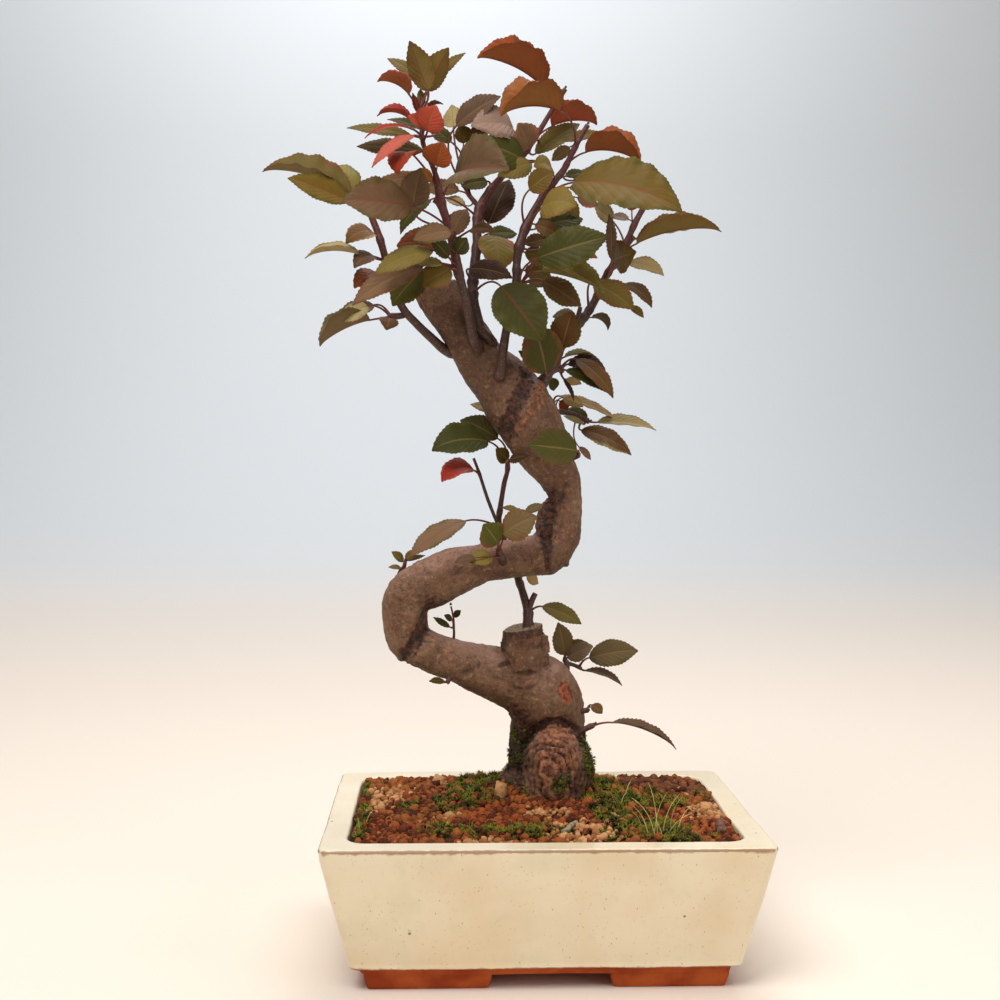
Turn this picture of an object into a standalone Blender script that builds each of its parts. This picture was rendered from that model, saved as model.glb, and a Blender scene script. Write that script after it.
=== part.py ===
"""Apple bonsai in a glazed pot: pot, drain screens, soil, trunk and leafy shoots.

The pot stands on z = 0 with its middle over the pot's own origin. Sizes and places
are in millimetres and become metres when a mesh is made. The tree is laid out on a
front sheet, the upright plane through the middle of the pot: x and z are read on that
sheet as they appear from the eye point, and y is the depth behind it.
"""

import math
import random

import bmesh
import bpy
from mathutils import Vector
from mathutils.bvhtree import BVHTree

MM = 0.001
SEED = 11
GAP = 0.3

# Eye point of the front sheet and the shift that centres the whole part.
EYE = Vector((-48.5, -670.0, 248.9))
CENTRE_SHIFT = 17.5

# Pot: half sizes of its outer and inner outline at each height.
RIM_HALF_X = 105.0
RIM_HALF_Y = 75.0
RIM_WIDTH = 12.4
RIM_TOP = 70.0
RIM_ROUND = 1.2
GLAZE_FOOT = 11.0
BAND_FOOT = 7.5
TAPER_X = 12.5
TAPER_Y = 11.0
BAND_INSET_X = 4.0
BAND_INSET_Y = 2.0
BAND_SLOPE = 1.5
GLAZE_LIP = 0.6
FLOOR_TOP = 14.0
INNER_TAPER = 8.0
OUTER_CORNER = 5.0
INNER_CORNER = 10.0
CORNER_POINTS = 3
DRAIN_X = 45.0
DRAIN_RADIUS = 8.0
DRAIN_SIDES = 12
CUT_PAST = 2.0

# Feet: outer ends, inner ends and widths, with ends that lean in to the ground.
FOOT_LEFT = (-85.0, -25.0)
FOOT_RIGHT = (29.5, 86.0)
FOOT_HALF_Y = 60.0
FOOT_WIDTH = 14.0
FOOT_RETURN = 36.0
FOOT_CHAMFER = 2.0
FOOT_SUNK = 1.0

# Drain screens: square plates with a grid of square holes.
SCREEN_HALF = 11.5
SCREEN_THICK = 1.0
SCREEN_HOLES = 2
SCREEN_HOLE = 7.0

# Soil: a low mound round the trunk, with grains raised by a seeded formula.
SOIL_EDGE = 68.3
SOIL_WALL_GAP = 0.7
SOIL_EDGE_DROP = 0.8
SOIL_EDGE_DEPTH = 2.0
MOUND_RISE = 8.7
MOUND_X = 7.0
MOUND_Y = 18.0
MOUND_SPREAD_X = 55.0
MOUND_SPREAD_Y = 38.0
GRAIN_RISE = 1.1
SOIL_CELLS_X = 21
SOIL_CELLS_Y = 14

# Buried foot of the trunk: plain upright prisms that stand in the soil.
ROOT_BOTTOM = 50.0
SOIL_LINE = 79.5
COLUMN_X = 6.0
COLUMN_Y = 27.0
COLUMN_RADIUS = 25.5
COLUMN_FLARE = (4.5, 89, 27, 22.5)
STUMP_X = 9.5
STUMP_Y = 8.0
STUMP_HALF_X = 18.5
STUMP_HALF_Y = 16.5
COLUMN_NECK = 9.0
COLUMN_NECK_IN = 3.0
TRUNK_SIDES = 12
TRUNK_STEP = 10.0
TRUNK_LUMP = 0.03
LOBE_SIDES = 8
SOIL_HOLE_GAP = 0.4

# Lower trunk from the soil to the left bend: x, z, y and radius.
LOWER_TRUNK = [
    (4.5, 95, 27, 20.5),
    (4.5, 105, 26, 19.5),
    (4, 118, 23, 19.5),
    (0, 128, 16, 19),
    (-8, 133, 14, 16.5),
    (-20, 136.5, 11, 14),
    (-32, 140, 8, 12),
    (-42, 143.5, 4, 10.8),
    (-52, 147.5, 2, 10.5),
    (-60, 151, 0, 11),
    (-66, 154, 0, 9),
]

# Left bend and middle trunk, running back to the right.
MIDDLE_TRUNK = [
    (-62, 150, 0, 10),
    (-66, 155, 0, 11.5),
    (-68, 165, -1, 11.5),
    (-66, 177, -2, 11.5),
    (-55, 183.5, -3, 12.3),
    (-42.5, 189.3, -3, 12.5),
    (-29, 193.5, -3, 10),
    (-16, 195.5, -3, 9.5),
    (-5, 197, -2, 10.5),
    (4, 198, -2, 11),
    (9, 200, -2, 8),
]

# Upper trunk, rising from the right bend to the slanting cut at the top.
UPPER_TRUNK = [
    (5, 196, -2, 9.5),
    (10, 206, -1, 9.5),
    (12, 217, 0, 9),
    (12, 227, 1, 8.7),
    (9, 237, 2, 10.5),
    (3, 247, 3, 13),
    (-2, 256, 3, 15.2),
    (-7.5, 266, 3, 16.5),
    (-14, 275.5, 3, 16.5),
    (-21, 284.5, 3, 14.5),
    (-27, 291, 2, 13),
    (-32.5, 298, 2, 12),
    (-38, 307, 2, 11.4),
    (-43, 315, 2, 11.2),
    (-49, 324, 2, 10.9),
    (-54.5, 332, 2, 10.9),
    (-59, 340, 2, 10.9),
]
TOP_CUT = (-54.3, 332, 2)
TOP_CUT_LEAN = (-0.27, 0.0, 0.96)

# Old cut stub on the lower trunk, with a lobe beside it.
STUB = [(-9, 140, 7, 10.5), (-8.6, 155, 7, 10), (-8.3, 170, 7, 9.3)]
STUB_CUT = (-8.3, 161.5, 7)
STUB_CUT_LEAN = (-0.2, -0.05, 0.98)
STUB_LOBE = [(1, 142, 6, 3.0), (1.5, 150, 6, 3.4), (1, 157, 6, 2.6)]

# Front stump: centre x, height, half width and half depth of its rings.
STUMP_RINGS = [
    (9.5, 86, 17.2, 16),
    (9, 92, 16, 15),
    (8.5, 98, 14.5, 14),
    (8.3, 103, 12.6, 12),
    (8, 107, 9, 8.5),
    (8.5, 109.6, 5, 5),
]

# Twigs: how deep each foot stands in the trunk and how square it leaves it.
SOCKET_DEPTH = 2.8
SOCKET_MOUTH = 1.8
TWIG_SUNK = 2.4
TWIG_CLEAR = 3.2
TWIG_END = 1.5
TWIG_SIDES = 5
SOCKET_SIDES = 6

# Crown depth: above a height the shoots spread in depth by this share.
SPREAD_FROM = 296.0
SPREAD_FULL = 350.0
SPREAD_SHARE = 0.6
LEAN_FULL = 400.0

# Leaves: blade thickness, stalk sizes and the shape of the toothed outline.
LEAF_THICK = 0.8
LEAF_WIDEN = 1.1
SMALL_LEAF = 12.0
PETIOLE_RADIUS = 0.6
SMALL_PETIOLE = 0.42
PETIOLE_LEAD = 0.45
LONG_PETIOLE = 9.0
ROOT_DROP = 3.0
DEPTH_WEIGHT = 0.4
TOOTH = 0.09
TOOTH_START = 0.45
TOOTH_REACH = 0.93
WIDEST_POWER = 0.85
ROUND_POWER = 0.7
FOLD_WIDTH = 2.5
ROWS_FROM_LENGTH = (0.0, 0.0, 10.0, 19.0, 30.0)

# Materials: colour, roughness and metallic.
GLAZE = ((0.76, 0.62, 0.39), 0.3, 0.0)
NET = ((0.03, 0.03, 0.03), 0.6, 0.0)
AKADAMA = ((0.3, 0.12, 0.05), 0.95, 0.0)
BARK = ((0.19, 0.12, 0.085), 0.8, 0.0)
OLIVE = ((0.16, 0.15, 0.045), 0.5, 0.0)
DARK_GREEN = ((0.06, 0.085, 0.03), 0.45, 0.0)
MAUVE = ((0.17, 0.11, 0.085), 0.5, 0.0)
DRY = ((0.12, 0.06, 0.045), 0.7, 0.0)

# Shoots. A twig is a list of points (x, z, y, radius); the first twig starts in the
# trunk. A leaf is base, tip, width, arch, roll and fold, with the place on its twig
# where its stalk grows where that isn't the nearest one. Arch is how far the rib
# turns, roll is 0 edge-on and 90 face-on to the front, and fold lifts both halves.
# A shoot with a lean moves back by that much as it rises.
SHOOTS = {
    "shoot_left": {
        "finish": OLIVE,
        "twigs": [
            [(-46, 300, 2, 2.6), (-55, 305.5, -2, 2.3), (-63, 313, -4, 2.1), (-70, 321, -6, 2),
             (-75, 333, -8, 1.9), (-79, 347, -8, 1.8), (-82, 357, -7, 1.8), (-86, 367, -6, 1.6),
             (-89, 375, -6, 1.1)],
            [(-69, 317, -5, 1.4), (-73, 316.5, -6, 1.8), (-77, 316, -7, 1.6)],
        ],
        "leaves": [
            ((-86, 314.5, -8), (-111, 301, -14), 20, 30, 5, 58),
            ((-84, 322, -3), (-104, 311, -7), 12, 30, 45, 15, (-76, 316)),
            ((-87, 321.5, -9), (-100, 313, -12), 10, 45, 55, 15, (-76, 316)),
            ((-81, 336, -4), (-94, 330, -8), 12, 100, 40, 0),
            ((-84, 346, -10), (-94, 340, -14), 10, 90, 45, 0),
            ((-91, 347, -12), (-118.5, 344.5, -14), 10, 45, 15, 45, (-79, 345)),
            ((-84, 357, -9), (-98, 352, -13), 11, 110, 45, 0),
            ((-96, 377, -5), (-139.5, 387, -2), 22, 42, 20, 35),
            ((-97, 373, -10), (-127, 384, -13), 13, 12, 62, 15),
            ((-93, 378, -2), (-108, 389, 5), 14, 70, 40, 10),
            ((-76.5, 315.5, -9), (-78, 309.5, -16), 9, 60, 90, 0),
            ((-95, 376, 2), (-118, 383, 16), 12, 30, 40, 15, (-88, 372)),
        ],
    },
    "shoot_front": {
        "finish": MAUVE,
        "twigs": [
            [(-33, 300, -7, 2.6), (-34.5, 306, -14, 2.4), (-37, 318, -15.5, 2.2),
             (-40, 331, -16, 2.1), (-43, 342, -16, 2.2), (-45, 354, -17, 2), (-48, 364, -18, 2),
             (-51, 373, -19, 2.2), (-52.5, 381, -20, 1.5), (-54.5, 389, -21, 1.3),
             (-57.5, 396, -22, 1.1), (-60, 402, -23, 1), (-61, 410, -23, 0.9),
             (-62, 418, -23, 0.8)],
            [(-50.5, 372, -19, 1.6), (-54.5, 374.5, -19, 1.4)],
        ],
        "leaves": [
            ((-66, 371, -24), (-100, 373, -31), 22, 20, 55, 10, (-50, 361)),
            ((-65, 371.5, -21), (-61, 390, -26), 14, 20, 70, 0, (-50, 361)),
            ((-58, 386, -18), (-87, 379.5, -15), 9, 20, 45, 0),
            ((-55, 349.5, -24), (-84, 337, -30), 11, 38, 55, 0, (-44, 347)),
            ((-60, 341.5, -20), (-95, 321.5, -28), 13, 25, 55, 18, (-43, 340)),
            ((-60, 339.5, -15), (-75, 321.5, -18), 16, 25, 62, 0, (-42, 338)),
            ((-46, 359, -23), (-65, 354, -27), 11, 30, 52, 0),
            ((-45, 357, -19), (-38, 370, -17), 11, 50, 60, 0),
            ((-43, 386, -12), (-24, 396, -8), 13, 25, 60, 10, (-50, 374)),
            ((-53, 352, -17), (-73, 351.5, -15), 15, 45, 60, 0, (-45, 351)),
            ((-47, 346, -22), (-57, 356.5, -25), 8, 20, 60, 0),
            ((-43, 348, -20), (-38, 356, -21), 9, 20, 62, 0),
            ((-50, 343, -20), (-66, 343.5, -21), 6, 20, 50, 0),
            ((-46, 340, -21), (-60, 331, -24), 13, 30, 60, 0),
            ((-44, 387, -22), (-17, 389.5, -42), 29, 35, 50, 32, (-50, 374)),
            ((-55.5, 383.5, -22), (-62, 390, -24), 5, 20, 60, 0),
            ((-36.5, 359.5, -20), (-24, 359, -24), 7, 60, 45, 0, (-44, 355)),
            ((-58, 428, -24), (-60, 449, -28), 22, 40, -80, 22, (-61, 418)),
            ((-60, 432, -20), (-78, 443.5, -17), 8, 20, 45, 0, (-61, 418)),
            ((-55, 433, -20), (-39, 447, -18), 6, 20, 45, 0, (-61, 418)),
            ((-67, 426, -23), (-83, 432, -24), 14, 60, 5, 50, (-62, 417)),
            ((-62.5, 417, -24), (-65.5, 427, -24), 3.4, 10, 62, 0),
            ((-61, 420, -21), (-61.5, 429, -19), 4, 10, 70, 0),
            ((-58, 418.5, -22), (-50, 421.5, -21), 5, 70, 15, 35),
            ((-58, 408, -27), (-53.5, 421, -31), 14, 30, 70, 12),
            ((-60, 411.5, -26), (-68, 415.5, -29), 6, 30, 55, 0),
            ((-66, 413.5, -22), (-83, 415, -22), 9, 80, 15, 40),
            ((-65, 409, -25), (-89, 404, -29), 4, 70, 25, 15),
            ((-64.5, 406, -28), (-85.5, 389.5, -35), 9, 50, 60, 0),
            ((-64.5, 396, -27), (-72.5, 386.5, -33), 14, 125, 35, 0, (-53, 383)),
            ((-53, 391, -25), (-50, 403, -28), 15, 20, 68, 22, (-52, 380)),
            ((-66, 406, -15), (-98, 409, -14), 7, 25, 45, 0, (-60, 402)),
            ((-60, 398.5, -12), (-93, 400, -10), 10, 15, 52, 0, (-57, 395)),
            ((-57, 408.5, -14), (-78, 413.5, -11), 5, 20, 45, 0, (-60, 402)),
        ],
    },
    "shoot_middle": {
        "finish": OLIVE,
        "lean": 22.0,
        "twigs": [
            [(-28, 303, -4, 2.4), (-30, 309, -11, 2.3), (-32.5, 317, -10, 2.3), (-35, 327, -8, 2.7),
             (-34.5, 339, -4, 2.5), (-33, 352, 0, 2.3), (-33, 363, 2, 2.4), (-31.5, 371, 3, 2.5),
             (-27, 379, 4, 2), (-20, 387, 2, 1.7), (-13, 394, 1, 1.5), (-8, 400, 0, 1.4),
             (-2, 409.5, 0, 1.4), (4, 419.5, 0, 1.3), (10.5, 430, 0, 1.3)],
            [(-32, 371, 3, 1.3), (-38, 378, 3, 0.9)],
        ],
        "leaves": [
            ((-1, 431, 2), (-33.5, 444.5, -10), 29, 35, 5, 62, (7, 425)),
            ((4, 411.5, 3), (26.5, 412.5, 6), 22, 45, 8, 58, (-4, 404)),
            ((-4, 398, 4), (18, 413, 10), 11, 15, 62, 15),
            ((8, 404.5, 12), (29, 409, 16), 7, 15, 50, 0, (-6, 402)),
            ((-9, 394, -6), (-34, 402.5, -15), 16, 30, 60, 8, (-12, 396)),
            ((-6, 393.5, -8), (-23, 386.5, -10), 12, 20, 60, 0),
            ((-8, 393, -1), (-20, 392, -3), 7, 20, 50, 0),
            ((-15, 409, -4), (-36.5, 411, -11), 18, 90, 50, 0, (-9, 399)),
            ((-43.5, 411, -5), (-21.5, 426, -8), 14, 30, 45, 22, (-38, 378)),
            ((-45, 410.5, -1), (-46, 421.5, 2), 11, 20, -70, 0, (-38, 378)),
            ((-46, 403, -1), (-57, 410, 0), 8, 20, 60, 0, (-38, 378)),
            ((-40, 402.5, -3), (-41, 412, -4), 10, 30, 62, 0, (-37, 377)),
            ((-36, 403, -5), (-27.5, 410.5, -7), 10, 30, 62, 0, (-36, 376)),
            ((-7, 400.5, -4), (-13, 413, -9), 15, 15, 65, 15),
            ((-21, 332, -20), (0.5, 304.5, -30), 24, 25, 72, 0, (-34.5, 331)),
            ((-27, 363, 9), (-17, 385, 12), 17, 10, 65, 0, (-32, 369)),
            ((-25, 357, -3), (-22, 339, -8), 19, 50, 65, 0, (-33, 350)),
            ((-37, 340.5, -11), (-15, 336, -18), 12, 40, 55, 0, (-34.5, 336)),
            ((-27, 358, -3), (-13, 358, 4), 8, 20, 50, 0, (-33, 352)),
            ((-42, 379, 7), (-60, 380.5, 12), 9, 20, 60, 0),
            ((-39, 372, 7), (-49, 375.5, 9), 6, 20, 50, 0),
            ((-56, 374.5, -3), (-71, 357, 1), 9, 60, 45, 0, (-34, 368)),
            ((-28, 384, 3), (-41, 381, 1), 9, 20, 60, 0),
            ((-27, 368, 14), (-19, 380, 20), 12, 20, 60, 0, (-32, 366)),
        ],
    },
    "shoot_right": {
        "finish": DARK_GREEN,
        "twigs": [
            [(-21, 289, -11, 2.5), (-20, 296, -13, 2.3), (-19, 304, -13, 2.2),
             (-17.5, 313, -12, 2), (-15, 324, -9, 1.9), (-13.3, 335, -6, 2.0),
             (-13, 344, -4, 2), (-12, 351, -3, 2.3), (-10, 358, -2, 2.2), (-7.5, 364, -1, 2.2),
             (-4, 370.5, 0, 2), (0.5, 378, 1, 1.8), (6, 385, 2, 1.6), (10, 390, 3, 1.5),
             (14, 398, 4, 1.4), (18, 406, 5, 1.4), (22, 412.5, 5, 1.3)],
            [(-13.3, 332, -6, 1.4), (-10, 333, -8, 1.2)],
        ],
        "leaves": [
            ((8, 419, -6), (-21.5, 416, -14), 30, 45, 5, 58, (18, 406)),
            ((21, 399, 4), (48.5, 393.5, 0), 25, 50, 8, 58, (13, 392)),
            ((13, 401.5, 9), (4, 394.5, 11), 7, 20, -60, 0),
            ((4, 391, -3), (-5, 391.5, -5), 11, 100, 45, 0),
            ((-7, 380, -6), (5.5, 389, -9), 12, 20, 62, 0, (-8, 363)),
            ((-1, 371, -9), (17, 372, -15), 18, 75, 50, 0, (-8, 362)),
            ((11, 376, 6), (18, 366, 8), 7, 30, 55, 0),
            ((17, 376.5, 8), (27.5, 373, 10), 8, 20, 60, 0, (3, 381)),
            ((15, 384, -6), (70, 370, -20), 30, 60, 35, 12, (2, 379)),
            ((13, 381.5, -1), (40, 378.5, -5), 10, 15, 48, 0, (1, 379)),
            ((11, 387, 8), (22, 389, 12), 6, 15, 50, 0, (7, 386)),
            ((-3, 346, -19), (33, 357.5, -24), 19, 20, 65, 0, (-10, 333)),
            ((-3, 361, 5), (20, 366, 10), 15, 25, 52, 10),
            ((-4, 363, -4), (8, 358, -5), 8, 15, 60, 0),
            ((12, 351.5, -13), (27.5, 346.5, -16), 7, 20, 55, 0, (-10, 333)),
            ((-1, 339.5, -10), (31, 329, -14), 21, 28, 25, 42, (-10, 333)),
            ((0, 335, -7), (19.5, 322.5, -7), 13, 20, 60, 0, (-10, 333)),
            ((-9, 349, 3), (3, 344, 7), 10, 20, 60, 0, (-12.5, 349)),
            ((-9, 353, 2), (4, 356, 6), 8, 20, 55, 0),
            ((-7, 334, -3), (2, 333.5, -1), 6, 20, 55, 0, (-12, 332)),
            ((-9, 340, 6), (5, 336, 11), 11, 20, 58, 0, (-13.3, 337)),
            ((1, 352, 5), (22, 360, 14), 13, 25, 50, 10, (-12, 350)),
            ((15, 385, 11), (42, 382, 22), 13, 30, 40, 15, (7, 387)),
        ],
    },
    "shoot_far_right": {
        "finish": OLIVE,
        "lean": 14.0,
        "twigs": [
            [(3, 287, -2, 2.6), (6, 294, -3, 2.3), (9, 301, -3, 2.2), (13, 307, -2, 2.2),
             (17, 312, 0, 2.1), (21, 317, 2, 2.1), (25, 323, 4, 2), (28, 329, 5, 1.9),
             (31, 336, 6, 1.9), (35, 343, 6, 1.8), (39, 350, 6, 1.7), (43, 357, 6, 1.6),
             (46, 364, 6, 1.6), (52, 375, 6, 1.4)],
            [(6, 293, -3, 1.6), (9, 291, 2, 1.5), (10, 290, 7, 1.2)],
            [(17, 313, 0, 1.4), (19, 322, 0, 1.1)],
            [(42, 353, 6, 1.2), (46, 357.5, 5, 1.1)],
        ],
        "leaves": [
            ((47, 354, 9), (90, 360.5, 7), 19, 35, 5, 55, (38, 348)),
            ((44.5, 370.5, 5), (44, 379, 3), 8, 20, 62, 0, (45, 363)),
            ((10, 302, -9), (15, 320, -13), 15, 25, 75, 0),
            ((17, 317, 7), (5, 317, 10), 8, 50, 45, 0),
            ((25, 317, 3), (33, 310.5, 2), 9, 80, 15, 35, (21, 317)),
            ((34.5, 346, 1), (33, 369, -4), 6, 20, 60, 0, (30, 333)),
            ((36, 346, -2), (47, 350, -16), 15, 20, 80, 0, (31, 336)),
            ((43, 344, 6), (61, 338, 4), 10, 60, 42, 0, (33, 339)),
            ((35, 365, 12), (25, 374, 16), 9, 15, -62, 0, (40, 352)),
            ((43, 366, 9), (34, 368, 12), 5, 20, 50, 0),
            ((26, 334, -2), (46, 321, -6), 14, 20, 58, 0, (24, 322)),
            ((41, 334, 3), (55, 322, 1), 9, 60, 40, 0, (28, 329)),
            ((44, 323, 8), (51, 317, 8), 5, 20, 50, 0, (27, 327)),
            ((2, 289, -12), (-6, 314, -18), 20, 30, 70, 0, (6, 293)),
            ((0, 290, -9), (-12, 300, -11), 8, 15, 50, 0, (5, 292)),
            ((5, 286.5, 6), (6, 280, 9), 6, 10, 60, 0, (9, 291)),
            ((11, 297, 9), (28, 296.5, 10), 8, 45, 15, 30, (10, 290)),
            ((13, 293.5, 5), (32, 291, 3), 12, 45, 35, 0, (9, 291)),
            ((17, 296, 1), (36, 276.5, -6), 11, 50, 45, 0, (9, 291)),
            ((12, 290.5, -1), (33.5, 279, -2), 9, 40, 45, 0, (9, 291)),
            ((50, 358, 12), (80, 362, 22), 12, 30, 35, 10, (42, 352)),
            ((12, 286, 11), (20, 283.5, 13), 6, 15, -50, 0, (10, 290)),
            ((11, 286, 2), (16, 275, 0), 4, 30, 35, 0, (9, 291)),
        ],
    },
    "shoot_rear": {
        "finish": OLIVE,
        "twigs": [
            [(-2, 268, 17, 1.8), (3, 269, 23, 1.7), (10, 269.5, 26, 1.5), (17, 268, 28, 1.3),
             (24, 264.5, 29, 1.1)],
        ],
        "leaves": [
            ((9, 277.5, 26), (39, 264.5, 35), 8, 20, 30, 20, (5, 269)),
            ((11, 276.5, 22), (21, 272, 24), 7, 15, -52, 0, (7, 269)),
            ((9, 275, 28), (13, 269.5, 33), 7, 15, 60, 0, (4, 269)),
            ((23, 266, 33), (12, 271, 36), 8, 20, 50, 0),
            ((21, 263.5, 27), (11, 267.5, 20), 4, 15, -45, 0, (22, 265)),
            ((28, 264.5, 31), (58, 260.5, 33), 10, 28, 35, 20),
            ((20, 260.5, 26), (45.5, 248, 24), 13, 50, 45, 8, (21, 266)),
            ((19, 252, 28), (25, 245.5, 29), 4.5, 10, 50, 0, (18, 267)),
            ((-24, 270, 26), (-36, 273, 29), 6, 15, 50, 0, (1, 269)),
        ],
    },
    "shoot_stub": {
        "finish": DARK_GREEN,
        "twigs": [
            [(-6, 162.5, 6, 2.5), (-6, 168, 7, 2.3), (-7.5, 174, 8.5, 2.1), (-10, 182, 12, 1.9),
             (-13, 190, 14, 1.8), (-17, 201, 15, 1.7), (-21, 213, 14, 1.5), (-20.5, 221, 12, 1.4),
             (-19.5, 228, 11, 1.3), (-18.5, 234, 10, 1.3), (-17, 240, 9, 1.2),
             (-17, 245, 8, 1.1)],
            [(-6, 169, 7, 1.6), (-4, 175, 6.5, 1.5), (-2.5, 178, 6, 1.4)],
            [(-21, 212, 14, 1.0), (-23, 216, 10, 0.9), (-27, 226, 8, 0.9), (-31, 238, 6, 0.8),
             (-34, 246, 5, 0.7)],
        ],
        "leaves": [
            ((-27, 254.5, 3), (-55, 249.5, -3), 19, 55, 50, 0, (-17, 245)),
            ((-22, 256, 12), (-41, 265, 17), 13, 20, 60, 0, (-17, 244)),
            ((-17, 244.5, 3), (-23, 251, 0), 8, 20, 62, 0),
            ((-16, 245.5, -5), (-6, 247.5, -16), 6, 20, 60, 0, (-17, 243)),
            ((-34, 240, 3), (-50, 234, 1), 15, 95, 35, 20),
            ((-19, 221.5, 9), (-10, 217.5, 5), 4.5, 60, 45, 0),
            ((-38, 214.5, 7), (-66, 196, -3), 13, 40, 45, 0, (-21, 210)),
            ((1, 171.5, 7), (21, 162.5, 5), 10, 40, 50, 0, (-6, 168)),
            ((-7, 187, 17), (-1, 183, 19), 6, 15, 60, 0),
        ],
    },
    "shoot_bud": {
        "finish": MAUVE,
        "twigs": [[(-20, 195, -11, 1.8), (-20.5, 197, -15, 1.7), (-21, 200, -18, 1.4)]],
        "leaves": [
            ((-19, 208, -20), (-2, 217, -23), 15, 30, 70, 0),
            ((-21.5, 203, -21), (-29, 213, -23), 14, 20, 68, 0),
            ((-24, 196, -19), (-37, 194, -20), 8.5, 25, 58, 0),
            ((-33, 196, -22), (-43.5, 193.5, -22), 5.5, 20, 45, 0),
            ((-8, 219, -19), (1.5, 223, -18), 5, 15, 55, 0, (-21, 200)),
        ],
    },
    "shoot_low_rear": {
        "finish": DARK_GREEN,
        "twigs": [
            [(12, 139, 21, 1.4), (12.8, 144, 25, 1.2), (12.8, 146, 25, 1.0)],
            [(12.8, 143, 24.5, 1.1), (18, 141.5, 28, 1.0), (21, 140, 29, 0.9)],
        ],
        "leaves": [
            ((12.5, 147, 23), (9, 163.5, 18), 11, 25, 65, 0),
            ((14, 145.5, 25), (27, 151.5, 24), 13, 25, 55, 0),
            ((13.5, 147, 28), (20, 155, 33), 8, 20, 60, 0, (12.8, 145)),
            ((25, 145.5, 29), (50, 149, 29), 14, 15, 68, 0, (20, 140)),
            ((23, 139, 29), (42, 131, 28), 6, 50, 40, 20),
        ],
    },
    "sprout_front_right": {
        "finish": DARK_GREEN,
        "twigs": [[(16, 246, -9, 1.3), (18.5, 247.5, -14, 1.1), (18.5, 249, -17, 0.9)]],
        "leaves": [((18, 250, -18), (-7, 253, -22), 18, 25, 68, 0)],
    },
    "sprout_left": {
        "finish": OLIVE,
        "twigs": [[(-69, 187, 0, 1.0), (-69, 190, 1, 0.9), (-68, 194, 1, 0.8)]],
        "leaves": [
            ((-69, 194, 1), (-75, 199, 0), 4.5, 15, 60, 0),
            ((-68, 195, 1), (-62, 200, 2), 4.5, 15, 60, 0),
            ((-70, 190.5, 0), (-76.5, 191, -1), 3, 50, 50, 0),
            ((-67, 194.5, 2), (-58, 197, 4), 3, 15, 50, 0),
        ],
    },
    "sprout_inner": {
        "finish": DARK_GREEN,
        "twigs": [
            [(-43.5, 155.5, 4, 1.0), (-43.5, 160, 4, 0.9), (-43.8, 166, 4, 0.8),
             (-45, 171.5, 4, 0.7)],
        ],
        "leaves": [
            ((-45.5, 161, 3), (-54, 166, 2), 3.5, 15, 60, 0, (-43.5, 161)),
            ((-44.5, 164.5, 2), (-48.5, 167, 0), 3.5, 15, 60, 0, (-43.6, 163)),
            ((-43.5, 166, 4), (-40, 169.5, 4), 3.5, 15, 60, 0),
        ],
    },
    "sprout_under": {
        "finish": DRY,
        "twigs": [[(-45, 137, -3, 1.0), (-47, 132.5, -5, 0.9)]],
        "leaves": [((-48, 133.5, -6), (-56, 133.5, -8), 4, 30, 55, 0)],
    },
    "sprout_elbow": {
        "finish": DRY,
        "twigs": [[(21, 118.5, 16, 1.2), (25, 119.5, 16, 1.0)]],
        "leaves": [((26.5, 121.5, 15), (32, 117, 13), 6, 40, 60, 0, (24, 119))],
    },
    "shoot_stump": {
        "finish": DRY,
        "twigs": [
            [(18, 105.5, 4, 1.8), (22, 108.5, 2, 1.6), (26, 110.5, 1, 1.4), (28, 111.2, 1, 1.0)],
        ],
        "leaves": [((37, 112.5, 0), (70, 98.5, -4), 8, 42, 30, 35, (27, 111))],
    },
}

# Loose pieces on the soil: x, y and radius along each.
BARK_CHIP = [(82.5, -52, 1.5), (83.5, -46, 2.4), (85, -39, 2.2), (86, -33, 1.2)]
DEAD_TWIG = [(8, -49, 1.0), (11, -44, 1.3), (13, -38, 1.2), (16, -33, 0.9)]
LOOSE_SIDES = 6
DROP_FROM = 20.0
DROP_SAMPLES = 6
LEVEL_LIMIT = 0.98


def seen(x, z, y):
    """Place of a front sheet point that lies y behind the sheet."""
    on_sheet = Vector((x, 0.0, z))
    return EYE + (on_sheet - EYE) * ((y - EYE.y) / -EYE.y)


def in_crown(x, z, y, lean):
    """Place of a shoot point, spread in depth the higher it stands in the crown."""
    spread = min(1.0, max(0.0, (z - SPREAD_FROM) / (SPREAD_FULL - SPREAD_FROM)))
    rise = min(1.0, max(0.0, (z - SPREAD_FROM) / (LEAN_FULL - SPREAD_FROM)))
    return seen(x, z, y * (1 + SPREAD_SHARE * spread) + lean * rise)


def material(name, finish):
    """Principled material from a colour, a roughness and a metallic value."""
    colour, roughness, metallic = finish
    made = bpy.data.materials.new(name)
    made.use_nodes = True
    shader = made.node_tree.nodes["Principled BSDF"]
    shader.inputs["Base Color"].default_value = (*colour, 1.0)
    shader.inputs["Roughness"].default_value = roughness
    shader.inputs["Metallic"].default_value = metallic
    made.diffuse_color = (*colour, 1.0)
    return made


def mesh_object(name, work, finish=None):
    """Object in metres from a bmesh in millimetres, with its faces turned out."""
    bmesh.ops.recalc_face_normals(work, faces=work.faces)
    if work.calc_volume(signed=True) < 0:
        bmesh.ops.reverse_faces(work, faces=work.faces)
    bmesh.ops.scale(work, vec=Vector((MM, MM, MM)), verts=work.verts)
    mesh = bpy.data.meshes.new(name)
    work.to_mesh(mesh)
    work.free()
    made = bpy.data.objects.new(name, mesh)
    bpy.context.scene.collection.objects.link(made)
    if finish is not None:
        mesh.materials.append(material(name, finish))
    return made


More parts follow.
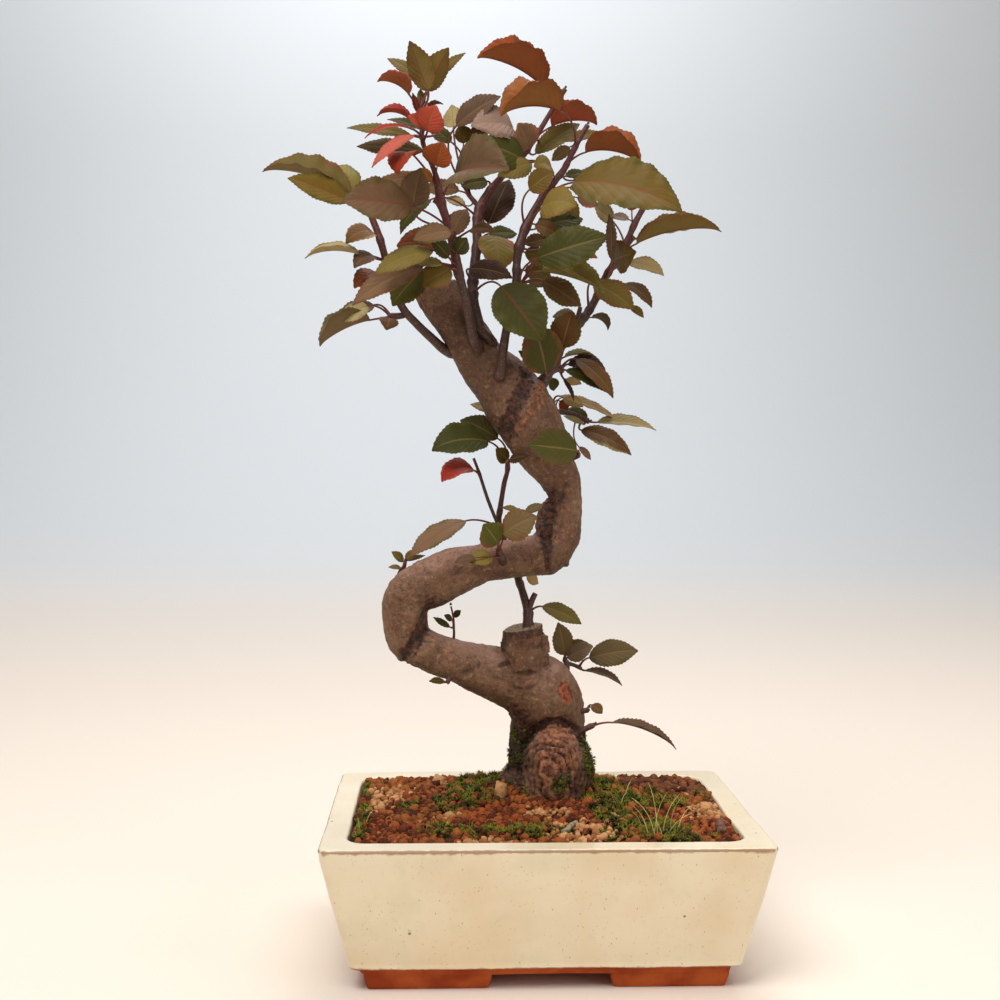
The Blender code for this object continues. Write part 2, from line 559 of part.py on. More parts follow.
def apply_boolean(target, others, operation, solver="EXACT"):
    """Join or cut target with other objects in one Boolean, then remove them."""
    tools = bpy.data.collections.new("tools")
    bpy.context.scene.collection.children.link(tools)
    for other in others:
        bpy.context.scene.collection.objects.unlink(other)
        tools.objects.link(other)
    step = target.modifiers.new("join", "BOOLEAN")
    step.operand_type = "COLLECTION"
    step.collection = tools
    step.operation = operation
    step.solver = solver
    bpy.context.view_layer.update()
    graph = bpy.context.evaluated_depsgraph_get()
    result = bpy.data.meshes.new_from_object(target.evaluated_get(graph))
    target.modifiers.clear()
    old = target.data
    target.data = result
    bpy.data.meshes.remove(old)
    for other in others:
        bpy.data.objects.remove(other)
    bpy.data.collections.remove(tools)


def bridge(work, ring_a, ring_b):
    """Triangles between two rings of equal length, which may share or repeat points."""
    count = len(ring_a)
    for k in range(count):
        a, b = ring_a[k], ring_a[(k + 1) % count]
        c, d = ring_b[(k + 1) % count], ring_b[k]
        for corners in ((a, b, c), (a, c, d)):
            if len(set(corners)) == 3:
                work.faces.new(corners)


def cap(work, ring):
    """One flat face that closes a ring."""
    work.faces.new(ring)


def frames_along(points):
    """Tangent and two side directions at each point, with no twist along the way."""
    frames = []
    side = None
    for k, point in enumerate(points):
        ahead = points[min(k + 1, len(points) - 1)]
        behind = points[max(k - 1, 0)]
        tangent = (ahead - behind).normalized()
        if side is None:
            level = abs(tangent.y) > LEVEL_LIMIT
            side = tangent.cross(Vector((1.0, 0.0, 0.0) if level else (0.0, 1.0, 0.0)))
        side = (side - tangent * side.dot(tangent)).normalized()
        frames.append((tangent, side, tangent.cross(side)))
    return frames


def tube(points, radii, sides, lump=0.0):
    """Bmesh of a closed round tube, with shallow lumps that follow a formula."""
    work = bmesh.new()
    rings = []
    for k, (tangent, side, other) in enumerate(frames_along(points)):
        ring = []
        for s in range(sides):
            angle = 2 * math.pi * s / sides
            swell = math.sin(3 * angle + 0.9 * k) + math.sin(2 * angle - 0.6 * k + 1.0)
            radius = radii[k] * (1 + lump * swell)
            spoke = side * math.cos(angle) + other * math.sin(angle)
            ring.append(work.verts.new(points[k] + spoke * radius))
        rings.append(ring)
    for ring_a, ring_b in zip(rings, rings[1:]):
        bridge(work, ring_a, ring_b)
    cap(work, rings[0])
    cap(work, rings[-1])
    return work


def smooth_route(stations, step):
    """Points and radii read every step along a smooth curve through the stations."""
    places = [seen(x, z, y) for x, z, y, _ in stations]
    radii = [row[3] for row in stations]
    points, sizes = [], []
    last = len(places) - 1
    for k in range(last):
        before, after = places[max(k - 1, 0)], places[min(k + 2, last)]
        a, b = places[k], places[k + 1]
        parts = max(1, round((b - a).length / step))
        for j in range(parts):
            t = j / parts
            points.append(0.5 * (2 * a + (b - before) * t
                                 + (2 * before - 5 * a + 4 * b - after) * t * t
                                 + (3 * a - before - 3 * b + after) * t ** 3))
            sizes.append(radii[k] + (radii[k + 1] - radii[k]) * t)
    points.append(places[last])
    sizes.append(radii[last])
    return points, sizes


def cut_flat(work, place, lean):
    """Slice off what lies beyond a plane and close the cut with one flat face."""
    geometry = work.verts[:] + work.edges[:] + work.faces[:]
    cut = bmesh.ops.bisect_plane(work, geom=geometry, plane_co=seen(*place),
                                 plane_no=Vector(lean).normalized(), clear_outer=True)
    rim = [piece for piece in cut["geom_cut"] if isinstance(piece, bmesh.types.BMEdge)]
    bmesh.ops.holes_fill(work, edges=rim, sides=0)


def rounded_outline(half_x, half_y, corner):
    """Points of a rounded rectangle, anticlockwise, in the XY plane."""
    points = []
    corners = ((1, 1, 0), (-1, 1, 90), (-1, -1, 180), (1, -1, 270))
    for sign_x, sign_y, start in corners:
        for k in range(CORNER_POINTS):
            angle = math.radians(start + 90 * k / (CORNER_POINTS - 1))
            x = sign_x * (half_x - corner) + corner * math.cos(angle)
            y = sign_y * (half_y - corner) + corner * math.sin(angle)
            points.append((x, y))
    return points


def ring_at(work, outline, z):
    """Ring of vertices at one height."""
    return [work.verts.new((x, y, z)) for x, y in outline]


def column(name, outline, bottom, top):
    """Closed upright prism."""
    work = bmesh.new()
    low = ring_at(work, outline, bottom)
    high = ring_at(work, outline, top)
    bridge(work, low, high)
    cap(work, low)
    cap(work, high)
    return mesh_object(name, work)


def round_outline(centre_x, centre_y, half_x, half_y, sides):
    """Points of an ellipse in the XY plane."""
    points = []
    for s in range(sides):
        angle = 2 * math.pi * s / sides
        points.append((centre_x + half_x * math.cos(angle), centre_y + half_y * math.sin(angle)))
    return points


def foot(name, ends, side):
    """Corner foot: a bar along the front or back with a return along the short side."""
    inner, outer = (ends[1], ends[0]) if abs(ends[0]) > abs(ends[1]) else ends
    away = math.copysign(1.0, outer)
    reach = FOOT_HALF_Y * side
    bar = FOOT_WIDTH * side
    turn = FOOT_RETURN * side
    outline = [(inner, reach), (outer, reach), (outer, reach - turn),
               (outer - away * FOOT_WIDTH, reach - turn),
               (outer - away * FOOT_WIDTH, reach - bar), (inner, reach - bar)]
    corners = len(outline)
    centre = Vector((sum(x for x, _ in outline) / corners, sum(y for _, y in outline) / corners))
    work = bmesh.new()
    high = [work.verts.new((x, y, BAND_FOOT + FOOT_SUNK)) for x, y in outline]
    low = []
    for x, y in outline:
        toward = Vector((x, y)) - centre
        low.append(work.verts.new((x - FOOT_CHAMFER * math.copysign(1, toward.x),
                                   y - FOOT_CHAMFER * math.copysign(1, toward.y), 0.0)))
    bridge(work, low, high)
    cap(work, low)
    cap(work, high)
    return mesh_object(name, work)


def make_pot():
    """Straight-walled rectangular pot with a flat rim, a bare band and four feet."""
    work = bmesh.new()
    inner_x, inner_y = RIM_HALF_X - RIM_WIDTH, RIM_HALF_Y - RIM_WIDTH
    foot_x, foot_y = RIM_HALF_X - TAPER_X, RIM_HALF_Y - TAPER_Y
    band_x, band_y = foot_x - BAND_INSET_X, foot_y - BAND_INSET_Y
    profile = [
        (band_x - BAND_SLOPE, band_y - BAND_SLOPE, OUTER_CORNER, BAND_FOOT),
        (band_x, band_y, OUTER_CORNER, GLAZE_FOOT),
        (foot_x, foot_y, OUTER_CORNER, GLAZE_FOOT + GLAZE_LIP),
        (RIM_HALF_X, RIM_HALF_Y, OUTER_CORNER, RIM_TOP - RIM_ROUND),
        (RIM_HALF_X - RIM_ROUND, RIM_HALF_Y - RIM_ROUND, OUTER_CORNER - RIM_ROUND, RIM_TOP),
        (inner_x + RIM_ROUND, inner_y + RIM_ROUND, INNER_CORNER + RIM_ROUND, RIM_TOP),
        (inner_x, inner_y, INNER_CORNER, RIM_TOP - RIM_ROUND),
        (inner_x - INNER_TAPER, inner_y - INNER_TAPER, INNER_CORNER, FLOOR_TOP),
    ]
    rings = [ring_at(work, rounded_outline(hx, hy, corner), z) for hx, hy, corner, z in profile]
    for ring_a, ring_b in zip(rings, rings[1:]):
        bridge(work, ring_a, ring_b)
    cap(work, rings[0])
    cap(work, rings[-1])
    pot = mesh_object("pot", work, GLAZE)
    feet = []
    for side in (-1, 1):
        feet.append(foot("foot", FOOT_LEFT, side))
        feet.append(foot("foot", FOOT_RIGHT, side))
    apply_boolean(pot, feet, "UNION")
    holes = []
    for x in (-DRAIN_X, DRAIN_X):
        outline = round_outline(x, 0.0, DRAIN_RADIUS, DRAIN_RADIUS, DRAIN_SIDES)
        holes.append(column("hole", outline, BAND_FOOT - CUT_PAST, FLOOR_TOP + CUT_PAST))
    apply_boolean(pot, holes, "DIFFERENCE")
    return pot


def make_screen(name, x):
    """Thin square net plate that lies over a drain hole, made cell by cell."""
    work = bmesh.new()
    bar = (2 * SCREEN_HALF - SCREEN_HOLES * SCREEN_HOLE) / (SCREEN_HOLES + 1)
    lines = [-SCREEN_HALF]
    for k in range(2 * SCREEN_HOLES + 1):
        lines.append(lines[-1] + (SCREEN_HOLE if k % 2 else bar))
    bottom = FLOOR_TOP + GAP
    levels = (bottom, bottom + SCREEN_THICK)
    grid = [[[work.verts.new((x + a, b, z)) for b in lines] for a in lines] for z in levels]
    cells = range(len(lines) - 1)
    solid = {(i, j) for i in cells for j in cells if not (i % 2 and j % 2)}
    for i, j in solid:
        loop = [(i, j), (i + 1, j), (i + 1, j + 1), (i, j + 1)]
        for level in grid:
            work.faces.new([level[a][b] for a, b in loop])
        for side, beside in enumerate(((i, j - 1), (i + 1, j), (i, j + 1), (i - 1, j))):
            if beside not in solid:
                (a, b), (c, d) = loop[side], loop[(side + 1) % 4]
                work.faces.new((grid[0][a][b], grid[0][c][d], grid[1][c][d], grid[1][a][b]))
    return mesh_object(name, work, NET)


def soil_height(x, y):
    """Height of the soil surface without its grains."""
    across = ((x - MOUND_X) / MOUND_SPREAD_X) ** 2 + ((y - MOUND_Y) / MOUND_SPREAD_Y) ** 2
    return SOIL_EDGE + MOUND_RISE * math.exp(-across)


def inner_half(z):
    """Half sizes of the pot's inner wall at a height."""
    drop = (RIM_TOP - RIM_ROUND - z) / (RIM_TOP - RIM_ROUND - FLOOR_TOP)
    return (RIM_HALF_X - RIM_WIDTH - INNER_TAPER * drop,
            RIM_HALF_Y - RIM_WIDTH - INNER_TAPER * drop)


def make_soil():
    """Soil that fills the pot, with a grainy mound on top and holes for the trunk."""
    draw = random.Random(SEED)
    work = bmesh.new()
    half_x, half_y = (half - SOIL_WALL_GAP for half in inner_half(SOIL_EDGE - SOIL_EDGE_DEPTH))
    corner = INNER_CORNER
    grid = []
    for j in range(SOIL_CELLS_Y + 1):
        row = []
        for i in range(SOIL_CELLS_X + 1):
            x = half_x * (2 * i / SOIL_CELLS_X - 1)
            y = half_y * (2 * j / SOIL_CELLS_Y - 1)
            over_x = max(0.0, abs(x) - (half_x - corner))
            over_y = max(0.0, abs(y) - (half_y - corner))
            reach = math.hypot(over_x, over_y)
            if over_x > 0 and over_y > 0 and reach > 0:
                pull = max(over_x, over_y) / reach
                x = math.copysign(half_x - corner + over_x * pull, x)
                y = math.copysign(half_y - corner + over_y * pull, y)
            edge = i in (0, SOIL_CELLS_X) or j in (0, SOIL_CELLS_Y)
            rise = 0.0 if edge else draw.uniform(-GRAIN_RISE, GRAIN_RISE)
            drop = SOIL_EDGE_DROP if edge else 0.0
            row.append(work.verts.new((x, y, soil_height(x, y) + rise - drop)))
        grid.append(row)
    for j in range(SOIL_CELLS_Y):
        for i in range(SOIL_CELLS_X):
            a, b = grid[j][i], grid[j][i + 1]
            c, d = grid[j + 1][i + 1], grid[j + 1][i]
            work.faces.new((a, b, c))
            work.faces.new((a, c, d))
    border = ([grid[0][i] for i in range(SOIL_CELLS_X)]
              + [grid[j][SOIL_CELLS_X] for j in range(SOIL_CELLS_Y)]
              + [grid[SOIL_CELLS_Y][i] for i in range(SOIL_CELLS_X, 0, -1)]
              + [grid[j][0] for j in range(SOIL_CELLS_Y, 0, -1)])
    floor_x, floor_y = (half - SOIL_WALL_GAP for half in inner_half(FLOOR_TOP + GAP))
    low = []
    for vert in border:
        low.append(work.verts.new((vert.co.x * floor_x / half_x, vert.co.y * floor_y / half_y,
                                   FLOOR_TOP + GAP)))
    bridge(work, low, border)
    cap(work, low)
    soil = mesh_object("soil", work, AKADAMA)
    grow = SOIL_HOLE_GAP / math.cos(math.pi / TRUNK_SIDES)
    top = SOIL_LINE + CUT_PAST
    pocket = SCREEN_HALF + GAP
    outlines = [
        round_outline(COLUMN_X, COLUMN_Y, COLUMN_RADIUS + grow, COLUMN_RADIUS + grow, TRUNK_SIDES),
        round_outline(STUMP_X, STUMP_Y, STUMP_HALF_X + grow, STUMP_HALF_Y + grow, TRUNK_SIDES),
    ]
    cutters = [column("hole", outline, ROOT_BOTTOM - GAP, top) for outline in outlines]
    for x in (-DRAIN_X, DRAIN_X):
        square = [(x + sx * pocket, sy * pocket)
                  for sx, sy in ((-1, -1), (1, -1), (1, 1), (-1, 1))]
        cutters.append(column("hole", square, FLOOR_TOP - CUT_PAST,
                              FLOOR_TOP + GAP + SCREEN_THICK + GAP))
    apply_boolean(soil, cutters, "DIFFERENCE")
    return soil


def trunk_foot(name, outline_of, rings):
    """Upright prism in the soil that runs up through shrinking rings."""
    work = bmesh.new()
    low = ring_at(work, outline_of, ROOT_BOTTOM)
    line = ring_at(work, outline_of, SOIL_LINE)
    cap(work, low)
    bridge(work, low, line)
    before = line
    for centre, half_x, half_y in rings:
        outline = round_outline(centre.x, centre.y, half_x, half_y, TRUNK_SIDES)
        ring = ring_at(work, outline, centre.z)
        bridge(work, before, ring)
        before = ring
    cap(work, before)
    return mesh_object(name, work)


def make_trunk():
    """Trunk in one piece: buried foot, S-shaped stem, front stump and cut stubs."""
    x, z, y, radius = LOWER_TRUNK[0]
    start = seen(x, z, y)
    flare = seen(*COLUMN_FLARE[:3])
    column_rings = [(flare, COLUMN_FLARE[3], COLUMN_FLARE[3]), (start, radius, radius),
                    (start + Vector((0, 0, COLUMN_NECK)), radius - COLUMN_NECK_IN,
                     radius - COLUMN_NECK_IN)]
    trunk = trunk_foot("trunk", round_outline(COLUMN_X, COLUMN_Y, COLUMN_RADIUS, COLUMN_RADIUS,
                                              TRUNK_SIDES), column_rings)
    stump_rings = [(seen(cx, cz, STUMP_Y), hx, hy) for cx, cz, hx, hy in STUMP_RINGS]
    stump = trunk_foot("stump", round_outline(STUMP_X, STUMP_Y, STUMP_HALF_X, STUMP_HALF_Y,
                                              TRUNK_SIDES), stump_rings)
    pieces = [stump]
    for stations in (LOWER_TRUNK, MIDDLE_TRUNK):
        points, radii = smooth_route(stations, TRUNK_STEP)
        pieces.append(mesh_object("stem", tube(points, radii, TRUNK_SIDES, TRUNK_LUMP)))
    points, radii = smooth_route(UPPER_TRUNK, TRUNK_STEP)
    upper = tube(points, radii, TRUNK_SIDES, TRUNK_LUMP)
    cut_flat(upper, TOP_CUT, TOP_CUT_LEAN)
    pieces.append(mesh_object("stem", upper))
    points, radii = smooth_route(STUB, TRUNK_STEP)
    stub = tube(points, radii, TRUNK_SIDES, TRUNK_LUMP)
    cut_flat(stub, STUB_CUT, STUB_CUT_LEAN)
    pieces.append(mesh_object("stub", stub))
    points, radii = smooth_route(STUB_LOBE, TRUNK_STEP)
    pieces.append(mesh_object("lobe", tube(points, radii, LOBE_SIDES)))
    trunk.data.materials.append(material("trunk", BARK))
    apply_boolean(trunk, pieces, "UNION")
    return trunk


def surface_of(made):
    """Search tree of an object's surface, in millimetres."""
    mesh = made.data
    points = [vert.co / MM for vert in mesh.vertices]
    faces = [tuple(face.vertices) for face in mesh.polygons]
    return BVHTree.FromPolygons(points, faces)


def twig_route(rows, lean, surface=None):
    """Points and radii of a twig; with a surface, its start is sunk square into it."""
    points = [in_crown(x, z, y, lean) for x, z, y, _ in rows]
    radii = [row[3] for row in rows]
    if surface is not None:
        place, normal, _, _ = surface.find_nearest(points[0])
        points[0:1] = [place - normal * TWIG_SUNK, place + normal * TWIG_CLEAR]
        radii.insert(0, radii[0])
    return points, radii


def socket_cutter(points, radius):
    """Round cutter for the shallow socket that a twig stands in."""
    inward = (points[0] - points[1]).normalized()
    mouth = points[0] - inward * (TWIG_SUNK + SOCKET_MOUTH)
    bottom = points[0] + inward * (SOCKET_DEPTH - TWIG_SUNK)
    grown = (radius + GAP) / math.cos(math.pi / SOCKET_SIDES)
    return mesh_object("socket", tube([bottom, mouth], [grown, grown], SOCKET_SIDES))


def nearest_on_twigs(routes, target):
    """Point and place on the twigs closest to a target, read along each twig."""
    best = None
    for points, _ in routes:
        end = points[-1]
        shorter = points[:-1] + [end + (points[-2] - end).normalized() * TWIG_END]
        for a, b in zip(shorter, shorter[1:]):
            parts = max(2, int((b - a).length))
            for k in range(parts + 1):
                place = a.lerp(b, k / parts)
                off = place - target
                away = math.hypot(off.x, DEPTH_WEIGHT * off.y, off.z)
                if best is None or away < best[0]:
                    best = (away, place)
    return best[1]


def blade_frame(base, tip, roll):
    """Length, direction and upward side of a blade, from how it turns to the eye."""
    chord = tip - base
    length = chord.length
    along = chord / length
    to_eye = (EYE - (base + tip) / 2).normalized()
    facing = (to_eye - along * to_eye.dot(along)).normalized()
    edge_on = along.cross(facing)
    if edge_on.z < 0:
        edge_on = -edge_on
    turn = math.radians(roll)
    return length, along, edge_on * math.cos(turn) + facing * math.sin(turn)


def blade_rows(length):
    """Number of tooth rows for a blade of this length."""
    return sum(1 for shortest in ROWS_FROM_LENGTH if length >= shortest)


def make_leaf(routes, row, lean):
    """One leaf: a thin arched blade with toothed edges, on a stalk rooted in its twig."""
    (base_x, base_z, base_y), tip, width, arch, roll, fold, *stalk_root = row
    base, tip = in_crown(base_x, base_z, base_y, lean), in_crown(*tip, lean)
    if stalk_root:
        target = in_crown(*stalk_root[0], base_y, lean)
    else:
        target = base - Vector((0.0, 0.0, ROOT_DROP))
    root = nearest_on_twigs(routes, target)
    length, along, up = blade_frame(base, tip, roll)
    across = along.cross(up)
    turn = math.radians(max(arch, 1.0))
    radius = length / (2 * math.sin(turn / 2))
    work = bmesh.new()

    def rib(t):
        """Rib point, its direction and its upward side at a share of the length."""
        angle = turn * (t - 0.5)
        point = (base + along * radius * (math.sin(angle) + math.sin(turn / 2))
                 + up * radius * (math.cos(angle) - math.cos(turn / 2)))
        normal = up * math.cos(angle) + along * math.sin(angle)
        return point, normal.cross(across), normal

    stalk = PETIOLE_RADIUS if length > SMALL_LEAF else SMALL_PETIOLE
    start, heading, _ = rib(0.0)
    reach = (start - root).length
    lead = start - heading * PETIOLE_LEAD * reach
    parts = 2 if reach > LONG_PETIOLE else 1
    rings = []
    for k in range(parts + 1):
        t = k / parts
        point = root * (1 - t) ** 2 + lead * 2 * t * (1 - t) + start * t * t
        path = ((lead - root) * (1 - t) + (start - lead) * t).normalized()
        side = (across - path * across.dot(path)).normalized()
        top = side.cross(path)
        left = work.verts.new(point + (side + top / 2) * stalk)
        right = work.verts.new(point - (side - top / 2) * stalk)
        under = work.verts.new(point - top * stalk)
        rings.append([left, left, right, right, under, left])
    rows = blade_rows(length)
    slope = math.radians(fold)
    for k in range(rows):
        t = (k + TOOTH_START) / rows * TOOTH_REACH
        point, _, normal = rib(t)
        half = 0.5 * width * LEAF_WIDEN * math.sin(math.pi * t ** WIDEST_POWER) ** ROUND_POWER
        half *= 1 + TOOTH * (1 if k % 2 else -1)
        bend = slope * min(1.0, half / FOLD_WIDTH)
        thick = LEAF_THICK / 2
        edges = []
        for sign in (1, -1):
            out = across * (sign * math.cos(bend)) + normal * math.sin(bend)
            skin = normal * math.cos(bend) - across * (sign * math.sin(bend))
            edges.append((point + out * half, skin * thick))
        crown = normal * (thick / math.cos(bend))
        (left, left_skin), (right, right_skin) = edges
        rings.append([work.verts.new(place) for place in (
            left + left_skin, point + crown, right + right_skin,
            right - right_skin, point - crown, left - left_skin)])
    point, _, normal = rib(1.0)
    high = work.verts.new(point + normal * LEAF_THICK / 2)
    low = work.verts.new(point - normal * LEAF_THICK / 2)
    rings.append([high, high, high, low, low, low])
    for ring_a, ring_b in zip(rings, rings[1:]):
        bridge(work, ring_a, ring_b)
    cap(work, [rings[0][0], rings[0][2], rings[0][4]])
    return mesh_object("leaf", work)


def make_shoot(name, plan, surface):
    """Leafy shoot in one piece, and the socket cutter for its foot in the trunk."""
    lean = plan.get("lean", 0.0)
    routes = []
    for index, rows in enumerate(plan["twigs"]):
        routes.append(twig_route(rows, lean, surface if index == 0 else None))
    points, radii = routes[0]
    shoot = mesh_object(name, tube(points, radii, TWIG_SIDES), plan["finish"])
    pieces = [mesh_object("twig", tube(path, sizes, TWIG_SIDES)) for path, sizes in routes[1:]]
    pieces += [make_leaf(routes, row, lean) for row in plan["leaves"]]
    apply_boolean(shoot, pieces, "UNION", "MANIFOLD")
    return shoot, socket_cutter(points, radii[0])


def make_loose(name, rows, finish, ground):
    """Small dead piece laid on the soil, a gap above the highest grain under it."""
    points = [Vector((x, y, SOIL_EDGE + MOUND_RISE + DROP_FROM)) for x, y, _ in rows]
    work = tube(points, [radius for _, _, radius in rows], LOOSE_SIDES)
    falls = []
    for edge in work.edges:
        ends = [vert.co for vert in edge.verts]
        for k in range(DROP_SAMPLES + 1):
            start = ends[0].lerp(ends[1], k / DROP_SAMPLES)
            falls.append(ground.ray_cast(start, Vector((0.0, 0.0, -1.0)))[3])
    bmesh.ops.translate(work, verts=work.verts, vec=Vector((0.0, 0.0, GAP - min(falls))))
    return mesh_object(name, work, finish)


def clear_scene():
    """Remove what the scene holds."""
    for old in list(bpy.data.objects):
        bpy.data.objects.remove(old)


def main():
    """Build every sub-part and parent it to the centring empty."""
    clear_scene()
    trunk = make_trunk()
    surface = surface_of(trunk)
    soil = make_soil()
    ground = surface_of(soil)
    parts = [make_pot(), make_screen("drain_screen_left", -DRAIN_X),
             make_screen("drain_screen_right", DRAIN_X), soil, trunk]
    sockets = []
    for name, plan in SHOOTS.items():
        shoot, socket = make_shoot(name, plan, surface)
        parts.append(shoot)
        sockets.append(socket)
    apply_boolean(trunk, sockets, "DIFFERENCE")
    parts.append(make_loose("bark_chip", BARK_CHIP, DRY, ground))
    parts.append(make_loose("dead_twig", DEAD_TWIG, DRY, ground))
    centre = bpy.data.objects.new("centre", None)
    bpy.context.scene.collection.objects.link(centre)
    centre.location.x = CENTRE_SHIFT * MM
    for part in parts:
        part.parent = centre
        part.data.shade_flat()
    bpy.context.view_layer.update()


if __name__ == "__main__":
    main()
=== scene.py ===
"""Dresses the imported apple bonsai: glazed pot, soil, trunk and leafy shoots.

Places are in millimetres in the pot's own frame. The tree is laid out on a front sheet,
the upright plane through the middle of the pot: x and z are read on it as they look from
the eye point, and y is the depth behind it. A mesh is moved to the part's frame, in
metres, when it is made.
"""

import logging
import math
import random
from dataclasses import dataclass, field
from enum import Enum

import bmesh
import bpy
import numpy as np
from mathutils import Matrix, Vector, noise
from mathutils.bvhtree import BVHTree


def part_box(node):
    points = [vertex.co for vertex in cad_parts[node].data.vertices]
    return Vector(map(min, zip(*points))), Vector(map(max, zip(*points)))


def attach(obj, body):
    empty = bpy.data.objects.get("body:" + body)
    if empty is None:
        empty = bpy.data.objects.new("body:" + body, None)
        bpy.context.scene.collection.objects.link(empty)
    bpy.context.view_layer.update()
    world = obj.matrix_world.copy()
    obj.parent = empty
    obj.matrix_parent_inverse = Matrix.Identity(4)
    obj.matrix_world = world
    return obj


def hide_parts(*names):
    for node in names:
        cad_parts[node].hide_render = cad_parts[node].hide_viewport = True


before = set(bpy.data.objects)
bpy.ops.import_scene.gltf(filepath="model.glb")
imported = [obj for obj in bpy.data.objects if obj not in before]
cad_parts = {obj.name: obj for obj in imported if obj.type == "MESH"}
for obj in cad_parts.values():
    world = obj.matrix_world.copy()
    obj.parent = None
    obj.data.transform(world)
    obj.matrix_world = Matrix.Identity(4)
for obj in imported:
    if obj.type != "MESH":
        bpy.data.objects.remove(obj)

log = logging.getLogger("bonsai")

Place = tuple[float, float, float]
Colour = tuple[float, float, float]

MM = 0.001
BODY = "root"

# Eye point of the front sheet and the shift from the pot's frame to the part's frame.
EYE = Vector((-48.5, -670.0, 248.9))
SHIFT = Vector((17.5, 0.0, 0.0))

# Crown depth: above a height the shoots spread in depth by this share.
SPREAD_FROM = 296.0
SPREAD_FULL = 350.0
SPREAD_SHARE = 0.6
LEAN_FULL = 400.0


def seen(x: float, z: float, y: float) -> Vector:
    """Place of a front sheet point that lies y behind the sheet."""
    on_sheet = Vector((x, 0.0, z))
    return EYE + (on_sheet - EYE) * ((y - EYE.y) / -EYE.y)


def in_crown(x: float, z: float, y: float, lean: float) -> Vector:
    """Place of a shoot point, spread in depth the higher it stands in the crown."""
    spread = held((z - SPREAD_FROM) / (SPREAD_FULL - SPREAD_FROM))
    rise = held((z - SPREAD_FROM) / (LEAN_FULL - SPREAD_FROM))
    return seen(x, z, y * (1 + SPREAD_SHARE * spread) + lean * rise)


def on_sheet(points: np.ndarray) -> np.ndarray:
    """Front sheet x and z at which points look to be from the eye.

    Args:
        points: rows of x, y and z in the pot's frame, in millimetres.

    Returns:
        Rows of x and z on the front sheet.
    """
    share = EYE.y / (EYE.y - points[:, 1])
    return np.stack([EYE.x + (points[:, 0] - EYE.x) * share,
                     EYE.z + (points[:, 2] - EYE.z) * share], axis=1)


def linear(red: int, green: int, blue: int) -> Colour:
    """Linear colour of a paint chip given in display steps from 0 to 255."""
    return tuple(((step / 255 + 0.055) / 1.055) ** 2.4 if step > 10 else step / 3295
                 for step in (red, green, blue))


def mixed(first: Colour, second: Colour, share: float) -> Colour:
    """Colour between two, at a share from the first to the second."""
    return tuple(a + (b - a) * share for a, b in zip(first, second))


class Value:
    """Output of a node, on which maths is written as an expression."""

    def __init__(self, graph: "Graph", socket: bpy.types.NodeSocket) -> None:
        """Keep the graph and the socket."""
        self.graph = graph
        self.socket = socket

    def _maths(self, operation: str, first: object, second: object) -> "Value":
        """Math node on two values."""
        made = self.graph.node("ShaderNodeMath", {"operation": operation}, {0: first, 1: second})
        return Value(self.graph, made.outputs[0])

    def __add__(self, other: object) -> "Value":
        """Sum."""
        return self._maths("ADD", self, other)

    def __radd__(self, other: object) -> "Value":
        """Sum with the value second."""
        return self._maths("ADD", other, self)

    def __sub__(self, other: object) -> "Value":
        """Difference."""
        return self._maths("SUBTRACT", self, other)

    def __rsub__(self, other: object) -> "Value":
        """Difference with the value second."""
        return self._maths("SUBTRACT", other, self)

    def __mul__(self, other: object) -> "Value":
        """Product."""
        return self._maths("MULTIPLY", self, other)

    def __rmul__(self, other: object) -> "Value":
        """Product with the value second."""
        return self._maths("MULTIPLY", other, self)

    def __pow__(self, other: object) -> "Value":
        """Power."""
        return self._maths("POWER", self, other)

    def function(self, operation: str, other: float = 0.0) -> "Value":
        """Any other Math operation, such as ABSOLUTE or FRACT."""
        return self._maths(operation, self, other)

    def ramp(self, low: float, high: float, start: float = 0.0, end: float = 1.0) -> "Value":
        """Value carried smoothly from low and high to start and end, and held beyond them."""
        made = self.graph.node("ShaderNodeMapRange", {"interpolation_type": "SMOOTHSTEP"},
                               {"Value": self, "From Min": low, "From Max": high,
                                "To Min": start, "To Max": end})
        return Value(self.graph, made.outputs[0])


class Graph:
    """Node tree in which every node is made by one method."""

    def __init__(self, tree: bpy.types.NodeTree) -> None:
        """Keep the tree."""
        self.tree = tree

    def node(self, kind: str, settings: dict | None = None,
             inputs: dict | None = None) -> bpy.types.Node:
        """Make a node, set it and feed its sockets.

        Args:
            kind: Blender's name for the node type.
            settings: attributes of the node, set before its sockets.
            inputs: values or links by socket name, identifier or place.

        Returns:
            The node.
        """
        made = self.tree.nodes.new(kind)
        for name, value in (settings or {}).items():
            setattr(made, name, value)
        for key, value in (inputs or {}).items():
            socket = self.socket(made.inputs, key)
            if isinstance(value, Value):
                self.tree.links.new(value.socket, socket)
            elif isinstance(value, bpy.types.NodeSocket):
                self.tree.links.new(value, socket)
            else:
                socket.default_value = value
        return made

    @staticmethod
    def socket(sockets: bpy.types.NodeInputs, key: str | int) -> bpy.types.NodeSocket:
        """Socket with an identifier, else a name, else at a place."""
        if isinstance(key, int):
            return sockets[key]
        for socket in sockets:
            if socket.identifier == key:
                return socket
        return sockets[key]

    def value(self, kind: str, output: str | int = 0, settings: dict | None = None,
              inputs: dict | None = None) -> Value:
        """Output of a new node."""
        made = self.node(kind, settings, inputs)
        return Value(self, self.socket(made.outputs, output))


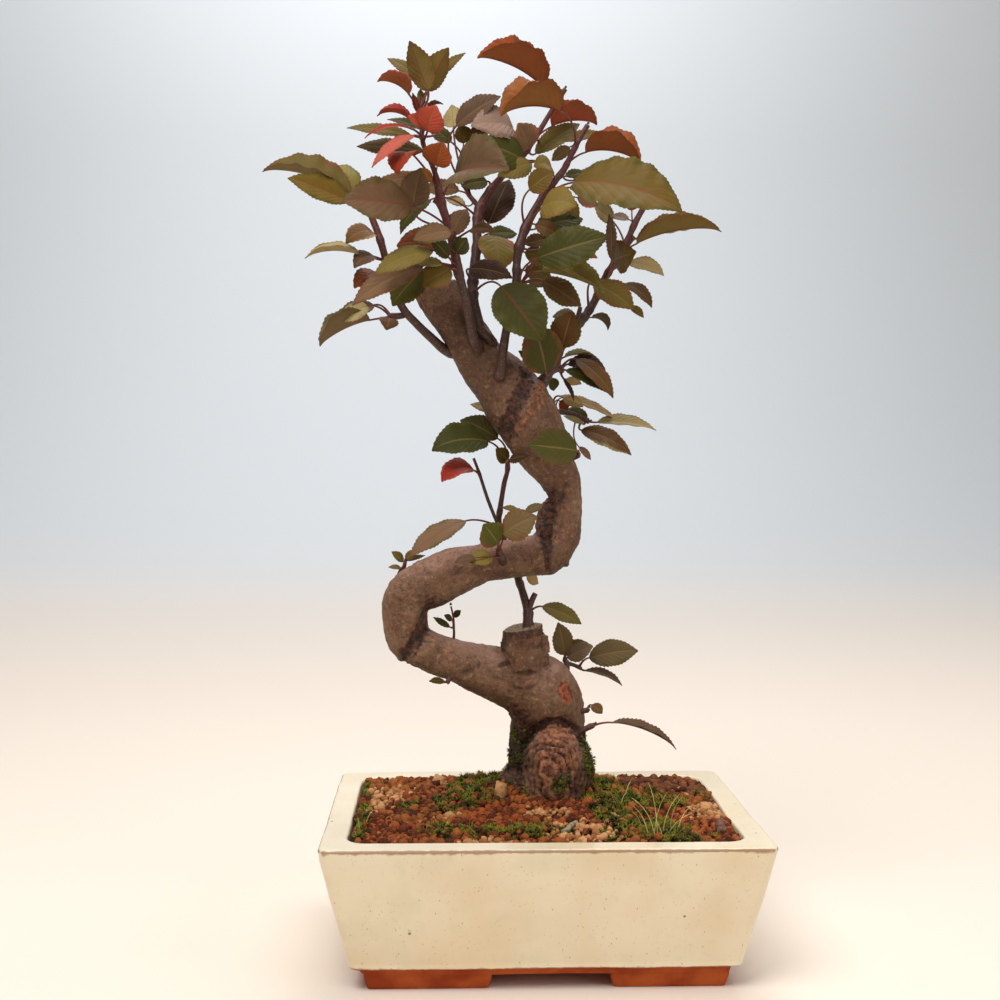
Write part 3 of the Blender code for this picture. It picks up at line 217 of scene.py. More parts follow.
class Paint(Graph):
    """Shader graph of one finish."""

    def __init__(self, name: str) -> None:
        """Start an empty material."""
        self.material = bpy.data.materials.new(name)
        self.material.use_nodes = True
        super().__init__(self.material.node_tree)
        self.tree.nodes.clear()
        self.place = self.value("ShaderNodeTexCoord", "Object")

    def attribute(self, name: str, output: str = "Color") -> Value:
        """Colour, vector or number that the mesh carries."""
        return self.value("ShaderNodeAttribute", output, {"attribute_name": name})

    def scaled(self, place: Value, scale: tuple[float, float, float]) -> Value:
        """Place stretched along each axis."""
        return self.value("ShaderNodeMapping", 0, None, {"Vector": place, "Scale": scale})

    def noise(self, scale: float, detail: float = 3.0, place: Value | None = None,
              rough: float = 0.5) -> Value:
        """Soft noise from 0 to 1."""
        return self.value("ShaderNodeTexNoise", "Fac", None,
                          {"Vector": place or self.place, "Scale": scale, "Detail": detail,
                           "Roughness": rough})

    def cells(self, scale: float, feature: str = "F1", place: Value | None = None) -> Value:
        """Distance in a cell pattern."""
        return self.value("ShaderNodeTexVoronoi", "Distance", {"feature": feature},
                          {"Vector": place or self.place, "Scale": scale})

    def mix(self, share: Value | float, first: object, second: object,
            blend: str = "MIX") -> Value:
        """Colour between two."""
        fed = []
        for colour in (first, second):
            fed.append((*colour, 1.0) if isinstance(colour, tuple) else colour)
        return self.value("ShaderNodeMix", "Result_Color",
                          {"data_type": "RGBA", "blend_type": blend},
                          {"Factor_Float": share, "A_Color": fed[0], "B_Color": fed[1]})

    def split(self, vector: Value) -> list[Value]:
        """The three numbers of a vector."""
        made = self.node("ShaderNodeSeparateXYZ", None, {"Vector": vector})
        return [Value(self, made.outputs[k]) for k in range(3)]

    def finish(self, colour: object, roughness: Value | float, height: Value | None = None,
               depth: float = 0.2, **others: object) -> bpy.types.Material:
        """Feed the surface and return the material.

        Args:
            colour: base colour.
            roughness: roughness from 0 to 1.
            height: relief for the bump, from 0 to 1.
            depth: what a relief of 1 stands for, in millimetres.
            others: further surface sockets by name, with _ for a space.

        Returns:
            The material.
        """
        fed = {"Base Color": (*colour, 1.0) if isinstance(colour, tuple) else colour,
               "Roughness": roughness}
        fed.update({name.replace("_", " "): value for name, value in others.items()})
        if height is not None:
            fed["Normal"] = self.value("ShaderNodeBump", 0, None,
                                       {"Height": height, "Distance": depth * MM,
                                        "Strength": 1.0})
        surface = self.value("ShaderNodeBsdfPrincipled", 0, None, fed)
        self.node("ShaderNodeOutputMaterial", None, {"Surface": surface})
        return self.material


def linked(name: str, data: bpy.types.ID) -> bpy.types.Object:
    """New object in the scene."""
    made = bpy.data.objects.new(name, data)
    bpy.context.scene.collection.objects.link(made)
    return made


def carry(mesh: bpy.types.Mesh, name: str, rows: np.ndarray) -> None:
    """Store a number or a vector at each point of a mesh."""
    kind, key = ("FLOAT", "value") if rows.ndim == 1 else ("FLOAT_VECTOR", "vector")
    mesh.attributes.new(name, kind, "POINT")
    mesh.attributes[name].data.foreach_set(key, rows.ravel().astype(float))


def rows_of(points: bpy.types.bpy_prop_collection, key: str) -> np.ndarray:
    """Vectors that the points of a mesh, or the entries of an attribute, hold under a key."""
    rows = np.zeros(len(points) * 3)
    points.foreach_get(key, rows)
    return rows.reshape(-1, 3)


def shaped(piece: bpy.types.Object) -> bpy.types.Mesh:
    """Plain mesh of a piece as its modifiers shape it, with the modifiers removed."""
    bpy.context.view_layer.update()
    graph = bpy.context.evaluated_depsgraph_get()
    mesh = bpy.data.meshes.new_from_object(piece.evaluated_get(graph))
    piece.modifiers.clear()
    return mesh


def solid(points: np.ndarray, faces: list[tuple[int, ...]]) -> bmesh.types.BMesh:
    """Closed shape whose faces point out."""
    work = bmesh.new()
    corners = [work.verts.new(point) for point in points]
    for face in faces:
        work.faces.new([corners[k] for k in face])
    bmesh.ops.recalc_face_normals(work, faces=work.faces)
    return work


def bumps(points: np.ndarray, scale: float = 1.0) -> np.ndarray:
    """Noise from -1 to 1 at rows of places, stretched by a scale."""
    return np.array([noise.noise(Vector(point * scale)) for point in points])


def held(value: float, low: float = 0.0, high: float = 1.0) -> float:
    """Value kept between two."""
    return min(high, max(low, value))


class Skin:
    """Growing mesh of one piece, in the pot's frame and in millimetres."""

    def __init__(self, *carried: str) -> None:
        """Start empty, with the names of what every point carries."""
        self.points: list[np.ndarray] = []
        self.faces: list[tuple[int, ...]] = []
        self.slots: list[int] = []
        self.values: dict[str, list[np.ndarray]] = {name: [] for name in carried}
        self.count = 0

    def add(self, points: np.ndarray, faces: list[tuple[int, ...]],
            slots: int | list[int] = 0, **values: object) -> None:
        """Add a closed shape.

        Args:
            points: rows of x, y and z.
            faces: corners of each face, counted from the shape's first point.
            slots: finish of the shape, or of each face, by its place in the piece.
            values: colours or vectors to carry, one for the shape or one for each point.
        """
        points = np.asarray(points, float).reshape(-1, 3)
        self.points.append(points)
        self.faces += [tuple(self.count + corner for corner in face) for face in faces]
        self.slots += [slots] * len(faces) if isinstance(slots, int) else slots
        for name, kept in self.values.items():
            value = np.asarray(values.get(name, 0.0), float)
            kept.append(np.broadcast_to(value, (len(points), 3)))
        self.count += len(points)

    def build(self, name: str, *finishes: bpy.types.Material) -> bpy.types.Object:
        """Make the mesh, its faces turned out and its edges crisp where two finishes meet."""
        points = (np.concatenate(self.points) + np.array(SHIFT)) * MM
        mesh = bpy.data.meshes.new(name)
        mesh.from_pydata(points.tolist(), [], self.faces)
        for key, rows in self.values.items():
            carry(mesh, key, np.concatenate(rows))
        for finish in finishes:
            mesh.materials.append(finish)
        mesh.polygons.foreach_set("material_index", self.slots)
        work = bmesh.new()
        work.from_mesh(mesh)
        bmesh.ops.recalc_face_normals(work, faces=work.faces)
        for edge in work.edges:
            edge.smooth = len({face.material_index for face in edge.link_faces}) < 2
        work.to_mesh(mesh)
        work.free()
        mesh.shade_smooth()
        return linked(name, mesh)


def placed(piece: bpy.types.Object, slot: str, *nodes: str) -> bpy.types.Object:
    """Ride a piece on the tree's body and put it for its CAD nodes.

    Args:
        piece: a finished piece.
        slot: not used.
        nodes: CAD nodes that it stands for.

    Returns:
        The piece.
    """
    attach(piece, BODY)
    if nodes:
        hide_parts(*nodes)
    sides = sum(len(face.vertices) - 2 for face in piece.data.polygons)
    log.info("%s: %d triangles", piece.name, sides)
    return piece


def strips(rings: list[list[int]]) -> list[tuple[int, ...]]:
    """Quads between neighbouring rings of point numbers."""
    faces = []
    for low, high in zip(rings, rings[1:]):
        for k in range(len(low)):
            after = (k + 1) % len(low)
            faces.append((low[k], low[after], high[after], high[k]))
    return faces


def ringed(rings: list[list[Vector | Place]]) -> tuple[np.ndarray, list[tuple[int, ...]]]:
    """Points and faces of a closed shape, from rings of places with as many corners each."""
    size = len(rings[0])
    rows = [list(range(k * size, (k + 1) * size)) for k in range(len(rings))]
    faces = strips(rows) + [tuple(rows[0]), tuple(rows[-1])]
    return np.array([place for ring in rings for place in ring]), faces


def smooth_route(places: list[Vector], radii: list[float],
                 step: float) -> tuple[list[Vector], list[float]]:
    """Points and radii along a smooth curve.

    Args:
        places: points that the curve passes through.
        radii: radius at each.
        step: distance between the points returned.

    Returns:
        Points of the curve and the radius at each.
    """
    points, sizes = [], []
    last = len(places) - 1
    for k in range(last):
        before, after = places[max(k - 1, 0)], places[min(k + 2, last)]
        a, b = places[k], places[k + 1]
        parts = max(1, round((b - a).length / step))
        for j in range(parts):
            t = j / parts
            points.append(0.5 * (2 * a + (b - before) * t
                                 + (2 * before - 5 * a + 4 * b - after) * t * t
                                 + (3 * a - before - 3 * b + after) * t ** 3))
            sizes.append(radii[k] + (radii[k + 1] - radii[k]) * t)
    return points + [places[last]], sizes + [radii[last]]


def frames_along(points: list[Vector]) -> list[tuple[Vector, Vector, Vector]]:
    """Direction and two side directions at each point, with no twist along the way."""
    frames = []
    side = None
    for k in range(len(points)):
        tangent = (points[min(k + 1, len(points) - 1)] - points[max(k - 1, 0)]).normalized()
        if side is None:
            level = abs(tangent.y) > 0.98
            side = tangent.cross(Vector((1.0, 0.0, 0.0) if level else (0.0, 1.0, 0.0)))
        side = (side - tangent * side.dot(tangent)).normalized()
        frames.append((tangent, side, tangent.cross(side)))
    return frames


def tube(points: list[Vector], radii: list[float],
         sides: int) -> tuple[np.ndarray, list[tuple[int, ...]]]:
    """Closed round tube along points, with a radius at each."""
    turns = [2 * math.pi * s / sides for s in range(sides)]
    return ringed([[point + (side * math.cos(turn) + other * math.sin(turn)) * radius
                    for turn in turns] for point, radius, (_, side, other)
                   in zip(points, radii, frames_along(points))])


class Tone(Enum):
    """Main colour of a leaf's upper face, as a paint chip."""

    OLIVE = (100, 82, 32)
    LIGHT_OLIVE = (110, 98, 44)
    YELLOW_OLIVE = (114, 98, 44)
    GREEN = (68, 68, 22)
    DARK_GREEN = (62, 60, 22)
    DARK_OLIVE = (74, 60, 24)
    GREY_OLIVE = (100, 84, 54)
    MAUVE = (106, 82, 60)
    MAUVE_BROWN = (92, 68, 50)
    PALE_MAUVE = (142, 118, 106)
    BROWN = (92, 64, 34)
    DARK_BROWN = (60, 40, 26)
    YELLOW_BROWN = (150, 86, 36)
    RUST = (130, 62, 28)
    ORANGE = (146, 70, 30)
    RED_ORANGE = (140, 48, 26)
    CORAL = (178, 74, 56)
    RED = (150, 44, 36)
    PINK = (182, 88, 76)
    DARK_RED = (86, 26, 26)
    CREAM = (160, 144, 100)
    TAN = (146, 120, 80)
    PALE_GREEN = (136, 132, 84)


class Blush(Enum):
    """Second colour that a leaf turns to at its margin and its foot, or none."""

    NONE = None
    GREEN = (74, 70, 26)
    RUST = (110, 62, 34)
    MAUVE = (98, 70, 62)
    PINK = (158, 82, 74)
    DARK = (50, 42, 28)
    CREAM = (158, 140, 96)


@dataclass(frozen=True)
class LeafFinish:
    """Upper and under faces of a leaf blade, coloured by what the mesh carries."""

    vein_pairs: float = 8.0
    vein_rise: float = 0.34
    vein_width: float = 0.16
    rib_width: float = 0.05
    quilt_depth: float = 0.16

    def veins(self, paint: Paint) -> tuple[Value, Value, Value]:
        """Masks of the midrib and the side veins, and the quilted relief between veins."""
        across, along, _ = paint.split(paint.attribute("blade", "Vector"))
        off = across.function("ABSOLUTE")
        wander = paint.noise(260.0, 2.0) * 0.09
        phase = (along - off * self.vein_rise + wander * 0.4) * self.vein_pairs
        near = (phase.function("FRACT") - 0.5).function("ABSOLUTE") * 2
        side = near.ramp(1.0 - self.vein_width, 1.0) * off.ramp(0.9, 0.98, 1.0, 0.2)
        rib = (off + wander * 0.1).ramp(self.rib_width * 0.5, self.rib_width * 1.6, 1.0, 0.0)
        rib = rib * along.ramp(0.75, 1.0, 1.0, 0.35)
        net = paint.cells(900.0, "DISTANCE_TO_EDGE").ramp(0.0, 0.12, 0.0, 1.0)
        quilt = (1 - near * near) * off.ramp(0.0, 0.2) * 0.8 + net * 0.2
        return rib, side, quilt

    def upper(self) -> bpy.types.Material:
        """Satin upper face with fine veins and mottling."""
        paint = Paint("leaf_upper")
        rib, side, quilt = self.veins(paint)
        mottle = paint.noise(420.0, 4.0).ramp(0.3, 0.75)
        cloud = paint.noise(120.0, 3.0).ramp(0.35, 0.7)
        tone, blush = paint.attribute("tone"), paint.attribute("blush")
        across, along, _ = paint.split(paint.attribute("blade", "Vector"))
        off = across.function("ABSOLUTE")
        edge = off.ramp(0.45, 1.0) * 0.55 + cloud * 0.45
        colour = paint.mix(edge.ramp(0.3, 0.95) * 0.75, tone, blush)
        colour = paint.mix(mottle * 0.2, colour, (0.8, 0.7, 0.4), "OVERLAY")
        colour = paint.mix(side * 0.07, colour, paint.mix(0.5, paint.attribute("rib"), tone))
        colour = paint.mix(rib * 0.42, colour, paint.attribute("rib"))
        specks = paint.cells(300.0).ramp(0.05, 0.16, 1.0, 0.0) * mottle
        colour = paint.mix(specks * 0.25, colour, (0.07, 0.035, 0.02))
        rough = 0.42 + mottle * 0.16 + side * 0.05
        return paint.finish(colour, rough, quilt, self.quilt_depth, Specular_IOR_Level=0.13)

    def under(self) -> bpy.types.Material:
        """Paler, downy under face with raised veins."""
        paint = Paint("leaf_under")
        rib, side, quilt = self.veins(paint)
        down = paint.noise(1500.0, 2.0)
        across, _, _ = paint.split(paint.attribute("blade", "Vector"))
        cloud = paint.noise(160.0, 3.0).ramp(0.35, 0.7)
        pale = paint.mix(0.12 + cloud * 0.12, paint.attribute("tone"), (0.26, 0.21, 0.1))
        edge = across.function("ABSOLUTE").ramp(0.5, 1.0) * 0.3 + cloud * 0.3
        pale = paint.mix(edge, pale, paint.attribute("blush"))
        colour = paint.mix(side * 0.16, pale, paint.mix(0.4, paint.attribute("rib"), pale))
        colour = paint.mix(rib * 0.6, colour, paint.attribute("rib"))
        relief = (1 - quilt) * 0.8 + down * 0.2
        return paint.finish(colour, 0.68, relief, self.quilt_depth, Specular_IOR_Level=0.1)


@dataclass(frozen=True)
class TwigFinish:
    """Skin of young twigs and leaf stalks, coloured by what the mesh carries."""

    grain: float = 0.12

    def material(self) -> bpy.types.Material:
        """Smooth young bark with pale dots and a waxy sheen."""
        paint = Paint("twig_skin")
        place = paint.attribute("grain_place", "Vector")
        streak = paint.noise(1.0, 4.0, paint.scaled(place, (0.9, 0.9, 0.16)), 0.6)
        rings = paint.noise(1.0, 3.0, paint.scaled(place, (0.3, 0.3, 1.9)), 0.6).ramp(0.5, 0.72)
        dots = paint.cells(1.0, place=paint.scaled(place, (0.95, 0.95, 0.6))).ramp(
            0.14, 0.24, 1.0, 0.0)
        tone = paint.attribute("tone")
        colour = paint.mix(streak.ramp(0.35, 0.75) * 0.45, tone, (0.035, 0.018, 0.014))
        colour = paint.mix(rings * 0.14, colour, (0.3, 0.22, 0.16))
        colour = paint.mix(dots * 0.36, colour, (0.36, 0.27, 0.19))
        relief = streak * 0.6 + dots * 0.4
        return paint.finish(colour, 0.5 - dots * 0.05, relief, self.grain,
                            Specular_IOR_Level=0.4)


@dataclass(frozen=True)
class BarkFinish:
    """Bark of the old trunk with wrinkles, pores, scars, fresh wounds, moss-stained patches,
    painted shade and painted sheen.
    """

    wrinkle_depth: float = 0.85
    grey: Colour = linear(122, 90, 66)
    brown: Colour = linear(96, 64, 42)
    dark: Colour = linear(40, 24, 17)
    red: Colour = linear(118, 66, 48)
    wound: Colour = linear(158, 80, 46)
    # Painted sheen: pale colour laid on faces that point up.
    painted_top_sheen: Colour = linear(160, 120, 104)
    # Dark moss-stained tone, also used as painted shade on faces that point down.
    moss_stain_and_shade: Colour = linear(44, 39, 22)

    def material(self) -> bpy.types.Material:
        """Weathered bark that follows the trunk."""
        paint = Paint("trunk_bark")
        place = paint.attribute("grain_place", "Vector")
        scar_and_shade, moss, cut = paint.split(paint.attribute("marks", "Vector"))
        redness, rise, up = paint.split(paint.attribute("tint", "Vector"))
        cloud = paint.noise(45.0, 4.0)
        blotch = paint.noise(120.0, 5.0, rough=0.62)
        long = paint.noise(1.0, 6.0, paint.scaled(place, (0.9, 0.9, 0.22)), 0.65)
        cross = paint.noise(1.0, 5.0, paint.scaled(place, (0.25, 0.25, 0.9)), 0.62)
        fine = paint.noise(1100.0, 5.0, rough=0.75)
        speck = paint.noise(430.0, 4.0, rough=0.7)
        pores = paint.cells(1.0, place=paint.scaled(place, (0.62, 0.62, 0.95))).ramp(
            0.1, 0.24, 1.0, 0.0) * cloud.ramp(0.35, 0.6)
        colour = paint.mix(cloud.ramp(0.36, 0.64), self.brown, self.grey)
        colour = paint.mix(blotch.ramp(0.5, 0.72) * 0.55, colour, self.red)
        # Painted sheen: faces that point up are lightened, as if lit from above.
        colour = paint.mix((up + (blotch - 0.5) * 1.4).ramp(0.15, 0.95) * 0.62, colour, self.painted_top_sheen)
        # Painted shade: faces that point down are darkened, as if shaded from above.
        colour = paint.mix((up - (blotch - 0.5)).ramp(-0.25, -0.95) * 0.6, colour, self.moss_stain_and_shade)
        colour = paint.mix(long.ramp(0.46, 0.3) * 0.4, colour, self.dark)
        colour = paint.mix(cross.ramp(0.44, 0.28) * 0.4, colour, self.dark)
        colour = paint.mix(speck.ramp(0.49, 0.3) * 0.62, colour, self.dark)
        colour = paint.mix(pores * 0.55, colour, linear(178, 146, 112))
        colour = paint.mix(speck.ramp(0.54, 0.7) * 0.55, colour, linear(170, 130, 94))
        colour = paint.mix(fine.ramp(0.46, 0.28) * 0.5, colour, self.dark)
        # Painted shade: sunk places of the relief are darkened.
        colour = paint.mix(rise.ramp(-0.2, -1.0) * 0.6, colour, self.dark)
        # Painted shadow: the trunk is darkened higher up, under the crown.
        _, _, height = paint.split(paint.place)
        colour = paint.mix(height.ramp(0.24, 0.3) * 0.24, colour, self.dark)
        ruddy = paint.mix(speck.ramp(0.38, 0.62), linear(80, 38, 24), linear(164, 106, 70))
        ruddy = paint.mix(blotch.ramp(0.44, 0.62) * 0.6, ruddy, linear(88, 44, 30))
        # Painted shade: the sunk folds of the stump are darkened.
        ruddy = paint.mix(rise.ramp(-0.1, -1.0) * 0.9, ruddy, linear(36, 18, 13))
        colour = paint.mix(redness.ramp(0.1, 0.9) * 0.9, colour, ruddy)
        raw = paint.mix(speck.ramp(0.4, 0.6), linear(92, 38, 24), self.wound)
        colour = paint.mix((redness - 1.0).ramp(0.0, 0.25), colour, raw)
        # Dark tone of real scars and of painted shade in creases, hollows and along outlines.
        scar_and_shade_tone = paint.mix((fine * 0.4 + speck * 0.6).ramp(0.42, 0.62), linear(24, 14, 11),
                            linear(104, 60, 40))
        colour = paint.mix((scar_and_shade + (speck - 0.5) * 0.8).ramp(0.25, 0.7) * 0.92, colour, scar_and_shade_tone)
        wet = (moss + (blotch - 0.5) * 0.9).ramp(0.3, 0.75)
        colour = paint.mix(wet * 0.75, colour, self.moss_stain_and_shade)
        rings = paint.noise(1.0, 4.0, paint.scaled(place, (1.6, 0.3, 0.3)), 0.6)
        wood = paint.mix(rings.ramp(0.35, 0.65), linear(96, 74, 48), linear(150, 124, 88))
        colour = paint.mix(cut.ramp(0.3, 0.6), colour, wood)
        relief = long * 0.3 + cross * 0.22 + fine * 0.2 + speck * 0.35 + pores * 0.12
        return paint.finish(colour, 0.62 - pores * 0.08 + fine * 0.15, relief,
                            self.wrinkle_depth, Specular_IOR_Level=0.42)


@dataclass(frozen=True)
class GlazeFinish:
    """Cream glaze that breaks brown at the edges, with iron specks."""

    cream: Colour = linear(222, 203, 168)
    ivory: Colour = linear(229, 215, 186)
    tint: Colour = linear(208, 200, 166)
    iron: Colour = linear(84, 52, 34)
    broken: Colour = linear(138, 92, 58)

    def material(self) -> bpy.types.Material:
        """Satin glaze."""
        paint = Paint("pot_glaze")
        edge, _, _ = paint.split(paint.attribute("marks", "Vector"))
        cloud = paint.noise(22.0, 4.0)
        fine = paint.noise(260.0, 4.0)
        colour = paint.mix(cloud.ramp(0.35, 0.65), self.cream, self.ivory)
        colour = paint.mix(paint.noise(48.0, 3.0).ramp(0.5, 0.72) * 0.35, colour, self.tint)
        colour = paint.mix(fine.ramp(0.55, 0.8) * 0.14, colour, linear(190, 158, 116))
        few = paint.noise(70.0, 2.0).ramp(0.38, 0.55)
        specks = paint.cells(520.0).ramp(0.07, 0.13, 1.0, 0.0) * few
        dashes = paint.cells(1.0, place=paint.scaled(paint.place, (330.0, 330.0, 140.0))).ramp(
            0.055, 0.1, 1.0, 0.0)
        spots = paint.cells(74.0).ramp(0.035, 0.065, 1.0, 0.0)
        marks = specks.function("MAXIMUM", 0.0) * 0.6
        colour = paint.mix(marks, colour, self.iron)
        colour = paint.mix(dashes * 0.5, colour, self.iron)
        colour = paint.mix(spots * 0.8, colour, linear(84, 52, 28))
        thin = (edge + (fine - 0.5) * 0.9).ramp(0.4, 0.85)
        colour = paint.mix(thin * 0.8, colour, self.broken)
        wave = paint.noise(34.0, 2.0) * 0.85 + fine * 0.05 - spots * 0.2
        return paint.finish(colour, 0.24 + cloud * 0.1 + thin * 0.15, wave, 0.7,
                            Coat_Weight=0.25, Coat_Roughness=0.12)


@dataclass(frozen=True)
class ClayFinish:
    """Bare fired clay of the pot's band and feet."""

    clay: Colour = linear(148, 58, 20)
    pale: Colour = linear(178, 84, 36)

    def material(self) -> bpy.types.Material:
        """Matt clay with grit."""
        paint = Paint("bare_clay")
        cloud = paint.noise(60.0, 4.0).ramp(0.35, 0.65)
        grit = paint.noise(900.0, 4.0, rough=0.7)
        colour = paint.mix(cloud, self.clay, self.pale)
        colour = paint.mix(grit.ramp(0.55, 0.8) * 0.35, colour, linear(104, 54, 28))
        return paint.finish(colour, 0.85, grit, 0.25, Specular_IOR_Level=0.25)


@dataclass(frozen=True)
class GrainFinish:
    """Baked clay granules, each of its own shade between two."""

    name: str
    dark: Colour
    pale: Colour
    dust: Colour = linear(188, 140, 96)
    moss_share: float = 0.0

    def material(self) -> bpy.types.Material:
        """Matt, dusty grain."""
        paint = Paint(self.name)
        shade, _, _ = paint.split(paint.attribute("shade", "Vector"))
        fine = paint.noise(1700.0, 3.0, rough=0.65)
        crumb = paint.noise(620.0, 4.0, rough=0.6)
        wide = paint.noise(40.0, 3.0)
        colour = paint.mix(shade.ramp(0.0, 1.0), self.dark, self.pale)
        colour = paint.mix(fine.ramp(0.5, 0.8) * 0.35, colour, self.dust)
        colour = paint.mix(crumb.ramp(0.5, 0.32) * 0.5, colour, self.dark)
        green = (wide + shade * 0.3).ramp(0.62, 0.86) * self.moss_share
        colour = paint.mix(green, colour, linear(104, 108, 48))
        return paint.finish(colour, 0.92, fine * 0.35 + crumb * 0.65, 0.8,
                            Specular_IOR_Level=0.2)


@dataclass(frozen=True)
class PlainFinish:
    """Matt finish of one colour with a fine break-up of a second."""

    name: str
    first: Colour
    second: Colour
    roughness: float = 0.8
    scale: float = 500.0
    relief: float = 0.15

    def material(self) -> bpy.types.Material:
        """Two-tone matt surface."""
        paint = Paint(self.name)
        fine = paint.noise(self.scale, 4.0, rough=0.6)
        colour = paint.mix(fine.ramp(0.35, 0.7), self.first, self.second)
        return paint.finish(colour, self.roughness, fine, self.relief, Specular_IOR_Level=0.3)


@dataclass(frozen=True)
class MossFinish:
    """Moss from dark green to yellow-green in wide patches and by each tuft's own shade."""

    def material(self) -> bpy.types.Material:
        """Soft matt moss."""
        paint = Paint("moss")
        shade, other, _ = paint.split(paint.attribute("shade", "Vector"))
        wide = paint.noise(130.0, 4.0)
        fine = paint.noise(700.0, 3.0)
        colour = paint.mix((wide * 0.8 + shade * 0.2).ramp(0.4, 0.58), linear(38, 44, 14),
                           linear(124, 128, 34))
        colour = paint.mix(other.ramp(0.7, 1.0) * 0.5, colour, linear(150, 146, 62))
        colour = paint.mix(shade.ramp(0.85, 1.0) * 0.7, colour, linear(84, 58, 28))
        colour = paint.mix(fine.ramp(0.5, 0.75) * 0.3, colour, linear(30, 34, 12))
        return paint.finish(colour, 0.8, fine, 0.1, Specular_IOR_Level=0.25)


class Rib(Enum):
    """Colour of a leaf's midrib and veins."""

    PALE = (138, 112, 70)
    RED = (124, 48, 42)


@dataclass(frozen=True)
class Leaf:
    """A leaf: where its blade starts and ends, how it is bent, and its colours."""

    base: Place
    tip: Place
    width: float
    arch: float
    roll: float
    fold: float
    tone: Tone
    blush: Blush = Blush.NONE
    root: tuple[float, float] | None = None
    rib: Rib = Rib.PALE


def leaf(look: str, *sizes: float) -> Leaf:
    """Leaf from one row.

    Args:
        look: names of its tone and, where it has them, its blush and its rib.
        sizes: x, z and depth of its base and of its tip, its width, arch, roll and fold,
            then x and z of its root if that isn't the nearest place.

    Returns:
        The leaf.
    """
    tone, blush, rib = (look.split() + ["NONE", "PALE"][max(0, len(look.split()) - 1):])[:3]
    return Leaf(sizes[0:3], sizes[3:6], *sizes[6:10], Tone[tone], Blush[blush],
                sizes[10:] or None, Rib[rib])


@dataclass(frozen=True)
class Shoot:
    """Leafy shoot: its twigs and leaves, its lean, and how much of it is young and red."""

    name: str
    twigs: tuple[tuple[tuple[float, float, float, float], ...], ...]
    leaves: tuple[Leaf, ...]
    lean: float = 0.0
    young: float = 0.2


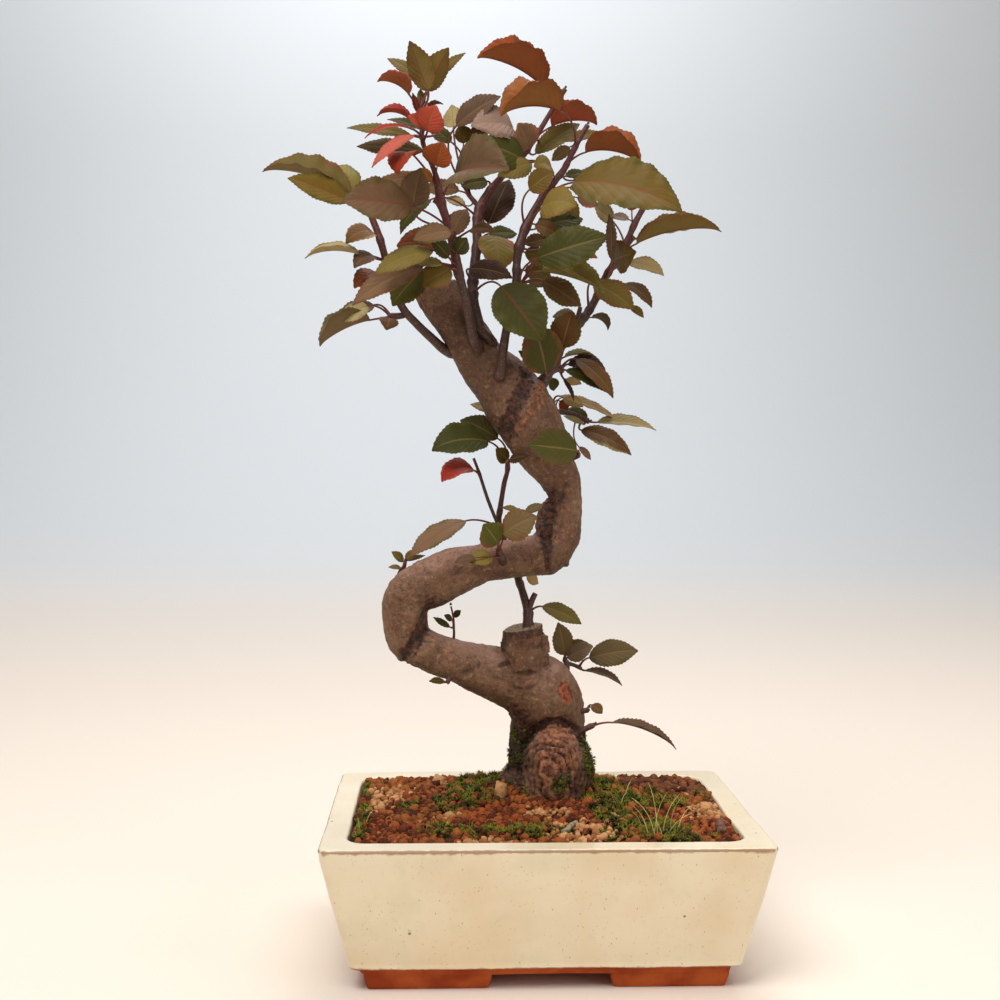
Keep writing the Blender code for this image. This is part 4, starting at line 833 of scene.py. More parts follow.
@dataclass(frozen=True)
class Blade:
    """Fine form that every leaf blade shares, in millimetres and shares of its length."""

    tooth_pitch: float = 1.9
    tooth_depth: float = 0.56
    rows_per_tooth: int = 4
    columns: int = 4
    wide_leaf: float = 13.0
    thick: float = 0.42
    widen: float = 1.1
    widest_power: float = 0.85
    round_power: float = 0.7
    narrow_from: float = 0.62
    narrow_by: float = 0.42
    least_fold: float = 9.0
    fold_width: float = 2.5
    tip_curl: float = 16.0
    ripple: float = 0.055
    ripple_length: float = 9.0
    keel: float = 0.42
    aged: Colour = linear(96, 62, 44)

    def outline(self, t: np.ndarray, width: float, length: float) -> np.ndarray:
        """Half width at shares of the length, with fine teeth that point to the tip."""
        half = np.sin(math.pi * np.clip(t, 0.0, 1.0) ** self.widest_power) ** self.round_power
        half *= 0.5 * width * self.widen
        late = np.clip((t - self.narrow_from) / (1 - self.narrow_from), 0.0, 1.0)
        half *= 1 - self.narrow_by * late * late
        step = np.arange(len(t)) % self.rows_per_tooth
        tooth = step / (self.rows_per_tooth - 1)
        depth = self.tooth_depth * np.clip(half / self.fold_width, 0.15, 1.0)
        depth *= np.clip(t / 0.12, 0.0, 1.0) * min(1.0, length / 16.0)
        return np.maximum(half + depth * (tooth - 0.45), 0.3)

    def rib_line(self, t: np.ndarray, length: float, arch: float) -> tuple[np.ndarray, ...]:
        """Run and rise of the rib and its angle, from base to tip, arched and recurved."""
        turn = math.radians(max(arch, 4.0))
        curl = math.radians(self.tip_curl) * np.clip((t - 0.78) / 0.22, 0.0, 1.0) ** 2
        angle = turn * (0.5 - t) - curl
        middle = (angle[1:] + angle[:-1]) / 2
        steps = np.exp(1j * middle) * np.diff(t)
        line = np.concatenate([[0.0], np.cumsum(steps)])
        fit = length / line[-1]
        line = line * fit
        return line.real, line.imag, angle + np.angle(fit)

    def add(self, skin: Skin, base: Vector, tip: Vector, leaf: Leaf,
            draw: random.Random) -> Vector:
        """Add one blade.

        Args:
            skin: mesh that the blade joins.
            base: start of the blade.
            tip: end of the blade.
            leaf: its bend and colours.
            draw: source of its small irregularities.

        Returns:
            Direction in which the blade leaves its base.
        """
        length, along, up = blade_frame(base, tip, leaf.roll)
        across = along.cross(up)
        teeth = max(6, round(length / self.tooth_pitch))
        count = teeth * self.rows_per_tooth
        t = (np.arange(count) + 0.2) / count
        line_t = np.concatenate([[0.0], t, [1.0]])
        run, rise, angle = self.rib_line(line_t, length, leaf.arch)
        half = self.outline(t, leaf.width, length)
        columns = self.columns + (leaf.width >= self.wide_leaf)
        sweep = draw.uniform(-0.025, 0.025) * length
        twist = math.radians(draw.uniform(-9, 9))
        wave = [draw.uniform(0, 2 * math.pi) for _ in range(2)]
        waves = max(1.0, length / self.ripple_length)
        curl = math.radians(draw.uniform(-10, 24))
        aside = sweep * np.sin(math.pi * line_t) * (0.4 + line_t)
        axes = [np.array(axis) for axis in (along, up, across)]
        rib = (np.array(base) + np.outer(run, axes[0]) + np.outer(rise, axes[1])
               + np.outer(aside, axes[2]))
        normal = np.outer(np.cos(angle), axes[1]) - np.outer(np.sin(angle), axes[0])
        turn = twist * (line_t - 0.3)
        side = np.outer(np.cos(turn), axes[2]) + normal * np.sin(turn)[:, None]
        normal = normal * np.cos(turn)[:, None] - np.outer(np.sin(turn), axes[2])
        middle, normal, side = rib[1:-1], normal[1:-1], side[1:-1]
        bend = math.radians(max(leaf.fold, self.least_fold)) * np.minimum(
            1.0, half / self.fold_width)
        shares = np.linspace(0.0, 1.0, columns + 1)
        keel = self.keel * (1 - 0.75 * t)
        tops, lows = {}, {}
        for index, sign in enumerate((1, -1)):
            out, high = np.zeros(count), np.zeros(count)
            for k in range(columns + 1):
                share = shares[k]
                if k:
                    middle_share = (shares[k] + shares[k - 1]) / 2
                    theta = bend * (1.16 - 0.32 * middle_share) - curl * middle_share ** 2
                    out = out + half * np.cos(theta) / columns
                    high = high + half * np.sin(theta) / columns
                theta = bend * (1.16 - 0.32 * share) - curl * share ** 2
                wavy = (self.ripple * half * share ** 2 * np.sin(
                    2 * math.pi * waves * t + wave[index]) * np.sin(math.pi * t))
                place = middle + side * (sign * out)[:, None] + normal * (high + wavy)[:, None]
                face = (normal * np.cos(theta)[:, None]
                        - side * (sign * np.sin(theta))[:, None])
                thick = 0.5 * self.thick * (1 - share ** 3)
                tops[sign * k] = place + face * thick
                sink = thick + (keel if k == 0 else 0.0)
                lows[sign * k] = place - face * np.reshape(sink, (-1, 1))
        order = [(tops, k) for k in range(-columns, columns + 1)]
        order += [(lows, k) for k in range(columns - 1, -columns, -1)]
        ring_size = len(order)
        points = np.stack([layer[k] for layer, k in order], axis=1)
        blade = np.zeros((count, ring_size, 3))
        seed = draw.random()
        blade[:, :, 0] = [math.copysign(shares[abs(k)], k) for _, k in order]
        blade[:, :, 1] = t[:, None]
        blade[:, :, 2] = seed
        flat = np.concatenate([points.reshape(-1, 3), rib[-1:]])
        carried = np.concatenate([blade.reshape(-1, 3), [[0.0, 1.0, seed]]])
        tone = shifted(linear(*leaf.tone.value), draw, 0.16)
        blush = leaf.blush.value
        second = linear(*blush) if blush else mixed(tone, self.aged, draw.uniform(0.3, 0.9))
        rings = [list(range(r * ring_size, (r + 1) * ring_size)) for r in range(count)]
        upper, under = [], []
        for low, high in zip(rings, rings[1:]):
            for k in range(ring_size):
                after = (k + 1) % ring_size
                face = (low[k], low[after], high[after], high[k])
                (upper if k < 2 * columns else under).append(face)
        end = len(flat) - 1
        for k in range(ring_size):
            face = (rings[-1][k], rings[-1][(k + 1) % ring_size], end)
            (upper if k < 2 * columns else under).append(face)
        under.append(tuple(rings[0]))
        skin.add(flat, upper + under, [0] * len(upper) + [1] * len(under), tone=tone,
                 blush=second, rib=linear(*leaf.rib.value), blade=carried)
        return along * math.cos(angle[0]) + up * math.sin(angle[0])


def shifted(colour: Colour, draw: random.Random, share: float) -> Colour:
    """Colour made a little lighter or darker and warmer or cooler."""
    light = 1 + draw.uniform(-share, share)
    warm = draw.uniform(-share, share) * 0.5
    return (colour[0] * light * (1 + warm), colour[1] * light, colour[2] * light * (1 - warm))


def blade_frame(base: Vector, tip: Vector, roll: float) -> tuple[float, Vector, Vector]:
    """Length, direction and upward side of a blade, from how it turns to the eye."""
    chord = tip - base
    length = chord.length
    along = chord / length
    to_eye = (EYE - (base + tip) / 2).normalized()
    facing = (to_eye - along * to_eye.dot(along)).normalized()
    edge_on = along.cross(facing)
    if edge_on.z < 0:
        edge_on = -edge_on
    turn = math.radians(roll)
    return length, along, edge_on * math.cos(turn) + facing * math.sin(turn)


@dataclass
class Foliage:
    """Builder of leafy shoots on the trunk."""

    surface: BVHTree
    blade: Blade = field(default_factory=Blade)
    sunk: float = 3.0
    clear: float = 2.6
    twig_end: float = 1.5
    depth_weight: float = 0.4
    root_drop: float = 3.0
    stalk_lead: float = 0.45
    stalk_radius: float = 0.56
    twig_sides: int = 12
    stalk_sides: int = 8
    twig_step: float = 1.4
    node_swell: float = 0.24
    bark_tone: Colour = linear(68, 42, 32)
    young_tone: Colour = linear(86, 30, 26)
    stalk_tone: Colour = linear(104, 34, 30)
    stalk_green: Colour = linear(108, 84, 40)

    def route(self, shoot: Shoot, index: int) -> tuple[list[Vector], list[float]]:
        """Points and radii of a twig; the first one's start is sunk into the trunk."""
        rows = shoot.twigs[index]
        points = [in_crown(x, z, y, shoot.lean) for x, z, y, _ in rows]
        radii = [row[3] for row in rows]
        if index == 0:
            place, normal, _, _ = self.surface.find_nearest(points[0])
            out = (normal * 0.45 + (points[1] - place).normalized()).normalized()
            points[0:1] = [place - out * self.sunk, place + out * self.clear]
            radii.insert(0, radii[0])
        return points, radii

    def nearest(self, routes: list, target: Vector) -> Vector:
        """Place on the twigs closest to a target, short of their very ends."""
        best_away, best = math.inf, target
        for points, _ in routes:
            end = points[-1]
            shorter = points[:-1] + [end + (points[-2] - end).normalized() * self.twig_end]
            for a, b in zip(shorter, shorter[1:]):
                parts = max(2, int((b - a).length))
                for k in range(parts + 1):
                    place = a.lerp(b, k / parts)
                    off = place - target
                    away = math.hypot(off.x, self.depth_weight * off.y, off.z)
                    if away < best_away:
                        best_away, best = away, place
        return best

    def add_twig(self, skin: Skin, route: tuple, roots: list[Vector], young: float,
                 first: bool, draw: random.Random) -> None:
        """Add a twig with swollen nodes, brown at its foot and red where it is young."""
        points, radii = smooth_route(*route, self.twig_step)
        span = [0.0]
        for a, b in zip(points, points[1:]):
            span.append(span[-1] + (b - a).length)
        sizes, tones = [], []
        start_young = 1 - young
        for point, radius, place in zip(points, radii, span):
            near = max((max(0.0, 1 - (point - root).length / 2.4) for root in roots), default=0.0)
            collar = 0.3 * math.exp(-max(0.0, place - 2.4) / 1.6) if first else 0.0
            knobbly = 0.05 * noise.noise(Vector((place * 0.35, radius, 3.0)))
            sizes.append(radius * (1 + self.node_swell * near + collar + knobbly))
            share = place / max(span[-1], 1e-6)
            redness = held((share - start_young + 0.15) / 0.3)
            tones.append(mixed(self.bark_tone, self.young_tone, redness))
        made, faces = tube(points, sizes, self.twig_sides)
        sides = self.twig_sides
        angles = 2 * math.pi * np.arange(sides) / sides
        grain = np.zeros((len(points), sides, 3))
        grain[:, :, 0] = np.outer(sizes, np.cos(angles))
        grain[:, :, 1] = np.outer(sizes, np.sin(angles))
        grain[:, :, 2] = np.reshape(span, (-1, 1)) + draw.uniform(0, 90)
        skin.add(made, faces, 2, tone=np.repeat(tones, sides, axis=0),
                 grain_place=grain.reshape(-1, 3))

    def add_stalk(self, skin: Skin, root: Vector, start: Vector, heading: Vector,
                  length: float, draw: random.Random) -> None:
        """Add a leaf stalk with a swollen foot, from the twig to the blade."""
        reach = (start - root).length
        lead = start - heading * self.stalk_lead * reach
        parts = max(4, round(reach / 1.3))
        width = self.stalk_radius * (1.0 if length > 12 else 0.72)
        points, radii, tones = [], [], []
        green = draw.uniform(0.0, 0.6)
        for k in range(parts + 1):
            t = k / parts
            points.append(root * (1 - t) ** 2 + lead * 2 * t * (1 - t) + start * t * t)
            radii.append(width * (1 - 0.18 * t + 0.7 * math.exp(-t * reach / 1.5)))
            tones.append(mixed(self.stalk_tone, self.stalk_green, green * t))
        points.append(points[-1] + heading * min(1.6, 0.1 * length))
        radii.append(width * 0.5)
        tones.append(tones[-1])
        made, faces = tube(points, radii, self.stalk_sides)
        span = np.repeat(np.arange(len(points)) * 1.3, self.stalk_sides)
        grain = np.stack([np.tile(np.cos(np.arange(self.stalk_sides)), len(points)),
                          np.tile(np.sin(np.arange(self.stalk_sides)), len(points)), span], 1)
        skin.add(made, faces, 2, tone=np.repeat(tones, self.stalk_sides, axis=0),
                 grain_place=grain)

    def add_bud(self, skin: Skin, root: Vector, heading: Vector, size: float,
                draw: random.Random) -> None:
        """Add a small pointed bud in the angle of a stalk."""
        way = (heading + Vector((0.0, 0.0, 1.3))).normalized()
        profile = ((0.0, 0.55), (0.35, 0.8), (0.75, 0.75), (1.2, 0.5), (1.6, 0.12))
        points = [root + way * (0.6 + rise) * size for rise, _ in profile]
        radii = [wide * size for _, wide in profile]
        made, faces = tube(points, radii, 7)
        tone = shifted(mixed(self.young_tone, self.bark_tone, draw.random() * 0.5), draw, 0.2)
        skin.add(made, faces, 2, tone=tone, grain_place=made * 0.7)

    def grow(self, shoot: Shoot, finishes: list[bpy.types.Material]) -> bpy.types.Object:
        """Build one shoot and put it for its CAD node."""
        draw = random.Random(shoot.name)
        skin = Skin("tone", "blush", "rib", "blade", "grain_place")
        routes = [self.route(shoot, k) for k in range(len(shoot.twigs))]
        roots, stalks = [], []
        for leaf in shoot.leaves:
            base, tip = in_crown(*leaf.base, shoot.lean), in_crown(*leaf.tip, shoot.lean)
            if leaf.root:
                target = in_crown(*leaf.root, leaf.base[2], shoot.lean)
            else:
                target = base - Vector((0.0, 0.0, self.root_drop))
            root = self.nearest(routes, target)
            heading = self.blade.add(skin, base, tip, leaf, draw)
            roots.append(root)
            stalks.append((root, base, heading, (tip - base).length))
        for index, route in enumerate(routes):
            self.add_twig(skin, route, roots, shoot.young, index == 0, draw)
        for root, base, heading, length in stalks:
            self.add_stalk(skin, root, base, heading, length, draw)
            if length > 12:
                self.add_bud(skin, root, (base - root).normalized(), draw.uniform(0.75, 1.1), draw)
        end, before = routes[0][0][-1], routes[0][0][-2]
        self.add_bud(skin, end, (end - before).normalized(), 0.9, draw)
        return placed(skin.build(f"fine_{shoot.name}", *finishes), shoot.name, shoot.name)


# Shoots as they stand on the front sheet. A twig is a list of x, z, depth and radius.
# A leaf is its colours, the x, z and depth of its blade's base and tip, its width, arch,
# roll and fold and, if it isn't the nearest place, the x and z where its stalk starts.
SHOOTS = (
    Shoot("shoot_left", young=0.35, twigs=(
        ((-46, 300, 2, 2.6), (-55, 305.5, -2, 2.3), (-63, 313, -4, 2.1), (-70, 321, -6, 2),
         (-75, 333, -8, 1.9), (-79, 347, -8, 1.8), (-82, 357, -7, 1.8), (-86, 367, -6, 1.6),
         (-89, 375, -6, 1.1)),
        ((-69, 317, -5, 1.4), (-73, 316.5, -6, 1.8), (-77, 316, -7, 1.6)),
    ), leaves=(
        leaf("MAUVE GREEN", -86, 314.5, -8, -111, 301, -14, 20, 30, 5, 58),
        leaf("GREY_OLIVE MAUVE", -84, 322, -3, -104, 311, -7, 12, 30, 45, 15, -76, 316),
        leaf("CREAM", -87, 321.5, -9, -100, 313, -12, 10, 45, 55, 15, -76, 316),
        leaf("RUST DARK", -81, 336, -4, -94, 330, -8, 12, 100, 40, 0),
        leaf("MAUVE_BROWN", -84, 346, -10, -94, 340, -14, 10, 90, 45, 0),
        leaf("CREAM RUST", -91, 347, -12, -118.5, 344.5, -14, 10, 45, 15, 45, -79, 345),
        leaf("BROWN CREAM", -84, 357, -9, -98, 352, -13, 11, 110, 45, 0),
        leaf("OLIVE RUST RED", -96, 377, -5, -139.5, 387, -2, 22, 42, 20, 35),
        leaf("OLIVE GREEN RED", -97, 373, -10, -127, 384, -13, 13, 12, 62, 15),
        leaf("LIGHT_OLIVE GREEN", -93, 378, -2, -108, 389, 5, 14, 70, 40, 10),
        leaf("BROWN", -76.5, 315.5, -9, -78, 309.5, -16, 9, 60, 90, 0),
        leaf("OLIVE", -95, 376, 2, -118, 383, 16, 12, 30, 40, 15, -88, 372),
    )),
    Shoot("shoot_front", young=0.55, twigs=(
        ((-33, 300, -7, 2.6), (-34.5, 306, -14, 2.4), (-37, 318, -15.5, 2.2),
         (-40, 331, -16, 2.1), (-43, 342, -16, 2.2), (-45, 354, -17, 2), (-48, 364, -18, 2),
         (-51, 373, -19, 2.2), (-52.5, 381, -20, 1.5), (-54.5, 389, -21, 1.3),
         (-57.5, 396, -22, 1.1), (-60, 402, -23, 1), (-61, 410, -23, 0.9), (-62, 418, -23, 0.8)),
        ((-50.5, 372, -19, 1.6), (-54.5, 374.5, -19, 1.4)),
    ), leaves=(
        leaf("MAUVE GREEN RED", -66, 371, -24, -100, 373, -31, 22, 20, 55, 10, -50, 361),
        leaf("MAUVE", -65, 371.5, -21, -61, 390, -26, 14, 20, 70, 0, -50, 361),
        leaf("BROWN RUST", -58, 386, -18, -87, 379.5, -15, 9, 20, 45, 0),
        leaf("YELLOW_OLIVE", -55, 349.5, -24, -84, 337, -30, 11, 38, 55, 0, -44, 347),
        leaf("MAUVE RUST", -60, 341.5, -20, -95, 321.5, -28, 13, 25, 55, 18, -43, 340),
        leaf("GREEN", -60, 339.5, -15, -75, 321.5, -18, 16, 25, 62, 0, -42, 338),
        leaf("MAUVE GREEN", -46, 359, -23, -65, 354, -27, 11, 30, 52, 0),
        leaf("MAUVE", -45, 357, -19, -38, 370, -17, 11, 50, 60, 0),
        leaf("OLIVE DARK", -43, 386, -12, -24, 396, -8, 13, 25, 60, 10, -50, 374),
        leaf("RUST DARK", -53, 352, -17, -73, 351.5, -15, 15, 45, 60, 0, -45, 351),
        leaf("DARK_GREEN", -47, 346, -22, -57, 356.5, -25, 8, 20, 60, 0),
        leaf("DARK_GREEN", -43, 348, -20, -38, 356, -21, 9, 20, 62, 0),
        leaf("LIGHT_OLIVE CREAM", -50, 343, -20, -66, 343.5, -21, 6, 20, 50, 0),
        leaf("OLIVE RUST", -46, 340, -21, -60, 331, -24, 13, 30, 60, 0),
        leaf("MAUVE GREEN RED", -44, 387, -22, -17, 389.5, -42, 29, 35, 50, 32, -50, 374),
        leaf("YELLOW_BROWN", -55.5, 383.5, -22, -62, 390, -24, 5, 20, 60, 0),
        leaf("BROWN", -36.5, 359.5, -20, -24, 359, -24, 7, 60, 45, 0, -44, 355),
        leaf("OLIVE RUST RED", -58, 428, -24, -67, 452.5, -27, 12, 22, -70, 16, -61, 418),
        leaf("OLIVE RUST RED", -58, 428, -24, -47.5, 449.5, -25, 12, 22, -70, 16, -61, 418),
        leaf("OLIVE RUST", -60, 432, -20, -78, 443.5, -17, 8, 20, 45, 0, -61, 418),
        leaf("OLIVE", -55, 433, -20, -39, 447, -18, 6, 20, 45, 0, -61, 418),
        leaf("RUST PINK", -67, 426, -23, -83, 432, -24, 14, 60, 5, 50, -62, 417),
        leaf("DARK_RED PINK", -62.5, 417, -24, -65.5, 427, -24, 3.4, 10, 62, 0),
        leaf("OLIVE", -61, 420, -21, -61.5, 429, -19, 4, 10, 70, 0),
        leaf("DARK_RED", -58, 418.5, -22, -50, 421.5, -21, 5, 70, 15, 35),
        leaf("CORAL", -58, 408, -27, -53.5, 421, -31, 14, 30, 70, 12),
        leaf("CORAL", -60, 411.5, -26, -68, 415.5, -29, 6, 30, 55, 0),
        leaf("RED RUST", -66, 413.5, -22, -83, 415, -22, 9, 80, 15, 40),
        leaf("RED PINK", -65, 409, -25, -89, 404, -29, 4, 70, 25, 15),
        leaf("PINK", -64.5, 406, -28, -85.5, 389.5, -35, 7, 50, 44, 0),
        leaf("RED_ORANGE RUST", -64.5, 396, -27, -72.5, 386.5, -33, 14, 125, 35, 0, -53, 383),
        leaf("ORANGE RUST", -53, 391, -25, -50, 403, -28, 15, 20, 68, 22, -52, 380),
        leaf("OLIVE", -66, 406, -15, -98, 409, -14, 7, 25, 45, 0, -60, 402),
        leaf("DARK_OLIVE", -60, 398.5, -12, -93, 400, -10, 10, 15, 52, 0, -57, 395),
        leaf("DARK_GREEN", -57, 408.5, -14, -78, 413.5, -11, 5, 20, 45, 0, -60, 402),
    )),
    Shoot("shoot_middle", lean=22.0, young=0.6, twigs=(
        ((-28, 303, -4, 2.4), (-30, 309, -11, 2.3), (-32.5, 317, -10, 2.3), (-35, 327, -8, 2.7),
         (-34.5, 339, -4, 2.5), (-33, 352, 0, 2.3), (-33, 363, 2, 2.4), (-31.5, 371, 3, 2.5),
         (-27, 379, 4, 2), (-20, 387, 2, 1.7), (-13, 394, 1, 1.5), (-8, 400, 0, 1.4),
         (-2, 409.5, 0, 1.4), (4, 419.5, 0, 1.3), (10.5, 430, 0, 1.3)),
        ((-32, 371, 3, 1.3), (-38, 378, 3, 0.9)),
    ), leaves=(
        leaf("ORANGE RUST RED", -1, 431, 2, -33.5, 444.5, -10, 29, 35, 5, 62, 7, 425),
        leaf("RED_ORANGE RUST", 4, 411.5, 3, 26.5, 412.5, 6, 22, 45, 8, 58, -4, 404),
        leaf("OLIVE RUST", -4, 398, 4, 18, 413, 10, 11, 15, 62, 15),
        leaf("OLIVE", 8, 404.5, 12, 29, 409, 16, 7, 15, 50, 0, -6, 402),
        leaf("GREEN DARK", -9, 394, -6, -34, 402.5, -15, 16, 30, 60, 8, -12, 396),
        leaf("YELLOW_OLIVE", -6, 393.5, -8, -23, 386.5, -10, 12, 20, 60, 0),
        leaf("BROWN", -8, 393, -1, -20, 392, -3, 7, 20, 50, 0),
        leaf("PALE_MAUVE MAUVE", -15, 409, -4, -36.5, 411, -11, 18, 90, 50, 0, -9, 399),
        leaf("MAUVE_BROWN", -43.5, 411, -5, -21.5, 426, -8, 14, 30, 45, 22, -38, 378),
        leaf("CREAM MAUVE", -45, 410.5, -1, -46, 421.5, 2, 11, 20, -70, 0, -38, 378),
        leaf("DARK_GREEN", -46, 403, -1, -57, 410, 0, 8, 20, 60, 0, -38, 378),
        leaf("OLIVE RUST", -40, 402.5, -3, -41, 412, -4, 10, 30, 62, 0, -37, 377),
        leaf("BROWN RUST", -36, 403, -5, -27.5, 410.5, -7, 10, 30, 62, 0, -36, 376),
        leaf("MAUVE PINK", -7, 400.5, -4, -13, 413, -9, 15, 15, 65, 15),
        leaf("DARK_GREEN GREEN RED", -21, 332, -20, 0.5, 304.5, -30, 24, 25, 72, 0, -34.5, 331),
        leaf("DARK_BROWN", -27, 363, 9, -17, 385, 12, 17, 10, 65, 0, -32, 369),
        leaf("LIGHT_OLIVE PINK", -25, 357, -3, -22, 339, -8, 19, 50, 65, 0, -33, 350),
        leaf("DARK_BROWN", -37, 340.5, -11, -15, 336, -18, 12, 40, 55, 0, -34.5, 336),
        leaf("GREEN DARK", -27, 358, -3, -13, 358, 4, 8, 20, 50, 0, -33, 352),
        leaf("BROWN", -42, 379, 7, -60, 380.5, 12, 9, 20, 60, 0),
        leaf("CREAM", -39, 372, 7, -49, 375.5, 9, 6, 20, 50, 0),
        leaf("GREEN", -56, 374.5, -3, -71, 357, 1, 9, 60, 45, 0, -34, 368),
        leaf("DARK_GREEN", -28, 384, 3, -41, 381, 1, 9, 20, 60, 0),
        leaf("DARK_OLIVE", -27, 368, 14, -19, 380, 20, 12, 20, 60, 0, -32, 366),
    )),
    Shoot("shoot_right", young=0.45, twigs=(
        ((-21, 289, -11, 2.5), (-20, 296, -13, 2.3), (-19, 304, -13, 2.2), (-17.5, 313, -12, 2),
         (-15, 324, -9, 1.9), (-13.3, 335, -6, 2.0), (-13, 344, -4, 2), (-12, 351, -3, 2.3),
         (-10, 358, -2, 2.2), (-7.5, 364, -1, 2.2), (-4, 370.5, 0, 2), (0.5, 378, 1, 1.8),
         (6, 385, 2, 1.6), (10, 390, 3, 1.5), (14, 398, 4, 1.4), (18, 406, 5, 1.4),
         (22, 412.5, 5, 1.3)),
        ((-13.3, 332, -6, 1.4), (-10, 333, -8, 1.2)),
    ), leaves=(
        leaf("YELLOW_BROWN RUST RED", 8, 419, -6, -21.5, 416, -14, 30, 45, 5, 58, 18, 406),
        leaf("ORANGE RUST RED", 21, 399, 4, 48.5, 393.5, 0, 25, 50, 8, 58, 13, 392),
        leaf("GREY_OLIVE", 13, 401.5, 9, 4, 394.5, 11, 7, 20, -60, 0),
        leaf("YELLOW_OLIVE", 4, 391, -3, -5, 391.5, -5, 11, 100, 45, 0),
        leaf("OLIVE RUST", -7, 380, -6, 5.5, 389, -9, 12, 20, 62, 0, -8, 363),
        leaf("YELLOW_OLIVE RUST", -1, 371, -9, 17, 372, -15, 18, 75, 50, 0, -8, 362),
        leaf("OLIVE", 11, 376, 6, 18, 366, 8, 7, 30, 55, 0),
        leaf("MAUVE PINK", 17, 376.5, 8, 27.5, 373, 10, 8, 20, 60, 0, 3, 381),
        leaf("OLIVE GREEN RED", 15, 384, -6, 70, 370, -20, 30, 52, 50, 12, 2, 379),
        leaf("YELLOW_OLIVE GREEN", 13, 381.5, -1, 40, 378.5, -5, 10, 15, 48, 0, 1, 379),
        leaf("GREEN", 11, 387, 8, 22, 389, 12, 6, 15, 50, 0, 7, 386),
        leaf("DARK_GREEN GREEN", -3, 346, -19, 33, 357.5, -24, 19, 20, 65, 0, -10, 333),
        leaf("GREEN DARK", -3, 361, 5, 20, 366, 10, 15, 25, 52, 10),
        leaf("BROWN GREEN", -4, 363, -4, 8, 358, -5, 8, 15, 60, 0),
        leaf("RUST", 12, 351.5, -13, 27.5, 346.5, -16, 7, 20, 55, 0, -10, 333),
        leaf("YELLOW_OLIVE GREEN RED", -1, 339.5, -10, 31, 329, -14, 21, 28, 25, 42, -10, 333),
        leaf("BROWN GREEN", 0, 335, -7, 19.5, 322.5, -7, 13, 20, 60, 0, -10, 333),
        leaf("OLIVE RUST", -9, 349, 3, 3, 344, 7, 10, 20, 60, 0, -12.5, 349),
        leaf("BROWN", -9, 353, 2, 4, 356, 6, 8, 20, 55, 0),
        leaf("BROWN DARK", -7, 334, -3, 2, 333.5, -1, 6, 20, 55, 0, -12, 332),
        leaf("OLIVE RUST", -9, 340, 6, 5, 336, 11, 11, 20, 58, 0, -13.3, 337),
        leaf("DARK_OLIVE", 1, 352, 5, 22, 360, 14, 13, 25, 50, 10, -12, 350),
        leaf("OLIVE", 15, 385, 11, 42, 382, 22, 13, 30, 40, 15, 7, 387),
    )),
    Shoot("shoot_far_right", lean=14.0, young=0.5, twigs=(
        ((3, 287, -2, 2.6), (6, 294, -3, 2.3), (9, 301, -3, 2.2), (13, 307, -2, 2.2),
         (17, 312, 0, 2.1), (21, 317, 2, 2.1), (25, 323, 4, 2), (28, 329, 5, 1.9),
         (31, 336, 6, 1.9), (35, 343, 6, 1.8), (39, 350, 6, 1.7), (43, 357, 6, 1.6),
         (46, 364, 6, 1.6), (52, 375, 6, 1.4)),
        ((6, 293, -3, 1.6), (9, 291, 2, 1.5), (10, 290, 7, 1.2)),
        ((17, 313, 0, 1.4), (19, 322, 0, 1.1)),
        ((42, 353, 6, 1.2), (46, 357.5, 5, 1.1)),
    ), leaves=(
        leaf("OLIVE RUST RED", 47, 354, 9, 90, 360.5, 7, 19, 35, 5, 55, 38, 348),
        leaf("RUST", 44.5, 370.5, 5, 44, 379, 3, 8, 20, 62, 0, 45, 363),
        leaf("BROWN GREEN", 10, 302, -9, 15, 320, -13, 15, 25, 75, 0),
        leaf("GREY_OLIVE", 17, 317, 7, 5, 317, 10, 8, 50, 45, 0),
        leaf("DARK_OLIVE", 25, 317, 3, 33, 310.5, 2, 9, 80, 15, 35, 21, 317),
        leaf("MAUVE_BROWN", 34.5, 346, 1, 33, 369, -4, 6, 20, 60, 0, 30, 333),
        leaf("OLIVE RUST", 36, 346, -2, 47, 350, -16, 15, 20, 80, 0, 31, 336),
        leaf("CREAM", 43, 344, 6, 61, 338, 4, 10, 60, 42, 0, 33, 339),
        leaf("CREAM GREEN", 35, 365, 12, 25, 374, 16, 9, 15, -62, 0, 40, 352),
        leaf("PALE_MAUVE", 43, 366, 9, 34, 368, 12, 5, 20, 50, 0),
        leaf("OLIVE RUST", 26, 334, -2, 46, 321, -6, 14, 20, 58, 0, 24, 322),
        leaf("BROWN RUST", 41, 334, 3, 55, 322, 1, 9, 60, 40, 0, 28, 329),
        leaf("OLIVE", 44, 323, 8, 51, 317, 8, 5, 20, 50, 0, 27, 327),
        leaf("DARK_GREEN RUST", 2, 289, -12, -6, 314, -18, 20, 30, 70, 0, 6, 293),
        leaf("GREEN", 0, 290, -9, -12, 300, -11, 8, 15, 50, 0, 5, 292),
        leaf("GREEN", 5, 286.5, 6, 6, 280, 9, 6, 10, 60, 0, 9, 291),
        leaf("YELLOW_OLIVE", 11, 297, 9, 28, 296.5, 10, 8, 45, 15, 30, 10, 290),
        leaf("DARK_BROWN", 13, 293.5, 5, 32, 291, 3, 12, 45, 35, 0, 9, 291),
        leaf("BROWN RUST", 17, 296, 1, 36, 276.5, -6, 11, 50, 45, 0, 9, 291),
        leaf("DARK_GREEN", 12, 290.5, -1, 33.5, 279, -2, 9, 40, 45, 0, 9, 291),
        leaf("OLIVE", 50, 358, 12, 80, 362, 22, 12, 30, 35, 10, 42, 352),
        leaf("CREAM", 12, 286, 11, 20, 283.5, 13, 6, 15, -50, 0, 10, 290),
        leaf("DARK_BROWN", 11, 286, 2, 16, 275, 0, 4, 30, 35, 0, 9, 291),
    )),
    Shoot("shoot_rear", twigs=(
